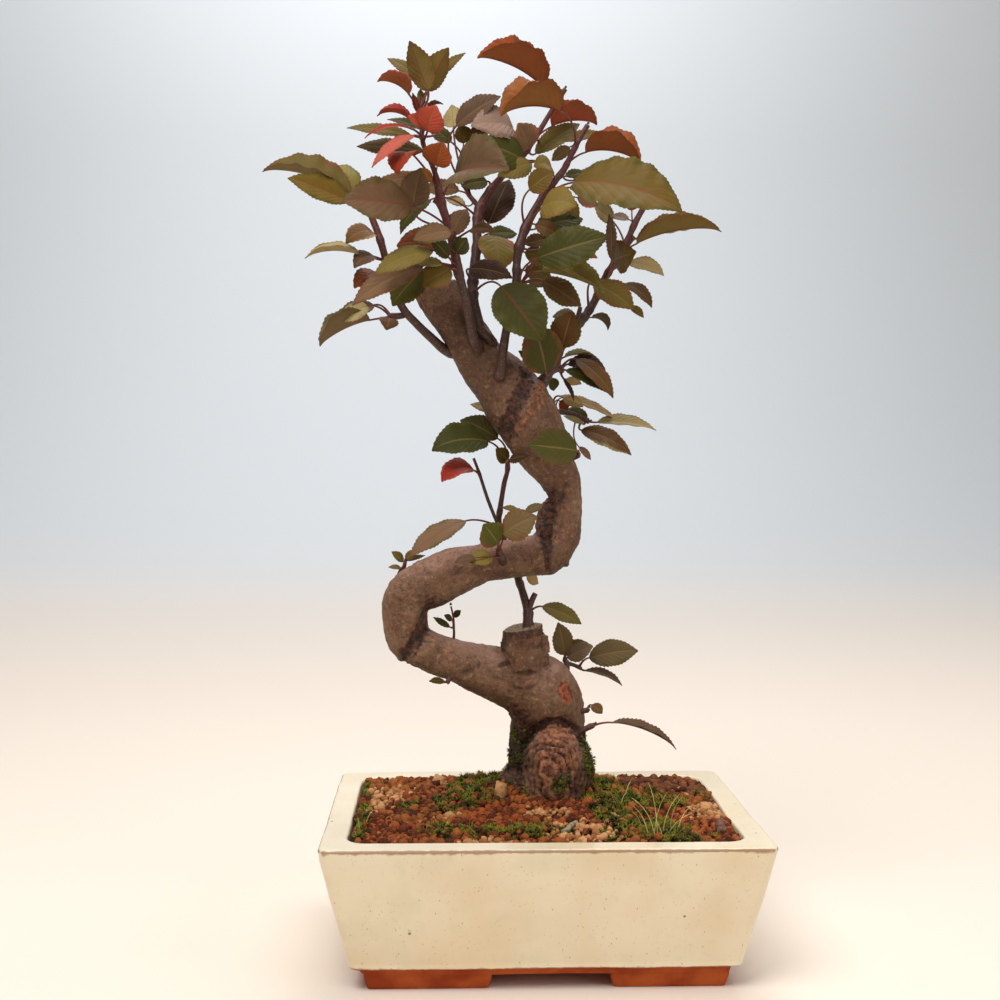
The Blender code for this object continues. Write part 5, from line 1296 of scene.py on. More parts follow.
        ((-2, 268, 17, 1.8), (3, 269, 23, 1.7), (10, 269.5, 26, 1.5), (17, 268, 28, 1.3),
         (24, 264.5, 29, 1.1)),
    ), leaves=(
        leaf("TAN MAUVE", 9, 277.5, 26, 39, 264.5, 35, 8, 20, 30, 20, 5, 269),
        leaf("CREAM", 11, 276.5, 22, 21, 272, 24, 7, 15, -52, 0, 7, 269),
        leaf("RUST", 9, 275, 28, 13, 269.5, 33, 7, 15, 60, 0, 4, 269),
        leaf("GREEN", 23, 266, 33, 12, 271, 36, 8, 20, 50, 0),
        leaf("PALE_GREEN", 21, 263.5, 27, 11, 267.5, 20, 4, 15, -45, 0, 22, 265),
        leaf("CREAM GREEN", 28, 264.5, 31, 58, 260.5, 33, 10, 28, 35, 20),
        leaf("BROWN CREAM", 20, 260.5, 26, 45.5, 248, 24, 13, 50, 45, 8, 21, 266),
        leaf("PALE_MAUVE PINK", 19, 252, 28, 25, 245.5, 29, 4.5, 10, 50, 0, 18, 267),
        leaf("CREAM", -24, 270, 26, -36, 273, 29, 6, 15, 50, 0, 1, 269),
    )),
    Shoot("shoot_stub", twigs=(
        ((-6, 162.5, 6, 2.5), (-6, 168, 7, 2.3), (-7.5, 174, 8.5, 2.1), (-10, 182, 12, 1.9),
         (-13, 190, 14, 1.8), (-17, 201, 15, 1.7), (-21, 213, 14, 1.5), (-20.5, 221, 12, 1.4),
         (-19.5, 228, 11, 1.3), (-18.5, 234, 10, 1.3), (-17, 240, 9, 1.2), (-17, 245, 8, 1.1)),
        ((-6, 169, 7, 1.6), (-4, 175, 6.5, 1.5), (-2.5, 178, 6, 1.4)),
        ((-21, 212, 14, 1.0), (-23, 216, 10, 0.9), (-27, 226, 8, 0.9), (-31, 238, 6, 0.8),
         (-34, 246, 5, 0.7)),
    ), leaves=(
        leaf("DARK_GREEN GREEN", -27, 254.5, 3, -55, 249.5, -3, 19, 55, 50, 0, -17, 245),
        leaf("DARK_GREEN", -22, 256, 12, -41, 265, 17, 13, 20, 60, 0, -17, 244),
        leaf("DARK_OLIVE", -17, 244.5, 3, -23, 251, 0, 8, 20, 62, 0),
        leaf("DARK_BROWN", -16, 245.5, -5, -6, 247.5, -16, 6, 20, 60, 0, -17, 243),
        leaf("RED PINK", -34, 240, 3, -50, 234, 1, 15, 95, 35, 20),
        leaf("YELLOW_OLIVE", -19, 221.5, 9, -10, 217.5, 5, 4.5, 60, 45, 0),
        leaf("MAUVE GREEN RED", -38, 214.5, 7, -66, 196, -3, 13, 40, 45, 0, -21, 210),
        leaf("OLIVE GREEN", 1, 171.5, 7, 21, 162.5, 5, 10, 40, 50, 0, -6, 168),
        leaf("TAN RUST", -7, 187, 17, -1, 183, 19, 6, 15, 60, 0),
    )),
    Shoot("shoot_bud", twigs=(
        ((-20, 195, -11, 1.8), (-20.5, 197, -15, 1.7), (-21, 200, -18, 1.4)),
    ), leaves=(
        leaf("GREY_OLIVE RUST", -19, 208, -20, -2, 217, -23, 15, 30, 70, 0),
        leaf("GREEN RUST", -21.5, 203, -21, -29, 213, -23, 14, 20, 68, 0),
        leaf("LIGHT_OLIVE", -24, 196, -19, -37, 194, -20, 8.5, 25, 58, 0),
        leaf("MAUVE_BROWN", -33, 196, -22, -43.5, 193.5, -22, 5.5, 20, 45, 0),
        leaf("GREY_OLIVE", -8, 219, -19, 1.5, 223, -18, 5, 15, 55, 0, -21, 200),
    )),
    Shoot("shoot_low_rear", twigs=(
        ((12, 139, 21, 1.4), (12.8, 144, 25, 1.2), (12.8, 146, 25, 1.0)),
        ((12.8, 143, 24.5, 1.1), (18, 141.5, 28, 1.0), (21, 140, 29, 0.9)),
    ), leaves=(
        leaf("GREY_OLIVE", 12.5, 147, 23, 9, 163.5, 18, 11, 25, 65, 0),
        leaf("MAUVE GREEN", 14, 145.5, 25, 27, 151.5, 24, 13, 25, 55, 0),
        leaf("YELLOW_OLIVE", 13.5, 147, 28, 20, 155, 33, 8, 20, 60, 0, 12.8, 145),
        leaf("GREY_OLIVE GREEN", 25, 145.5, 29, 50, 149, 29, 14, 15, 68, 0, 20, 140),
        leaf("MAUVE_BROWN", 23, 139, 29, 42, 131, 28, 6, 50, 40, 20),
    )),
    Shoot("sprout_front_right", twigs=(
        ((16, 246, -9, 1.3), (18.5, 247.5, -14, 1.1), (18.5, 249, -17, 0.9)),
    ), leaves=(
        leaf("DARK_GREEN", 18, 250, -18, -7, 253, -22, 18, 25, 68, 0),
    )),
    Shoot("sprout_left", young=0.6, twigs=(
        ((-69, 187, 0, 1.0), (-69, 190, 1, 0.9), (-68, 194, 1, 0.8)),
    ), leaves=(
        leaf("OLIVE", -69, 194, 1, -75, 199, 0, 4.5, 15, 60, 0),
        leaf("OLIVE", -68, 195, 1, -62, 200, 2, 4.5, 15, 60, 0),
        leaf("OLIVE", -70, 190.5, 0, -76.5, 191, -1, 3, 50, 50, 0),
        leaf("OLIVE", -67, 194.5, 2, -58, 197, 4, 3, 15, 50, 0),
    )),
    Shoot("sprout_inner", young=0.9, twigs=(
        ((-43.5, 155.5, 4, 0.62), (-43.5, 160, 4, 0.56), (-43.8, 166, 4, 0.5),
         (-45, 171.5, 4, 0.43)),
    ), leaves=(
        leaf("DARK_GREEN", -45.5, 161, 3, -54, 166, 2, 3.5, 15, 60, 0, -43.5, 161),
        leaf("DARK_GREEN", -44.5, 164.5, 2, -48.5, 167, 0, 3.5, 15, 60, 0, -43.6, 163),
        leaf("DARK_GREEN", -43.5, 166, 4, -40, 169.5, 4, 3.5, 15, 60, 0),
    )),
    Shoot("sprout_under", twigs=(
        ((-45, 137, -3, 1.0), (-47, 132.5, -5, 0.9)),
    ), leaves=(
        leaf("DARK_OLIVE", -48, 133.5, -6, -56, 133.5, -8, 4, 30, 55, 0),
    )),
    Shoot("sprout_elbow", twigs=(
        ((21, 118.5, 16, 1.2), (25, 119.5, 16, 1.0)),
    ), leaves=(
        leaf("BROWN GREEN", 26.5, 121.5, 15, 32, 117, 13, 6, 40, 60, 0, 24, 119),
    )),
    Shoot("shoot_stump", twigs=(
        ((18, 105.5, 4, 1.8), (22, 108.5, 2, 1.6), (26, 110.5, 1, 1.4), (28, 111.2, 1, 1.0)),
    ), leaves=(
        leaf("MAUVE_BROWN", 37, 112.5, 0, 70, 98.5, -4, 8, 42, 30, 35, 27, 111),
    )),
)


# Trunk as it stands on the front sheet: x, z, depth and radius.
LOWER_TRUNK = (
    (4.5, 95, 27, 20.5), (4.5, 105, 26, 19.5), (4, 118, 23, 19.5), (0, 128, 16, 19),
    (-8, 133, 14, 16.5), (-20, 136.5, 11, 14), (-32, 140, 8, 12), (-42, 143.5, 4, 10.8),
    (-52, 147.5, 2, 10.5), (-60, 151, 0, 11), (-66, 154, 0, 9),
)
MIDDLE_TRUNK = (
    (-62, 150, 0, 10), (-66, 155, 0, 11.5), (-68, 165, -1, 11.5), (-66, 177, -2, 11.5),
    (-55, 183.5, -3, 12.3), (-42.5, 189.3, -3, 12.5), (-29, 193.5, -3, 10),
    (-16, 195.5, -3, 9.5), (-5, 197, -2, 10.5), (4, 198, -2, 11), (9, 200, -2, 8),
)
UPPER_TRUNK = (
    (5, 196, -2, 9.5), (10, 206, -1, 9.5), (12, 217, 0, 9), (12, 227, 1, 8.7),
    (9, 237, 2, 10.5), (3, 247, 3, 13), (-2, 256, 3, 15.2), (-7.5, 266, 3, 16.5),
    (-14, 275.5, 3, 16.5), (-21, 284.5, 3, 14.5), (-27, 291, 2, 13), (-32.5, 298, 2, 12),
    (-38, 307, 2, 11.4), (-43, 315, 2, 11.2), (-49, 324, 2, 10.9), (-54.5, 332, 2, 10.9),
    (-59, 340, 2, 10.9),
)
STUB = ((-9, 140, 7, 10.5), (-8.6, 155, 7, 10), (-8.3, 170, 7, 9.3))
STUB_LOBE = ((1, 142, 6, 3.0), (1.5, 150, 6, 3.4), (1, 157, 6, 2.6))
BARK_CHIP = ((82.5, -52, 1.5), (83.5, -46, 2.4), (85, -39, 2.2), (86, -33, 1.2))
DEAD_TWIG = ((8, -49, 1.0), (11, -44, 1.3), (13, -38, 1.2), (16, -33, 0.9))
BEND_WEB = (
    (6, 227, -1, 1.6), (3.4, 221, -2, 3.6), (2.6, 214, -3, 4.8), (2.6, 206, -3, 5.2),
    (3, 198, -3, 5),
)
STUMP_RINGS = (
    (9.6, 86, 18.8), (9.2, 92, 18), (8.8, 98, 17), (8.4, 103, 15.4), (8, 107.4, 12.6),
    (8, 111, 7.5),
)


@dataclass(frozen=True)
class Mark:
    """Feature of the bark along a line on the front sheet, sunk or raised.

    A mark touches only what faces the front, within its width of the line. The width
    changes evenly to the end width. Its edge is ragged by a share, and three shares say how
    far the bark turns dark, mossy and red. The dark stands for real scars and, in creases,
    hollows and along outlines, for painted shade.
    """

    line: tuple[tuple[float, float], ...]
    width: float
    rise: float
    # Darkening for real scars and for painted shade in creases and hollows.
    scar_and_shade: float = 0.0
    moss: float = 0.0
    red: float = 0.0
    end_width: float | None = None
    ragged: float = 0.35

    def nearness(self, sheet: np.ndarray, rough: np.ndarray) -> np.ndarray:
        """Share from 1 on the line to 0 well past its width, at places of the sheet."""
        away = np.full(len(sheet), np.inf)
        wide = np.full(len(sheet), self.width)
        line = np.array(self.line, float)
        widths = np.linspace(self.width, self.end_width or self.width, len(line))
        for k, (a, b) in enumerate(zip(line, line[1:])):
            span = b - a
            share = np.clip((sheet - a) @ span / (span @ span), 0.0, 1.0)
            far = np.linalg.norm(sheet - a - share[:, None] * span, axis=1)
            here = widths[k] + (widths[k + 1] - widths[k]) * share
            nearer = far / here < away / wide
            away[nearer], wide[nearer] = far[nearer], here[nearer]
        away = away / wide * np.clip(1 + 1.8 * self.ragged * rough, 0.62, 2.5)
        return np.exp(-np.clip(away, 0.0, 9.0) ** 2 * 1.4)


@dataclass
class Trunk:
    """Old trunk: buried foot, S-shaped stem, front stump and cut stubs."""

    voxel: float = 0.78
    sides: int = 40
    step: float = 3.0
    root_bottom: float = 50.0
    soil_line: float = 79.5
    column: tuple[float, float, float] = (6.0, 27.0, 25.5)
    flare: tuple[float, float, float, float] = (4.5, 89.0, 27.0, 22.5)
    stump: tuple[float, float, float, float] = (9.5, 8.0, 18.5, 16.5)
    top_cut: Place = (-54.3, 332.0, 2.0)
    top_lean: Place = (-0.27, 0.0, 0.96)
    stub_cut: Place = (-8.3, 161.5, 7.0)
    stub_lean: Place = (-0.2, -0.05, 0.98)
    knot: tuple[float, float] = (5.5, 89.0)
    fold_pitch: float = 0.82
    fold_depth: float = 1.9
    marks: tuple[Mark, ...] = (
        # Painted shade: a dark crease inside the left bend.
        Mark(((-54, 169), (-57, 163), (-62, 155), (-68, 147)), 5.6, -2.4, 0.66, red=0.6,
             end_width=2.6, ragged=0.5),
        Mark(((-60, 173), (-66, 160), (-71, 152)), 2.2, 1.0, end_width=1.2),
        # Painted shade: a dark hollow inside the right bend.
        Mark(((4, 225), (1.8, 216), (2.6, 207), (3.8, 198), (3.6, 190)), 6.6, -1.6, 1.1,
             end_width=1.9, ragged=0.25),
        Mark(((8, 224), (8.5, 214), (7.5, 205)), 1.6, 1.0),
        Mark(((-6, 288), (-11, 278), (-15.5, 268), (-18.5, 260)), 4.4, -2.2, 1.1, end_width=5.6,
             ragged=0.45),
        Mark(((0, 286), (-4, 276), (-8, 266), (-12, 259)), 2.6, 1.2, 0.2, red=0.7, ragged=0.6),
        Mark(((-1, 281), (-4, 271)), 5.0, 0.3, 0.12, red=0.55, ragged=0.7),
        Mark(((-12, 286), (-18.5, 275), (-23, 264)), 1.8, 1.0, ragged=0.2),
        Mark(((-14, 268), (-15, 264)), 2.2, 0.6, red=1.15, ragged=0.6),
        Mark(((12.3, 129.8), (14, 125.2)), 4.3, -0.9, red=1.7, ragged=0.2),
        Mark(((10.5, 122.5), (17, 122.5)), 2.2, 0.5, 0.35),
        Mark(((-4, 144), (-3.6, 143)), 2.4, 1.5, 0.25),
        Mark(((-5.5, 139), (-5, 138)), 1.4, -0.8, 0.6),
        Mark(((-70, 176), (-69.6, 176.4)), 2.2, 1.3, 0.2),
        Mark(((-62, 191), (-61.6, 191.4)), 2.0, 1.3, 0.2),
        Mark(((-34, 190), (-33.6, 190.4)), 2.4, 1.6, 0.35),
        Mark(((-43, 187), (-40, 190)), 2.0, -0.8, 0.4),
        Mark(((-30, 141), (-38, 138)), 2.4, -1.0, 0.2),
        Mark(((12, 232), (8, 222), (8, 212)), 2.0, -0.9, 0.15),
        Mark(((-42, 322), (-36, 310), (-32, 302)), 2.0, -0.9, 0.2),
        Mark(((-48, 330), (-45, 322)), 1.8, 0.8),
        Mark(((-65, 334), (-59, 318)), 3.6, 0.6, 0.42, red=0.8, ragged=0.6),
        Mark(((25, 88), (25.5, 96), (24, 105)), 4.0, 0.4, moss=1.2),
        Mark(((8, 79), (14, 84)), 4.5, 0.3, moss=1.0),
        # Dark column behind the stump; its upper end is painted shade under the lower limb.
        Mark(((-11, 92), (-12, 102), (-9, 111), (-14, 117)), 9.0, 0.0, 1.1, end_width=7.0,
             ragged=0.25),
        Mark(((-12, 94), (-12, 104)), 7.5, 0.2, moss=0.8),
        # Painted shade: this mark and the next darken the crevice along the stump's outline.
        Mark(((-10, 80), (-9.5, 92), (-8, 101), (-4, 108), (4, 113), (12, 113), (18, 110)),
             2.2, -3.0, 1.2, end_width=1.5, ragged=0.15),
        Mark(((20, 109), (24, 100), (26, 88)), 1.5, -1.2, 0.6),
        Mark(((-20, 82), (-12, 88)), 5.5, 0.2, 1.1, moss=0.35),
        Mark(((9, 80), (9, 104)), 15.0, 0.0, red=0.85, ragged=0.2),
        Mark(((18, 78), (22, 88)), 4.5, 0.0, 0.6),
        Mark(((-18, 161.5), (-17.6, 150)), 2.4, 0.8, 0.7),
        Mark(((-14, 159), (-9, 157), (-3, 158), (2, 159)), 3.2, 0.3, 0.75),
        Mark(((-12, 152), (-6, 150), (1, 152)), 2.6, -0.6, 0.45, red=0.4),
        # Painted shade: a dark line where the cut stub meets the trunk.
        Mark(((-20, 142), (-14, 143)), 1.8, -0.8, 0.6),
        Mark(((-17, 151), (-15, 158)), 2.6, 0.9, 0.5, moss=0.6, ragged=0.6),
    )

    def routes(self) -> list[tuple[list[Vector], list[float]]]:
        """Centre line and radii of every limb, the two buried feet first."""
        column_x, column_y, column_radius = self.column
        x, z, y, radius = LOWER_TRUNK[0]
        top = seen(x, z, y)
        feet = [([Vector((column_x, column_y, self.root_bottom)),
                  Vector((column_x, column_y, self.soil_line)), seen(*self.flare[:3]), top,
                  top + Vector((0.0, 0.0, 9.0))],
                 [column_radius, column_radius, self.flare[3], radius, radius - 3.0])]
        stump_x, stump_y, half_x, _ = self.stump
        rings = [seen(x, z, stump_y) for x, z, _ in STUMP_RINGS]
        feet.append(([Vector((stump_x, stump_y, self.root_bottom)),
                      Vector((stump_x, stump_y, self.soil_line)), *rings],
                     [half_x, half_x, *[row[2] for row in STUMP_RINGS]]))
        limbs = (LOWER_TRUNK, MIDDLE_TRUNK, UPPER_TRUNK, STUB, STUB_LOBE, BEND_WEB)
        return feet + [smooth_route([seen(x, z, y) for x, z, y, _ in rows],
                                    [row[3] for row in rows], self.step) for rows in limbs]

    def foot(self, route: tuple, squash: float, lobes: int,
             deep: float) -> tuple[np.ndarray, list[tuple[int, ...]]]:
        """Upright foot whose outline is ridged where roots run down."""
        rings = []
        for centre, radius in zip(*route):
            low = held((112.0 - centre.z) / 30.0)
            rings.append([])
            for s in range(self.sides):
                angle = 2 * math.pi * s / self.sides
                wave = math.sin(lobes * angle + 0.7) + 0.6 * math.sin((lobes + 3) * angle + 2.1)
                reach = radius * (1 - deep * low * (0.3 - 0.35 * wave))
                rings[-1].append(Vector((centre.x + reach * math.cos(angle),
                                         centre.y + reach * squash * math.sin(angle),
                                         centre.z)))
        return ringed(rings)

    def melted(self, routes: list) -> bpy.types.Mesh:
        """The limbs, the stubs sawn off, as one fine closed skin, softened where they meet."""
        whole = bmesh.new()
        feet = ((1.0, 6, 0.1), (self.stump[3] / self.stump[2], 5, 0.16))
        cuts = {4: (self.top_cut, self.top_lean), 5: (self.stub_cut, self.stub_lean)}
        for index, route in enumerate(routes):
            if index < len(feet):
                limb = solid(*self.foot(smooth_route(*route, self.step), *feet[index]))
            else:
                limb = solid(*tube(*route, self.sides))
            if index in cuts:
                place, lean = cuts[index]
                cut = bmesh.ops.bisect_plane(
                    limb, geom=limb.verts[:] + limb.edges[:] + limb.faces[:],
                    plane_co=seen(*place), plane_no=Vector(lean).normalized(), clear_outer=True)
                rim = [piece for piece in cut["geom_cut"] if isinstance(piece, bmesh.types.BMEdge)]
                bmesh.ops.holes_fill(limb, edges=rim, sides=0)
                bmesh.ops.recalc_face_normals(limb, faces=limb.faces)
            part = bpy.data.meshes.new("limb")
            limb.to_mesh(part)
            whole.from_mesh(part)
            bpy.data.meshes.remove(part)
        joined = bpy.data.meshes.new("trunk_rough")
        whole.to_mesh(joined)
        made = linked("trunk_rough", joined)
        melt = made.modifiers.new("melt", "REMESH")
        melt.mode = "VOXEL"
        melt.voxel_size = self.voxel * 1.0
        soften = made.modifiers.new("soften", "SMOOTH")
        soften.factor = 0.5
        soften.iterations = 4
        skin = shaped(made)
        bpy.data.objects.remove(made)
        bpy.data.meshes.remove(joined)
        return skin

    @staticmethod
    def along_limbs(points: np.ndarray, routes: list) -> np.ndarray:
        """Place of each point along and round its limb, blended where limbs meet.

        Args:
            points: rows of x, y and z.
            routes: centre lines and radii.

        Returns:
            Rows of two places across the limb and one along it, in millimetres.
        """
        total, weight = np.zeros((len(points), 3)), np.zeros(len(points))
        for index, (line, radii) in enumerate(routes):
            middles = np.array(line)
            spans = np.concatenate([[0.0], np.cumsum(
                np.linalg.norm(np.diff(middles, axis=0), axis=1))]) + 70.0 * index
            ways, sides, others = np.array(frames_along(line)).transpose(1, 0, 2)
            away = np.stack([np.linalg.norm(points - middle, axis=1) for middle in middles])
            pick = away.argmin(axis=0)
            off = points - middles[pick]
            rows = np.stack([np.einsum("ij,ij->i", off, axis[pick])
                             for axis in (sides, others, ways)], axis=1)
            rows[:, 2] += spans[pick]
            share = 1.0 / (away.min(axis=0) / np.array(radii)[pick] + 0.05) ** 10
            total += rows * share[:, None]
            weight += share
        return total / weight[:, None]

    def folds(self, sheet: np.ndarray, rough: np.ndarray) -> np.ndarray:
        """Swirled folds of the stump, round the knot low on its front."""
        x, z = self.knot
        off_x, off_z = sheet[:, 0] - x, sheet[:, 1] - z
        away = np.hypot(off_x * 1.1 + 0.12 * off_z, np.where(off_z > 0, off_z, off_z * 0.25))
        bend = 0.3 * rough + 0.9 * np.sin(off_x * 0.4 + 1.0) + 0.5 * np.sin(off_z * 0.6)
        fold = np.abs(np.cos((away + bend) * self.fold_pitch))
        inside = np.clip((21.0 - away) / 4.0, 0.0, 1.0) * np.clip((108.0 - sheet[:, 1]) / 5, 0, 1)
        return (self.fold_depth * (fold ** 0.5 - 0.8) + 0.3 * rough) * inside

    def carve(self, points: np.ndarray, normals: np.ndarray,
              grain: np.ndarray) -> tuple[np.ndarray, np.ndarray, np.ndarray]:
        """Furrow the skin and carve the marks and the cuts.

        Args:
            points: rows of x, y and z.
            normals: outward direction at each.
            grain: place of each along and round its limb.

        Returns:
            Moved points, rows of scar, moss and cut, and rows of redness, rise and the
            upward share of the direction.
        """
        def grained(wide: float, long: float, shift: float) -> np.ndarray:
            """Noise stretched along the limbs."""
            return bumps(grain * np.array([wide, wide, long]) + np.array([0.0, 0.0, shift]))

        coarse = np.clip((112.0 - points[:, 2]) / 12.0, 0.0, 1.0)
        rise = ((0.22 + 0.6 * coarse) * (np.abs(grained(0.34, 0.05, 0)) * 2.2 - 0.5)
                + 0.2 * grained(0.7, 0.14, 40) + (0.3 + 0.3 * coarse) * grained(0.1, 0.34, 80)
                + 0.2 * grained(0.9, 0.9, 160))
        swell = 1.3 * grained(0.1, 0.06, 120)
        marks, red = np.zeros((len(points), 3)), np.zeros(len(points))
        sheet = on_sheet(points)
        to_eye = np.array(EYE) - points
        to_eye /= np.linalg.norm(to_eye, axis=1)[:, None]
        front = np.clip(np.einsum("ij,ij->i", normals, to_eye) * 3.0 + 0.3, 0.0, 1.0)
        rough = bumps(points, 0.45)
        rough += 0.5 * bumps(points, 1.1)
        rise += self.folds(sheet, rough) * front * (points[:, 1] < self.stump[1] + 2.0)
        for mark in self.marks:
            near = mark.nearness(sheet, rough) * front
            flat = np.clip(near * 2.2 - 0.6, 0.0, 1.0)
            rise += mark.rise * near + 0.7 * min(1.0, mark.scar_and_shade) * flat * rough
            marks[:, 0] = np.maximum(marks[:, 0], mark.scar_and_shade * flat)
            marks[:, 1] = np.maximum(marks[:, 1], mark.moss * near)
            red = np.maximum(red, mark.red * flat)
        for place, lean, radius, hollow in ((self.top_cut, self.top_lean, 12.5, True),
                                            (self.stub_cut, self.stub_lean, 11.0, False)):
            way = np.array(Vector(lean).normalized())
            off = points - np.array(seen(*place))
            level = off @ way
            out = np.linalg.norm(off - np.outer(level, way), axis=1)
            flat = (np.abs(level) < 1.3) & (out < radius) & (normals @ way > 0.7)
            marks[flat, 2] = 1.0
            rise[flat] = rise[flat] * 0.25 - 0.2
            if hollow:
                hole = np.exp(-(out / 4.6) ** 2) * flat
                marks[:, 0] = np.maximum(marks[:, 0], hole)
                marks[:, 2] -= hole * marks[:, 2]
                rise -= 5.5 * hole
        low = np.clip((92.0 - points[:, 2]) / 14.0, 0.0, 1.0)
        marks[:, 1] = np.maximum(marks[:, 1], low * 0.45)
        # Rise and the upward share also let the bark paint shade in sunk places and on undersides,
        # and a sheen on top.
        tint = np.stack([red, np.clip(rise, -3.0, 3.0), normals[:, 2]], axis=1)
        return points + normals * (rise + swell)[:, None], marks, tint

    def build(self, bark: bpy.types.Material) -> bpy.types.Object:
        """Make the trunk and put it for its CAD node."""
        routes = self.routes()
        mesh = self.melted(routes)
        points, normals = rows_of(mesh.vertices, "co"), rows_of(mesh.vertices, "normal")
        grain = self.along_limbs(points, routes)
        points, marks, tint = self.carve(points, normals, grain)
        mesh.vertices.foreach_set("co", ((points + np.array(SHIFT)) * MM).ravel())
        for name, rows in (("grain_place", grain), ("marks", marks), ("tint", tint)):
            carry(mesh, name, rows)
        mesh.materials.clear()
        mesh.materials.append(bark)
        mesh.shade_smooth()
        mesh.update()
        return placed(linked("fine_trunk", mesh), "trunk", "trunk")


def surface_of(made: bpy.types.Object) -> BVHTree:
    """Search tree of a piece's surface, in millimetres in the pot's frame."""
    points = [vert.co / MM - SHIFT for vert in made.data.vertices]
    return BVHTree.FromPolygons(points, [tuple(face.vertices) for face in made.data.polygons])


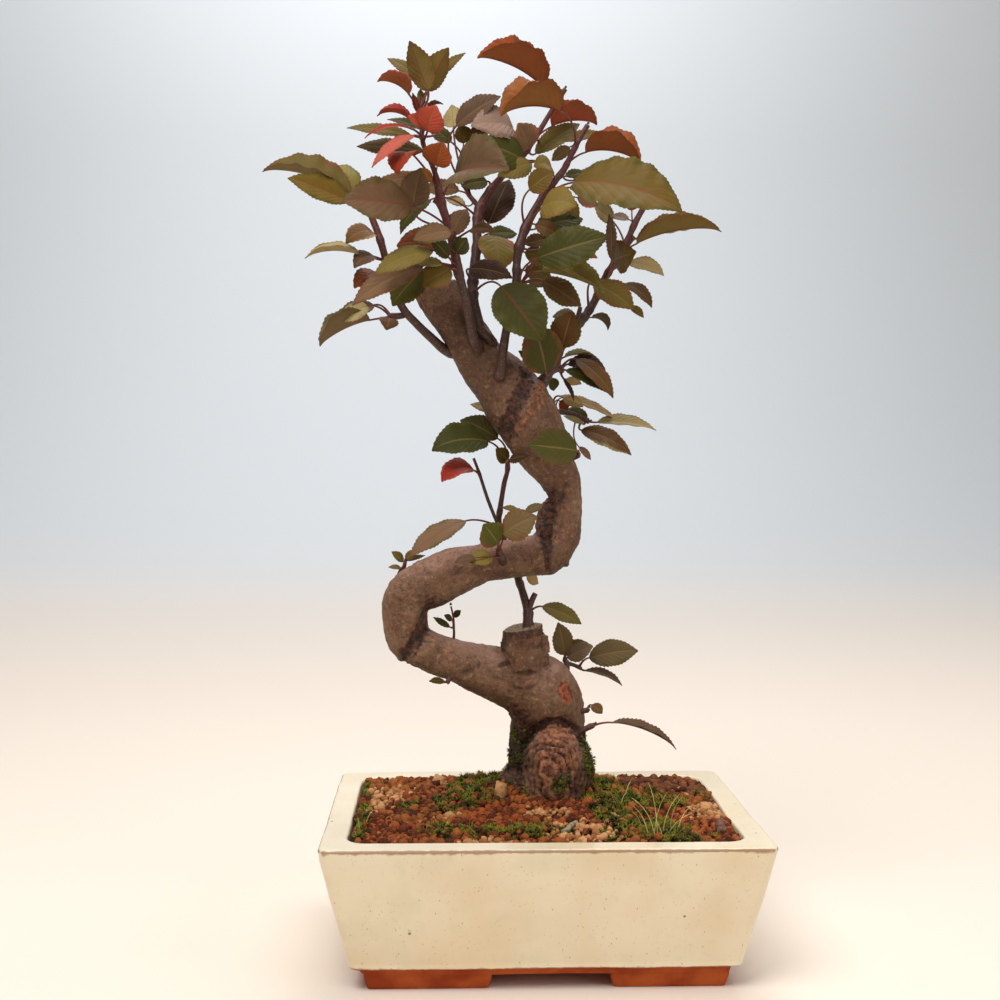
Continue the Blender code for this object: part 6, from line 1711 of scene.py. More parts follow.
@dataclass
class Pot:
    """Rectangular pot with a flat rim, glazed down to a bare band, on corner feet."""

    rim_half_x: float = 105.0
    rim_half_y: float = 75.0
    rim_width: float = 12.4
    rim_top: float = 70.0
    rim_round: float = 1.5
    glaze_foot: float = 11.0
    band_foot: float = 7.5
    taper_x: float = 12.5
    taper_y: float = 11.0
    band_inset_x: float = 4.0
    band_inset_y: float = 2.0
    band_slope: float = 1.5
    glaze_lip: float = 0.9
    floor_top: float = 14.0
    inner_taper: float = 8.0
    outer_corner: float = 5.0
    inner_corner: float = 10.0
    corner_points: int = 10
    side_points: int = 40
    drain_x: float = 45.0
    drain_radius: float = 8.0
    foot_left: tuple[float, float] = (-85.0, -25.0)
    foot_right: tuple[float, float] = (29.5, 86.0)
    foot_half_y: float = 60.0
    foot_width: float = 14.0
    foot_return: float = 36.0
    foot_lean: float = 2.0
    waviness: float = 0.42

    def outline(self, half_x: float, half_y: float, corner: float) -> list[tuple[float, float]]:
        """Points of a rounded rectangle, close together at its corners."""
        points = []
        for sign_x, sign_y, start in ((1, 1, 0), (-1, 1, 90), (-1, -1, 180), (1, -1, 270)):
            arc = []
            for k in range(self.corner_points + 1):
                angle = math.radians(start + 90 * k / self.corner_points)
                arc.append((sign_x * (half_x - corner) + corner * math.cos(angle),
                            sign_y * (half_y - corner) + corner * math.sin(angle)))
            if points:
                points += self.between(points[-1], arc[0])
            points += arc
        return points + self.between(points[-1], points[0])

    def between(self, start: tuple[float, float],
                end: tuple[float, float]) -> list[tuple[float, float]]:
        """Points along a straight side, without its ends."""
        return [tuple(a + (b - a) * k / self.side_points for a, b in zip(start, end))
                for k in range(1, self.side_points)]

    def profile(self) -> list[tuple[float, float, float, float]]:
        """Half sizes, corner radius and height of every ring, from the foot to the floor."""
        inner_x, inner_y = self.rim_half_x - self.rim_width, self.rim_half_y - self.rim_width
        foot_x, foot_y = self.rim_half_x - self.taper_x, self.rim_half_y - self.taper_y
        band_x, band_y = foot_x - self.band_inset_x, foot_y - self.band_inset_y
        rows = [(band_x - self.band_slope, band_y - self.band_slope, 5.0, self.band_foot)]
        for k in range(1, 5):
            share = k / 4
            rows.append((band_x - self.band_slope * (1 - share),
                         band_y - self.band_slope * (1 - share), 5.0,
                         self.band_foot + (self.glaze_foot - self.band_foot) * share))
        for k in range(7):
            angle = math.radians(-90 + 110 * k / 6)
            rows.append((foot_x - 1.0 + math.cos(angle), foot_y - 1.0 + math.cos(angle), 5.0,
                         self.glaze_foot + self.glaze_lip + self.glaze_lip * math.sin(angle)))
        rise = self.rim_top - self.rim_round - self.glaze_foot - 2 * self.glaze_lip
        for k in range(1, 26):
            share = k / 26
            rows.append((foot_x + self.taper_x * share, foot_y + self.taper_y * share, 5.0,
                         self.glaze_foot + 2 * self.glaze_lip + rise * share))
        for k in range(9):
            angle = math.radians(90 * k / 8)
            inset = self.rim_round * (1 - math.cos(angle))
            rows.append((self.rim_half_x - inset, self.rim_half_y - inset,
                         self.outer_corner - inset * 0.6,
                         self.rim_top - self.rim_round * (1 - math.sin(angle))))
        for k in range(1, 7):
            inset = self.rim_round + (self.rim_width - 2 * self.rim_round) * k / 7
            rows.append((self.rim_half_x - inset, self.rim_half_y - inset,
                         self.outer_corner + (self.inner_corner - self.outer_corner) * k / 7,
                         self.rim_top - 0.12))
        for k in range(9):
            angle = math.radians(90 * k / 8)
            rows.append((inner_x + self.rim_round * (1 - math.sin(angle)),
                         inner_y + self.rim_round * (1 - math.sin(angle)), self.inner_corner,
                         self.rim_top - self.rim_round * (1 - math.cos(angle))))
        drop = self.rim_top - self.rim_round - self.floor_top
        for k in range(1, 11):
            share = k / 10
            rows.append((inner_x - self.inner_taper * share, inner_y - self.inner_taper * share,
                         self.inner_corner, self.rim_top - self.rim_round - drop * share))
        return rows

    def foot(self, ends: tuple[float, float],
             side: int) -> tuple[np.ndarray, list[tuple[int, ...]]]:
        """Corner foot: a bar along the front or back with a return along the short side."""
        inner, outer = (ends[1], ends[0]) if abs(ends[0]) > abs(ends[1]) else ends
        away = math.copysign(1.0, outer)
        reach, bar, turn = (size * side for size in (self.foot_half_y, self.foot_width,
                                                     self.foot_return))
        corners = [(inner, reach), (outer, reach), (outer, reach - turn),
                   (outer - away * self.foot_width, reach - turn),
                   (outer - away * self.foot_width, reach - bar), (inner, reach - bar)]
        rounded = []
        for k, (x, y) in enumerate(corners):
            here = Vector((x, y))
            before, after = Vector(corners[k - 1]), Vector(corners[(k + 1) % len(corners)])
            start = here + (before - here).normalized() * 2.2
            end = here + (after - here).normalized() * 2.2
            for j in range(6):
                t = j / 5
                rounded.append(start * (1 - t) ** 2 + here * 2 * t * (1 - t) + end * t * t)
            gap = (after - here).length - 4.4
            toward = (after - here).normalized()
            for j in range(1, max(2, round(gap / 3.0))):
                rounded.append(end + toward * gap * j / max(2, round(gap / 3.0)))
        middle = Vector((sum(x for x, _ in corners), sum(y for _, y in corners))) / len(corners)
        levels = ((self.band_foot + 1.0, 0.0), (5.5, 0.3), (3.0, 0.9), (1.2, 1.4), (0.35, 1.8),
                  (0.0, self.foot_lean + 0.5))
        return ringed([[(point.x - inset * math.copysign(1, (point - middle).x),
                         point.y - inset * math.copysign(1, (point - middle).y), height)
                        for point in rounded] for height, inset in levels])

    def build(self, glaze: bpy.types.Material, clay: bpy.types.Material) -> bpy.types.Object:
        """Make the pot, with its drain holes, and put it for its CAD node."""
        rings = []
        for half_x, half_y, corner, height in self.profile():
            rings.append([])
            for x, y in self.outline(half_x, half_y, corner):
                wave = noise.noise(Vector((x * 0.022, y * 0.022, height * 0.03)))
                tremor = noise.noise(Vector((x * 0.07, y * 0.07, height * 0.06 + 9.0)))
                dent = noise.noise(Vector((x * 0.16, y * 0.16, height * 0.12 + 31.0)))
                off = self.waviness * (1.6 * wave + 0.6 * tremor + 0.35 * max(0.0, dent))
                off -= 0.4 * self.waviness
                if height > self.rim_top - 4.0:
                    off = min(0.0, off)
                lift = off * 0.8 if height > self.rim_top - 2.0 else 0.0
                if self.glaze_foot < height < self.glaze_foot + 2.5:
                    lift = 0.5 * tremor
                rings[-1].append((x + off * math.copysign(1, x),
                                  y + off * math.copysign(1, y), height + lift))
        skin = Skin()
        skin.add(*ringed(rings))
        pot = skin.build("fine_pot")
        self.drill(pot)
        self.dress(pot, glaze, clay)
        return placed(pot, "pot", "pot")

    def drill(self, pot: bpy.types.Object) -> None:
        """Cut the drain holes and join the feet on."""
        for x in (-self.drain_x, self.drain_x):
            cutter = bmesh.new()
            bmesh.ops.create_cone(cutter, segments=40, radius1=self.drain_radius,
                                  radius2=self.drain_radius, depth=20.0, cap_ends=True)
            bmesh.ops.translate(cutter, verts=cutter.verts,
                                vec=Vector((x, 0.0, self.floor_top - 3.0)))
            combined(pot, cutter, "DIFFERENCE")
        for side in (-1, 1):
            for ends in (self.foot_left, self.foot_right):
                combined(pot, solid(*self.foot(ends, side)), "UNION")

    def dress(self, pot: bpy.types.Object, glaze: bpy.types.Material,
              clay: bpy.types.Material) -> None:
        """Give each face its finish and mark the edges where the glaze runs thin."""
        mesh = pot.data
        mesh.materials.clear()
        mesh.materials.append(glaze)
        mesh.materials.append(clay)
        for face in mesh.polygons:
            x, y, z = face.center / MM - SHIFT
            inset = self.rim_width - 0.6 + self.inner_taper * (self.rim_top - z) / self.rim_top
            inside = abs(x) < self.rim_half_x - inset and abs(y) < self.rim_half_y - inset
            face.material_index = int(z < self.glaze_foot + 0.25 or (inside and z < 58.0))
        marks = []
        for vert in mesh.vertices:
            x, y, z = vert.co / MM - SHIFT
            share = (self.rim_top - z) / (self.rim_top - self.glaze_foot)
            corner_x = self.rim_half_x - self.taper_x * share - abs(x)
            corner_y = self.rim_half_y - self.taper_y * share - abs(y)
            thin = math.exp(-((self.rim_top - z - 0.9) / 0.9) ** 2) * math.exp(
                -(min(corner_x, corner_y) / 1.6) ** 2)
            upright = 0.55 * math.exp(-((corner_x + corner_y) / 3.0) ** 2)
            upright *= held((z - 16.0) / 10.0)
            foot = 0.8 * math.exp(-((z - self.glaze_foot - 0.4) / 0.7) ** 2)
            marks.append((max(thin * 1.1, upright, foot), 0.0, 0.0))
        carry(mesh, "marks", np.array(marks))
        mesh.shade_smooth()
        work = bmesh.new()
        work.from_mesh(mesh)
        sharp = math.radians(35)
        for edge in work.edges:
            if len(edge.link_faces) == 2:
                slots = {face.material_index for face in edge.link_faces}
                edge.smooth = edge.calc_face_angle(0.0) < sharp and len(slots) == 1
        work.to_mesh(mesh)
        work.free()


def combined(target: bpy.types.Object, other: bmesh.types.BMesh, operation: str) -> None:
    """Join a closed shape in millimetres to a piece, or cut it out, and keep plain mesh."""
    for vert in other.verts:
        vert.co = (vert.co + SHIFT) * MM
    mesh = bpy.data.meshes.new("shape")
    other.to_mesh(mesh)
    other.free()
    tool = linked("shape", mesh)
    step = target.modifiers.new("combine", "BOOLEAN")
    step.object = tool
    step.operation = operation
    step.solver = "EXACT"
    old, target.data = target.data, shaped(target)
    bpy.data.meshes.remove(old)
    bpy.data.objects.remove(tool)
    bpy.data.meshes.remove(mesh)


@dataclass(frozen=True)
class Patch:
    """Elliptic patch of the soil surface: middle, half sizes and strength."""

    x: float
    y: float
    half_x: float
    half_y: float
    strength: float = 1.0

    def share(self, x: np.ndarray, y: np.ndarray) -> np.ndarray:
        """Strength at places, falling off past the half sizes."""
        far = ((x - self.x) / self.half_x) ** 2 + ((y - self.y) / self.half_y) ** 2
        return self.strength * np.clip(1.6 - far, 0.0, 1.0)


@dataclass(frozen=True)
class Scatter:
    """How repeated shapes are strewn over a surface, in millimetres."""

    name: str
    layer: str
    spacing: float
    smallest: float
    largest: float
    seed: int
    upright: bool = False


TAN_PATCHES = (
    Patch(-80, 22, 13, 18), Patch(-83, -4, 7, 12, 0.8), Patch(19, -46, 18, 15),
    Patch(3, -20, 11, 5), Patch(84, -10, 8, 15), Patch(-28, -57, 16, 4, 0.5),
    Patch(38, -26, 5, 5, 0.7), Patch(46, 52, 14, 8, 0.9), Patch(-51, 42, 6, 6, 0.6),
    Patch(-48, -20, 5, 5, 0.45),
)
PELLET_PATCHES = (Patch(72, 36, 26, 19), Patch(86, 2, 5, 6, 0.6))
MOSS_PATCHES = (
    Patch(-90, -12, 4.5, 50), Patch(-36, 2, 17, 14), Patch(-31, 36, 15, 20),
    Patch(-12, -46, 26, 9, 0.85), Patch(34, 2, 11, 30), Patch(48, -42, 20, 19),
    Patch(58, 2, 17, 12, 0.9), Patch(87, 20, 6, 6, 0.8), Patch(-66, 2, 8, 5, 0.6),
    Patch(-46, -42, 10, 9, 0.6), Patch(66, -52, 12, 8, 0.8),
)


@dataclass
class Soil:
    """Granular soil: a low mound strewn with baked clay grains, pellets and moss."""

    edge: float = 68.3
    rise: float = 8.7
    mound_x: float = 7.0
    mound_y: float = 18.0
    spread_x: float = 55.0
    spread_y: float = 38.0
    floor: float = 15.6
    half_x: float = 91.5
    half_y: float = 61.5
    floor_half_x: float = 84.2
    floor_half_y: float = 54.2
    corner: float = 9.5
    sunk: float = 1.4
    uneven: float = 1.7
    moss_rise: float = 1.2
    cells_x: int = 150
    cells_y: int = 100
    column: tuple[float, float, float] = (6.0, 27.0, 21.5)
    stump: tuple[float, float, float, float] = (9.5, 8.0, 15.0, 13.0)
    reds: Scatter = Scatter("akadama_fine", "red", 1.6, 1.5, 4.2, 5)
    reds_large: Scatter = Scatter("akadama_large", "red_large", 3.7, 3.6, 6.8, 6)
    tans: Scatter = Scatter("tan_grains", "tan", 3.0, 2.6, 5.4, 7)
    strays: Scatter = Scatter("stray_grains", "stray", 5.0, 2.4, 4.6, 17)
    pellets: Scatter = Scatter("dark_pellets", "pellet", 3.7, 4.6, 6.8, 8)
    tufts: Scatter = Scatter("soil_moss", "moss", 0.97, 1.6, 4.0, 9, True)

    def height(self, x: np.ndarray, y: np.ndarray) -> np.ndarray:
        """Height of the mound, uneven away from the pot's wall."""
        across = ((x - self.mound_x) / self.spread_x) ** 2
        across = across + ((y - self.mound_y) / self.spread_y) ** 2
        inside = np.clip(np.minimum(self.half_x - np.abs(x), self.half_y - np.abs(y)) / 6, 0, 1)
        uneven = np.array([noise.noise(Vector((a * 0.1, b * 0.1, 4.0)))
                           + 0.7 * noise.noise(Vector((a * 0.23, b * 0.23, 14.0)))
                           for a, b in zip(x.ravel(), y.ravel())]).reshape(x.shape)
        return self.edge + self.rise * np.exp(-across) + self.uneven * uneven * inside

    def grid(self, inset: float) -> tuple[np.ndarray, np.ndarray]:
        """Places of a grid that fills the pot's rounded inner outline."""
        half_x, half_y = self.half_x - inset, self.half_y - inset
        x, y = np.meshgrid(np.linspace(-half_x, half_x, self.cells_x + 1),
                           np.linspace(-half_y, half_y, self.cells_y + 1))
        over_x = np.maximum(0.0, np.abs(x) - (half_x - self.corner))
        over_y = np.maximum(0.0, np.abs(y) - (half_y - self.corner))
        reach = np.hypot(over_x, over_y)
        pull = np.where(reach > 0, np.maximum(over_x, over_y) / np.maximum(reach, 1e-9), 1.0)
        both = (over_x > 0) & (over_y > 0)
        x = np.where(both, np.sign(x) * (half_x - self.corner + over_x * pull), x)
        y = np.where(both, np.sign(y) * (half_y - self.corner + over_y * pull), y)
        return x, y

    def layers(self, x: np.ndarray, y: np.ndarray) -> dict[str, np.ndarray]:
        """Share of each cover at places of the surface."""
        spots = np.array([[noise.noise(Vector((a * 0.13, b * 0.13, seed))) for seed in (1, 5, 9)]
                          for a, b in zip(x.ravel(), y.ravel())]).T.reshape(3, *x.shape)
        free = np.ones_like(x)
        free *= np.hypot(x - self.column[0], y - self.column[1]) > self.column[2]
        free *= np.hypot((x - self.stump[0]) / self.stump[2],
                         (y - self.stump[1]) / self.stump[3]) > 1.0
        tan = sum(patch.share(x, y) for patch in TAN_PATCHES)
        pellet = sum(patch.share(x, y) for patch in PELLET_PATCHES)
        moss = sum(patch.share(x, y) for patch in MOSS_PATCHES)
        tan_on = (tan + 1.3 * spots[0] > 0.5) & (tan > 0.05)
        pellet_on = (pellet + 0.7 * spots[1] > 0.42) & (pellet > 0.05)
        moss_on = (moss + 1.7 * spots[2] > 0.55) & (moss > 0.05)
        red = ~(tan_on | pellet_on)
        return {"tan": free * tan_on * np.where(moss_on, 0.4, 1.0),
                "pellet": free * pellet_on,
                "moss": free * moss_on * np.where(tan_on | pellet_on, 0.3, 1.0),
                "red": free * red * np.where(moss_on, 0.35, 1.0),
                "red_large": free * red * np.where(moss_on, 0.16, 1.0),
                "stray": free * np.where(moss_on, 0.05, 0.1)}

    def build(self, ground: bpy.types.Material) -> bpy.types.Object:
        """Make the closed body of soil under the grains."""
        x, y = self.grid(0.0)
        z = self.height(x, y) - self.sunk
        for j in range(self.cells_y + 1):
            for i in range(self.cells_x + 1):
                z[j, i] += 0.7 * noise.noise(Vector((x[j, i] * 0.4, y[j, i] * 0.4, 2.0)))
        top = np.stack([x, y, z], axis=2).reshape(-1, 3)
        width = self.cells_x + 1
        faces = []
        for j in range(self.cells_y):
            for i in range(self.cells_x):
                a = j * width + i
                faces.append((a, a + 1, a + 1 + width, a + width))
        last = self.cells_y * width
        border = (list(range(width - 1)) + list(range(width - 1, last + width - 1, width))
                  + list(range(last + width - 1, last, -1)) + list(range(last, 0, -width)))
        low = top[border] * np.array([self.floor_half_x / self.half_x,
                                      self.floor_half_y / self.half_y, 0.0])
        low[:, 2] = self.floor
        ring = list(range(len(top), len(top) + len(border)))
        faces += strips([ring, border]) + [tuple(ring)]
        skin = Skin()
        skin.add(np.concatenate([top, low]), faces)
        return placed(skin.build("fine_soil", ground), "soil", "soil")

    def carrier(self) -> bpy.types.Object:
        """Open surface, never shown, on which the grains and the moss are strewn."""
        x, y = self.grid(1.3)
        covers = self.layers(x, y)
        clump = np.array([noise.noise(Vector((a * 0.3, b * 0.3, 24.0)))
                          for a, b in zip(x.ravel(), y.ravel())]).reshape(x.shape)
        z = self.height(x, y) + self.moss_rise * (0.8 + 2.4 * clump) * np.clip(
            covers["moss"], 0.0, 1.0)
        width = self.cells_x + 1
        faces = [(j * width + i, j * width + i + 1, (j + 1) * width + i + 1, (j + 1) * width + i)
                 for j in range(self.cells_y) for i in range(self.cells_x)]
        mesh = bpy.data.meshes.new("ground")
        points = (np.stack([x, y, z], axis=2).reshape(-1, 3) + np.array(SHIFT)) * MM
        mesh.from_pydata(points.tolist(), [], faces)
        for name, rows in covers.items():
            carry(mesh, name, rows.ravel())
        return linked("ground", mesh)


def lump(draw: random.Random, corners: int, rough: float) -> bmesh.types.BMesh:
    """Rounded angular grain, one across."""
    work = bmesh.new()
    flat = (draw.uniform(0.85, 1.0), draw.uniform(0.7, 0.95), draw.uniform(0.62, 0.85))
    for k in range(corners):
        height = 1 - 2 * (k + 0.5) / corners
        angle = math.pi * (3 - math.sqrt(5)) * k + draw.uniform(-0.3, 0.3)
        across = math.sqrt(1 - height * height)
        reach = 0.5 * (1 + draw.uniform(-rough, rough))
        work.verts.new((reach * across * math.cos(angle) * flat[0],
                        reach * across * math.sin(angle) * flat[1], reach * height * flat[2]))
    hull = bmesh.ops.convex_hull(work, input=work.verts)
    inner = [part for part in hull["geom_interior"] if isinstance(part, bmesh.types.BMVert)]
    bmesh.ops.delete(work, geom=inner, context="VERTS")
    return work


def tuft(draw: random.Random, leaflets: int = 5) -> bmesh.types.BMesh:
    """Tuft of moss: thin bent leaflets on one point, one high."""
    work = bmesh.new()
    for k in range(leaflets):
        turn = 2 * math.pi * (k + draw.uniform(-0.3, 0.3)) / leaflets
        lean = draw.uniform(0.15, 0.75)
        tall = draw.uniform(0.6, 1.0)
        out = Vector((math.cos(turn), math.sin(turn), 0.0))
        rings = []
        for share, wide in ((0.0, 0.075), (0.55, 0.085)):
            middle = out * (lean * tall * share ** 1.6) + Vector((0.0, 0.0, tall * share))
            rings.append([work.verts.new(middle + Vector((wide * math.cos(turn + a),
                                                          wide * math.sin(turn + a), 0.0)))
                          for a in (0.0, 2.1, 4.2)])
        tip = work.verts.new(out * lean * tall + Vector((0.0, 0.0, tall * 0.95)))
        for a in range(3):
            b = (a + 1) % 3
            work.faces.new((rings[0][a], rings[0][b], rings[1][b], rings[1][a]))
            work.faces.new((rings[1][a], rings[1][b], tip))
        work.faces.new(rings[0][::-1])
    return work


def family(name: str, shapes: list[bmesh.types.BMesh]) -> bpy.types.Collection:
    """Collection of shapes to strew, in metres per millimetre of size."""
    kept = bpy.data.collections.new(name)
    for k, work in enumerate(shapes):
        bmesh.ops.recalc_face_normals(work, faces=work.faces)
        bmesh.ops.scale(work, vec=Vector((MM, MM, MM)), verts=work.verts)
        mesh = bpy.data.meshes.new(f"{name}_{k}")
        work.to_mesh(mesh)
        work.free()
        mesh.shade_smooth()
        kept.objects.link(bpy.data.objects.new(f"{name}_{k}", mesh))
    return kept


def strewn(ground: bpy.types.Object, plan: Scatter, shapes: bpy.types.Collection,
           finish: bpy.types.Material, slot: str) -> bpy.types.Object:
    """Strew shapes over a surface by geometry nodes and keep the result as plain mesh.

    Args:
        ground: surface that carries the plan's layer as a share from 0 to 1.
        plan: spacing, sizes and seed.
        shapes: shapes to pick from.
        finish: their finish.
        slot: not used; it is only passed on to placed, which ignores it.

    Returns:
        The piece.
    """
    tree = bpy.data.node_groups.new(plan.name, "GeometryNodeTree")
    tree.interface.new_socket(name="Geometry", in_out="INPUT", socket_type="NodeSocketGeometry")
    fed = {}
    for name, value in (("Spacing", plan.spacing * MM), ("Smallest", plan.smallest),
                        ("Largest", plan.largest)):
        made = tree.interface.new_socket(name=name, in_out="INPUT", socket_type="NodeSocketFloat")
        fed[made.identifier] = value
    tree.interface.new_socket(name="Geometry", in_out="OUTPUT", socket_type="NodeSocketGeometry")
    graph = Graph(tree)
    start = graph.node("NodeGroupInput")
    share = graph.node("GeometryNodeInputNamedAttribute", {"data_type": "FLOAT"},
                       {"Name": plan.layer})
    spread = graph.node("GeometryNodeDistributePointsOnFaces", {"distribute_method": "POISSON"},
                        {"Mesh": start.outputs["Geometry"],
                         "Distance Min": start.outputs["Spacing"], "Density Max": 4.0e6,
                         "Density Factor": share.outputs["Attribute"], "Seed": plan.seed})
    pool = graph.node("GeometryNodeCollectionInfo", None,
                      {"Collection": shapes, "Separate Children": True, "Reset Children": True})
    draw = graph.value("FunctionNodeRandomValue", 1, {"data_type": "FLOAT"},
                       {"Seed": plan.seed + 1})
    smallest = Value(graph, start.outputs["Smallest"])
    span = Value(graph, start.outputs["Largest"]) - smallest
    size = smallest + span * draw ** 1.9
    full = 2 * math.pi
    tilt = 0.45 if plan.upright else full
    turn = graph.node("FunctionNodeRandomValue", {"data_type": "FLOAT_VECTOR"},
                      {"Min": (-tilt, -tilt, 0.0), "Max": (tilt, tilt, full),
                       "Seed": plan.seed + 2})
    way = turn.outputs["Value"]
    if plan.upright:
        stood = graph.node("FunctionNodeRotateRotation", {"rotation_space": "LOCAL"},
                           {"Rotation": spread.outputs["Rotation"], "Rotate By": way})
        way = stood.outputs["Rotation"]
    placed_on = graph.node("GeometryNodeInstanceOnPoints", None,
                           {"Points": spread.outputs["Points"],
                            "Instance": pool.outputs["Instances"], "Pick Instance": True,
                            "Rotation": way, "Scale": size})
    shade = graph.node("FunctionNodeRandomValue", {"data_type": "FLOAT_VECTOR"},
                       {"Seed": plan.seed + 3})
    kept = graph.node("GeometryNodeStoreNamedAttribute",
                      {"data_type": "FLOAT_VECTOR", "domain": "INSTANCE"},
                      {"Geometry": placed_on.outputs["Instances"], "Name": "shade",
                       "Value": shade.outputs["Value"]})
    real = graph.node("GeometryNodeRealizeInstances", None,
                      {"Geometry": kept.outputs["Geometry"]})
    clad = graph.node("GeometryNodeSetMaterial", None,
                      {"Geometry": real.outputs["Geometry"], "Material": finish})
    graph.node("NodeGroupOutput", None, {"Geometry": clad.outputs["Geometry"]})
    step = ground.modifiers.new(plan.name, "NODES")
    step.node_group = tree
    for identifier, value in fed.items():
        step[identifier] = value
    mesh = shaped(ground)
    mesh.name = plan.name
    mesh.shade_smooth()
    return placed(linked(plan.name, mesh), slot)


@dataclass
class Litter:
    """Larger lumps, loose dead pieces and grass on the soil."""

    surface: BVHTree
    lumps: tuple[tuple[float, float, float, float], ...] = (
        (-19.5, 0.0, 4.1, 1.3), (-51, 45, 3.9, 0.9), (37.5, -27, 3.4, 0.9), (-45, -20, 3.2, 1.2),
        (8, -52, 3.4, 0.8), (-82, 25, 4.4, 0.6), (84, -8, 3.8, 0.9), (26, -52, 3.1, 0.8),
        (-1, -18.5, 2.7, 0.8), (17, -36, 3.2, 1.1), (78, 18, 4.2, 0.7),
    )
    grass: tuple[tuple[float, float, float, float, float], ...] = (
        (50, -56, 30, 5, -3), (52, -54, 34, -4, 4), (55, -50, 26, 9, 5), (48, -52, 20, -7, 3),
        (60, -42, 24, 5, -6), (57, -52, 16, 12, 2), (51, -50, 22, -10, 6), (46, -45, 14, -5, -2),
        (63, -45, 17, 7, 4), (54, -57, 13, -3, 2), (-86, -30, 12, 4, 3), (-88, -40, 10, -1, 2),
        (44, 0, 13, 4, 5), (40, -12, 11, 3, 3),
    )

    def ground_at(self, x: float, y: float) -> float:
        """Height of the soil body at a place."""
        start = Vector((x, y, 140.0))
        return self.surface.ray_cast(start, Vector((0.0, 0.0, -1.0)))[0].z

    def build_lumps(self, finish: bpy.types.Material) -> bpy.types.Object:
        """Large tan lumps that stand out among the grains."""
        draw = random.Random(21)
        skin = Skin("shade")
        for x, y, radius, tall in self.lumps:
            work = lump(draw, 26, 0.2)
            bmesh.ops.subdivide_edges(work, edges=work.edges, cuts=2, smooth=0.3)
            points = np.array([vert.co for vert in work.verts])
            faces = [tuple(vert.index for vert in face.verts) for face in work.faces]
            work.free()
            for k, point in enumerate(points):
                spot = Vector(point) + Vector((x, y, 0.0))
                points[k] *= 1 + 0.34 * noise.noise(spot * 3.1) + 0.12 * noise.noise(spot * 8.0)
            size = 2 * radius
            points = points * np.array([size, size, size * tall * 1.2])
            low = self.ground_at(x, y)
            points += np.array([x, y, low - points[:, 2].min() - radius * 0.3])
            skin.add(points, faces, shade=(0.6 + 0.4 * draw.random(), draw.random(), 0.0))
        return placed(skin.build("tan_lumps", finish), "soil")

    def build_grass(self, finish: bpy.types.Material) -> bpy.types.Object:
        """Thin pale blades of grass, bent over at the top."""
        draw = random.Random(33)
        skin = Skin("shade")
        for x, y, tall, out_x, out_y in self.grass:
            foot = Vector((x, y, self.ground_at(x, y) - 0.5))
            points, radii = [], []
            for k in range(13):
                share = k / 12
                points.append(foot + Vector((out_x * share ** 2, out_y * share ** 2,
                                             tall * (share - 0.18 * share ** 3))))
                radii.append(0.22 * (1 - share) ** 0.6 + 0.06)
            made, faces = tube(points, radii, 6)
            skin.add(made, faces, shade=(draw.random(), draw.random(), draw.random()))
        return placed(skin.build("grass_blades", finish), "soil")

    def build_loose(self, name: str, rows: tuple, rough: float,
                    finish: bpy.types.Material) -> bpy.types.Object:
        """Dead piece that lies where its CAD node lies."""
        low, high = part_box(name)
        rest = (low[2] + high[2]) / 2 / MM
        points, radii = smooth_route([Vector((x, y, rest)) for x, y, _ in rows],
                                     [row[2] for row in rows], 0.8)
        made, faces = tube(points, radii, 16)
        for k, point in enumerate(made):
            ring = np.array(points[min(k // 16, len(points) - 1)])
            ridge = noise.noise(Vector((k % 16 * 0.9, k // 16 * 0.12, rough * 9)))
            made[k] = ring + (point - ring) * (1 + rough * ridge)
        skin = Skin()
        skin.add(made, faces)
        return placed(skin.build(f"fine_{name}", finish), name, name)


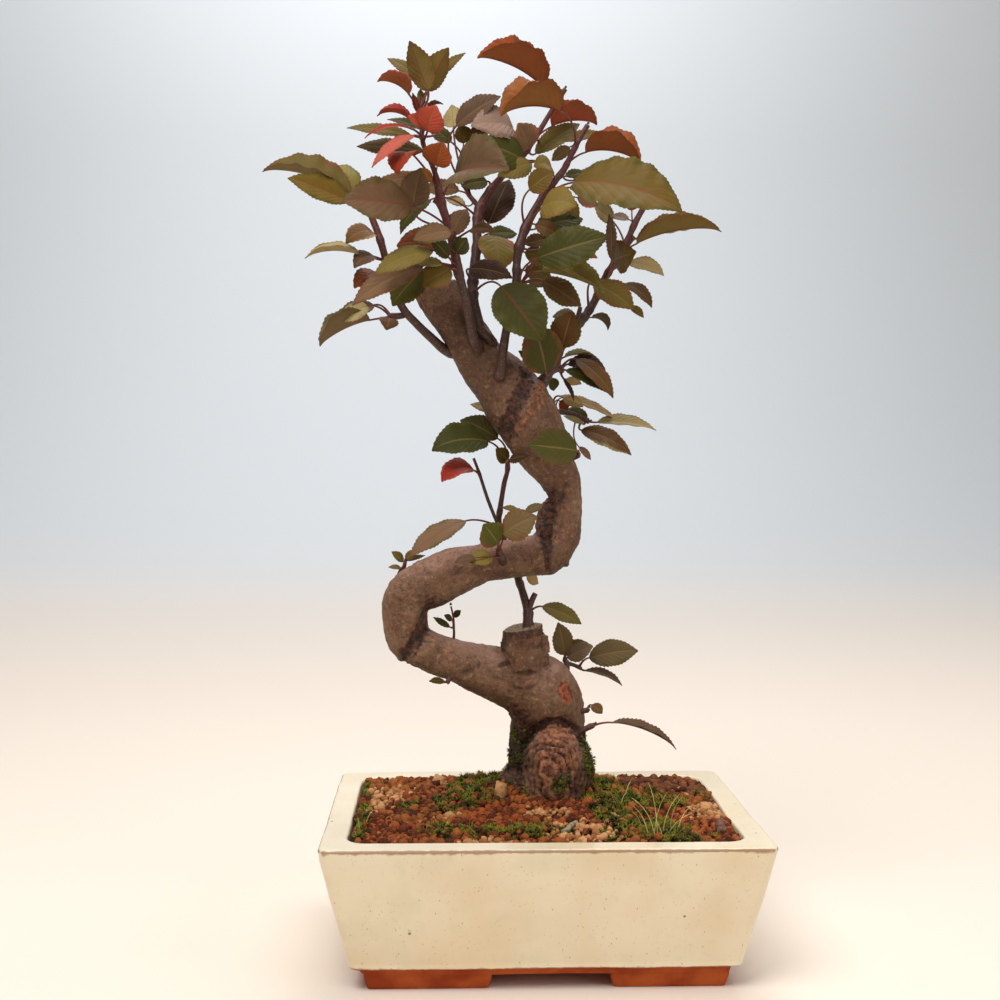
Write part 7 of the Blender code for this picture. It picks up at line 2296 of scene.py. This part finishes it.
@dataclass
class Studio:
    """Pale floor, soft lights and the camera that stands where the photograph was taken."""

    eye: Place = (-0.031, -0.670, 0.2489)
    yaw: float = 2.38
    pitch: float = -2.03
    roll: float = 0.37
    lens: float = 48.07
    floor_size: float = 14.0
    floor_tone: Colour = linear(234, 222, 210)
    back_tone: Colour = linear(214, 219, 223)
    sky_tone: Colour = linear(250, 246, 240)
    sky_strength: float = 0.34
    lights: tuple[tuple[Place, Place, float, float, Colour], ...] = (
        ((-0.45, -0.65, 1.25), (0.0, 0.0, 0.2), 0.8, 14.0, (1.0, 0.97, 0.93)),
        ((0.95, -0.7, 0.6), (0.0, 0.0, 0.2), 0.8, 3.4, (1.0, 0.98, 0.96)),
        ((0.25, 0.3, 1.35), (0.0, 0.0, 0.25), 0.9, 8.5, (1.0, 0.98, 0.96)),
        ((-0.1, 1.9, 2.6), (-0.1, 3.4, 0.9), 1.6, 47.0, (0.98, 0.98, 1.0)),
    )

    def build_floor(self) -> None:
        """Flat floor under the feet, and a backdrop that runs up behind it."""
        half = self.floor_size / 2
        points, faces = [], []
        bend, back = 1.2, 2.2
        profile = [(-half, 0.0), (back, 0.0)]
        for k in range(1, 17):
            angle = math.radians(90 * k / 16)
            profile.append((back + bend * math.sin(angle), bend * (1 - math.cos(angle))))
        profile.append((back + bend, 5.0))
        for y, z in profile:
            points += [(-half, y, z), (half, y, z)]
        for k in range(len(profile) - 1):
            faces.append((2 * k, 2 * k + 1, 2 * k + 3, 2 * k + 2))
        mesh = bpy.data.meshes.new("floor")
        mesh.from_pydata(points, [], faces)
        mesh.shade_smooth()
        paint = Paint("floor_paper")
        grain = paint.noise(300.0, 3.0)
        _, depth, _ = paint.split(paint.place)
        tone = paint.mix(depth.ramp(0.5, 3.0), self.floor_tone, self.back_tone)
        mesh.materials.append(paint.finish(tone, 0.85, grain, 0.05))
        linked("floor", mesh)

    def build_lights(self) -> None:
        """Even sky, three large soft lights and one that lights the backdrop."""
        world = bpy.data.worlds.new("studio")
        bpy.context.scene.world = world
        world.use_nodes = True
        sky = world.node_tree.nodes["Background"]
        sky.inputs["Color"].default_value = (*self.sky_tone, 1.0)
        sky.inputs["Strength"].default_value = self.sky_strength
        for index, (place, aim, size, power, tone) in enumerate(self.lights):
            lamp = bpy.data.lights.new(f"light_{index}", "AREA")
            lamp.shape = "DISK"
            lamp.size = size
            lamp.energy = power
            lamp.color = tone
            made = linked(f"light_{index}", lamp)
            made.location = place
            way = Vector(aim) - Vector(place)
            made.rotation_euler = way.to_track_quat("-Z", "Y").to_euler()
            made.visible_camera = False

    def build_camera(self) -> None:
        """Camera at the eye point, turned and rolled as the photograph shows."""
        yaw, pitch, roll = (math.radians(turn) for turn in (self.yaw, self.pitch, self.roll))
        ahead = Vector((math.sin(yaw) * math.cos(pitch), math.cos(yaw) * math.cos(pitch),
                        math.sin(pitch)))
        right = ahead.cross(Vector((0.0, 0.0, 1.0))).normalized()
        up = right.cross(ahead)
        rolled_right = right * math.cos(roll) + up * math.sin(roll)
        rolled_up = up * math.cos(roll) - right * math.sin(roll)
        lens = bpy.data.cameras.new("camera")
        lens.sensor_width = 36.0
        lens.lens = self.lens
        camera = linked("camera", lens)
        turned = Matrix((rolled_right, rolled_up, -ahead)).transposed()
        camera.matrix_world = Matrix.Translation(self.eye) @ turned.to_4x4()
        bpy.context.scene.camera = camera

    def build(self) -> None:
        """Set up everything round the object."""
        bpy.context.scene.view_settings.view_transform = "Standard"
        self.build_floor()
        self.build_lights()
        self.build_camera()


def dress_screens(net: bpy.types.Material) -> None:
    """Give the drain screens, which keep their CAD shape, a fine plastic finish."""
    for name in ("drain_screen_left", "drain_screen_right"):
        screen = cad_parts[name]
        screen.data.materials.clear()
        screen.data.materials.append(net)


def moss_carrier(trunk: bpy.types.Object) -> bpy.types.Object:
    """Copy of the trunk's skin, never shown, that carries where moss grows on it."""
    mesh = trunk.data.copy()
    moss = rows_of(mesh.attributes["marks"].data, "vector")[:, 1]
    points = rows_of(mesh.vertices, "co") / MM - np.array(SHIFT)
    spots = bumps(points, 0.16)
    above = np.clip((points[:, 2] - 74.0) / 4.0, 0.0, 1.0)
    share = np.clip((moss + 0.9 * spots - 0.45) * 2.2, 0.0, 1.0) * above * (moss > 0.2)
    carry(mesh, "moss", share)
    return linked("trunk_moss_ground", mesh)


def build_ground(trunk: bpy.types.Object) -> None:
    """Build the soil, its grains, the moss and what lies on it."""
    soil = Soil()
    body = soil.build(PlainFinish("soil_body", linear(34, 18, 12), linear(66, 36, 22), 0.95,
                                  700.0, 0.4).material())
    litter = Litter(surface_of(body))
    ground = soil.carrier()
    count = 6
    draw = random.Random(4)
    rounded = family("rounded_grain", [lump(draw, 32, 0.08) for _ in range(count)])
    angular = family("angular_grain", [lump(draw, 28, 0.26) for _ in range(count)])
    tufts = family("moss_tuft", [tuft(draw) for _ in range(count)])
    red = GrainFinish("akadama", linear(68, 28, 13), linear(162, 80, 38), moss_share=0.2)
    tan = GrainFinish("tan_clay", linear(150, 94, 52), linear(204, 152, 104),
                      dust=linear(216, 172, 126), moss_share=0.15)
    dark = GrainFinish("dark_clay", linear(72, 38, 22), linear(128, 76, 46),
                       dust=linear(142, 92, 60))
    strewn(ground, soil.reds, angular, red.material(), "soil")
    strewn(ground, soil.reds_large, angular, red.material(), "soil")
    tan_clay = tan.material()
    strewn(ground, soil.tans, angular, tan_clay, "soil")
    strewn(ground, soil.strays, angular, tan_clay, "soil")
    strewn(ground, soil.pellets, rounded, dark.material(), "soil")
    green = MossFinish().material()
    strewn(ground, soil.tufts, tufts, green, "soil")
    bpy.data.objects.remove(ground)
    bark_ground = moss_carrier(trunk)
    strewn(bark_ground, Scatter("trunk_moss", "moss", 0.95, 1.3, 2.6, 15, True), tufts, green,
           "trunk")
    bpy.data.objects.remove(bark_ground)
    litter.build_lumps(tan_clay)
    litter.build_grass(PlainFinish("grass", linear(150, 156, 74), linear(214, 200, 130), 0.6,
                                   90.0, 0.05).material())
    dead = PlainFinish("dead_bark", linear(70, 44, 36), linear(132, 92, 74), 0.9, 420.0, 0.4)
    litter.build_loose("bark_chip", BARK_CHIP, 0.5, dead.material())
    grey = PlainFinish("dead_twig", linear(120, 108, 84), linear(176, 166, 134), 0.85, 420.0, 0.3)
    litter.build_loose("dead_twig", DEAD_TWIG, 0.2, grey.material())


def main() -> None:
    """Build the object and its studio."""
    logging.basicConfig(level=logging.INFO, format="%(message)s")
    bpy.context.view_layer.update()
    trunk = Trunk().build(BarkFinish().material())
    foliage = Foliage(surface_of(trunk))
    leaf, twig = LeafFinish(), TwigFinish()
    finishes = [leaf.upper(), leaf.under(), twig.material()]
    for shoot in SHOOTS:
        foliage.grow(shoot, finishes)
    Pot().build(GlazeFinish().material(), ClayFinish().material())
    build_ground(trunk)
    dress_screens(PlainFinish("black_net", linear(30, 30, 30), linear(44, 44, 44), 0.6).material())
    Studio().build()


if __name__ == "__main__":
    main()
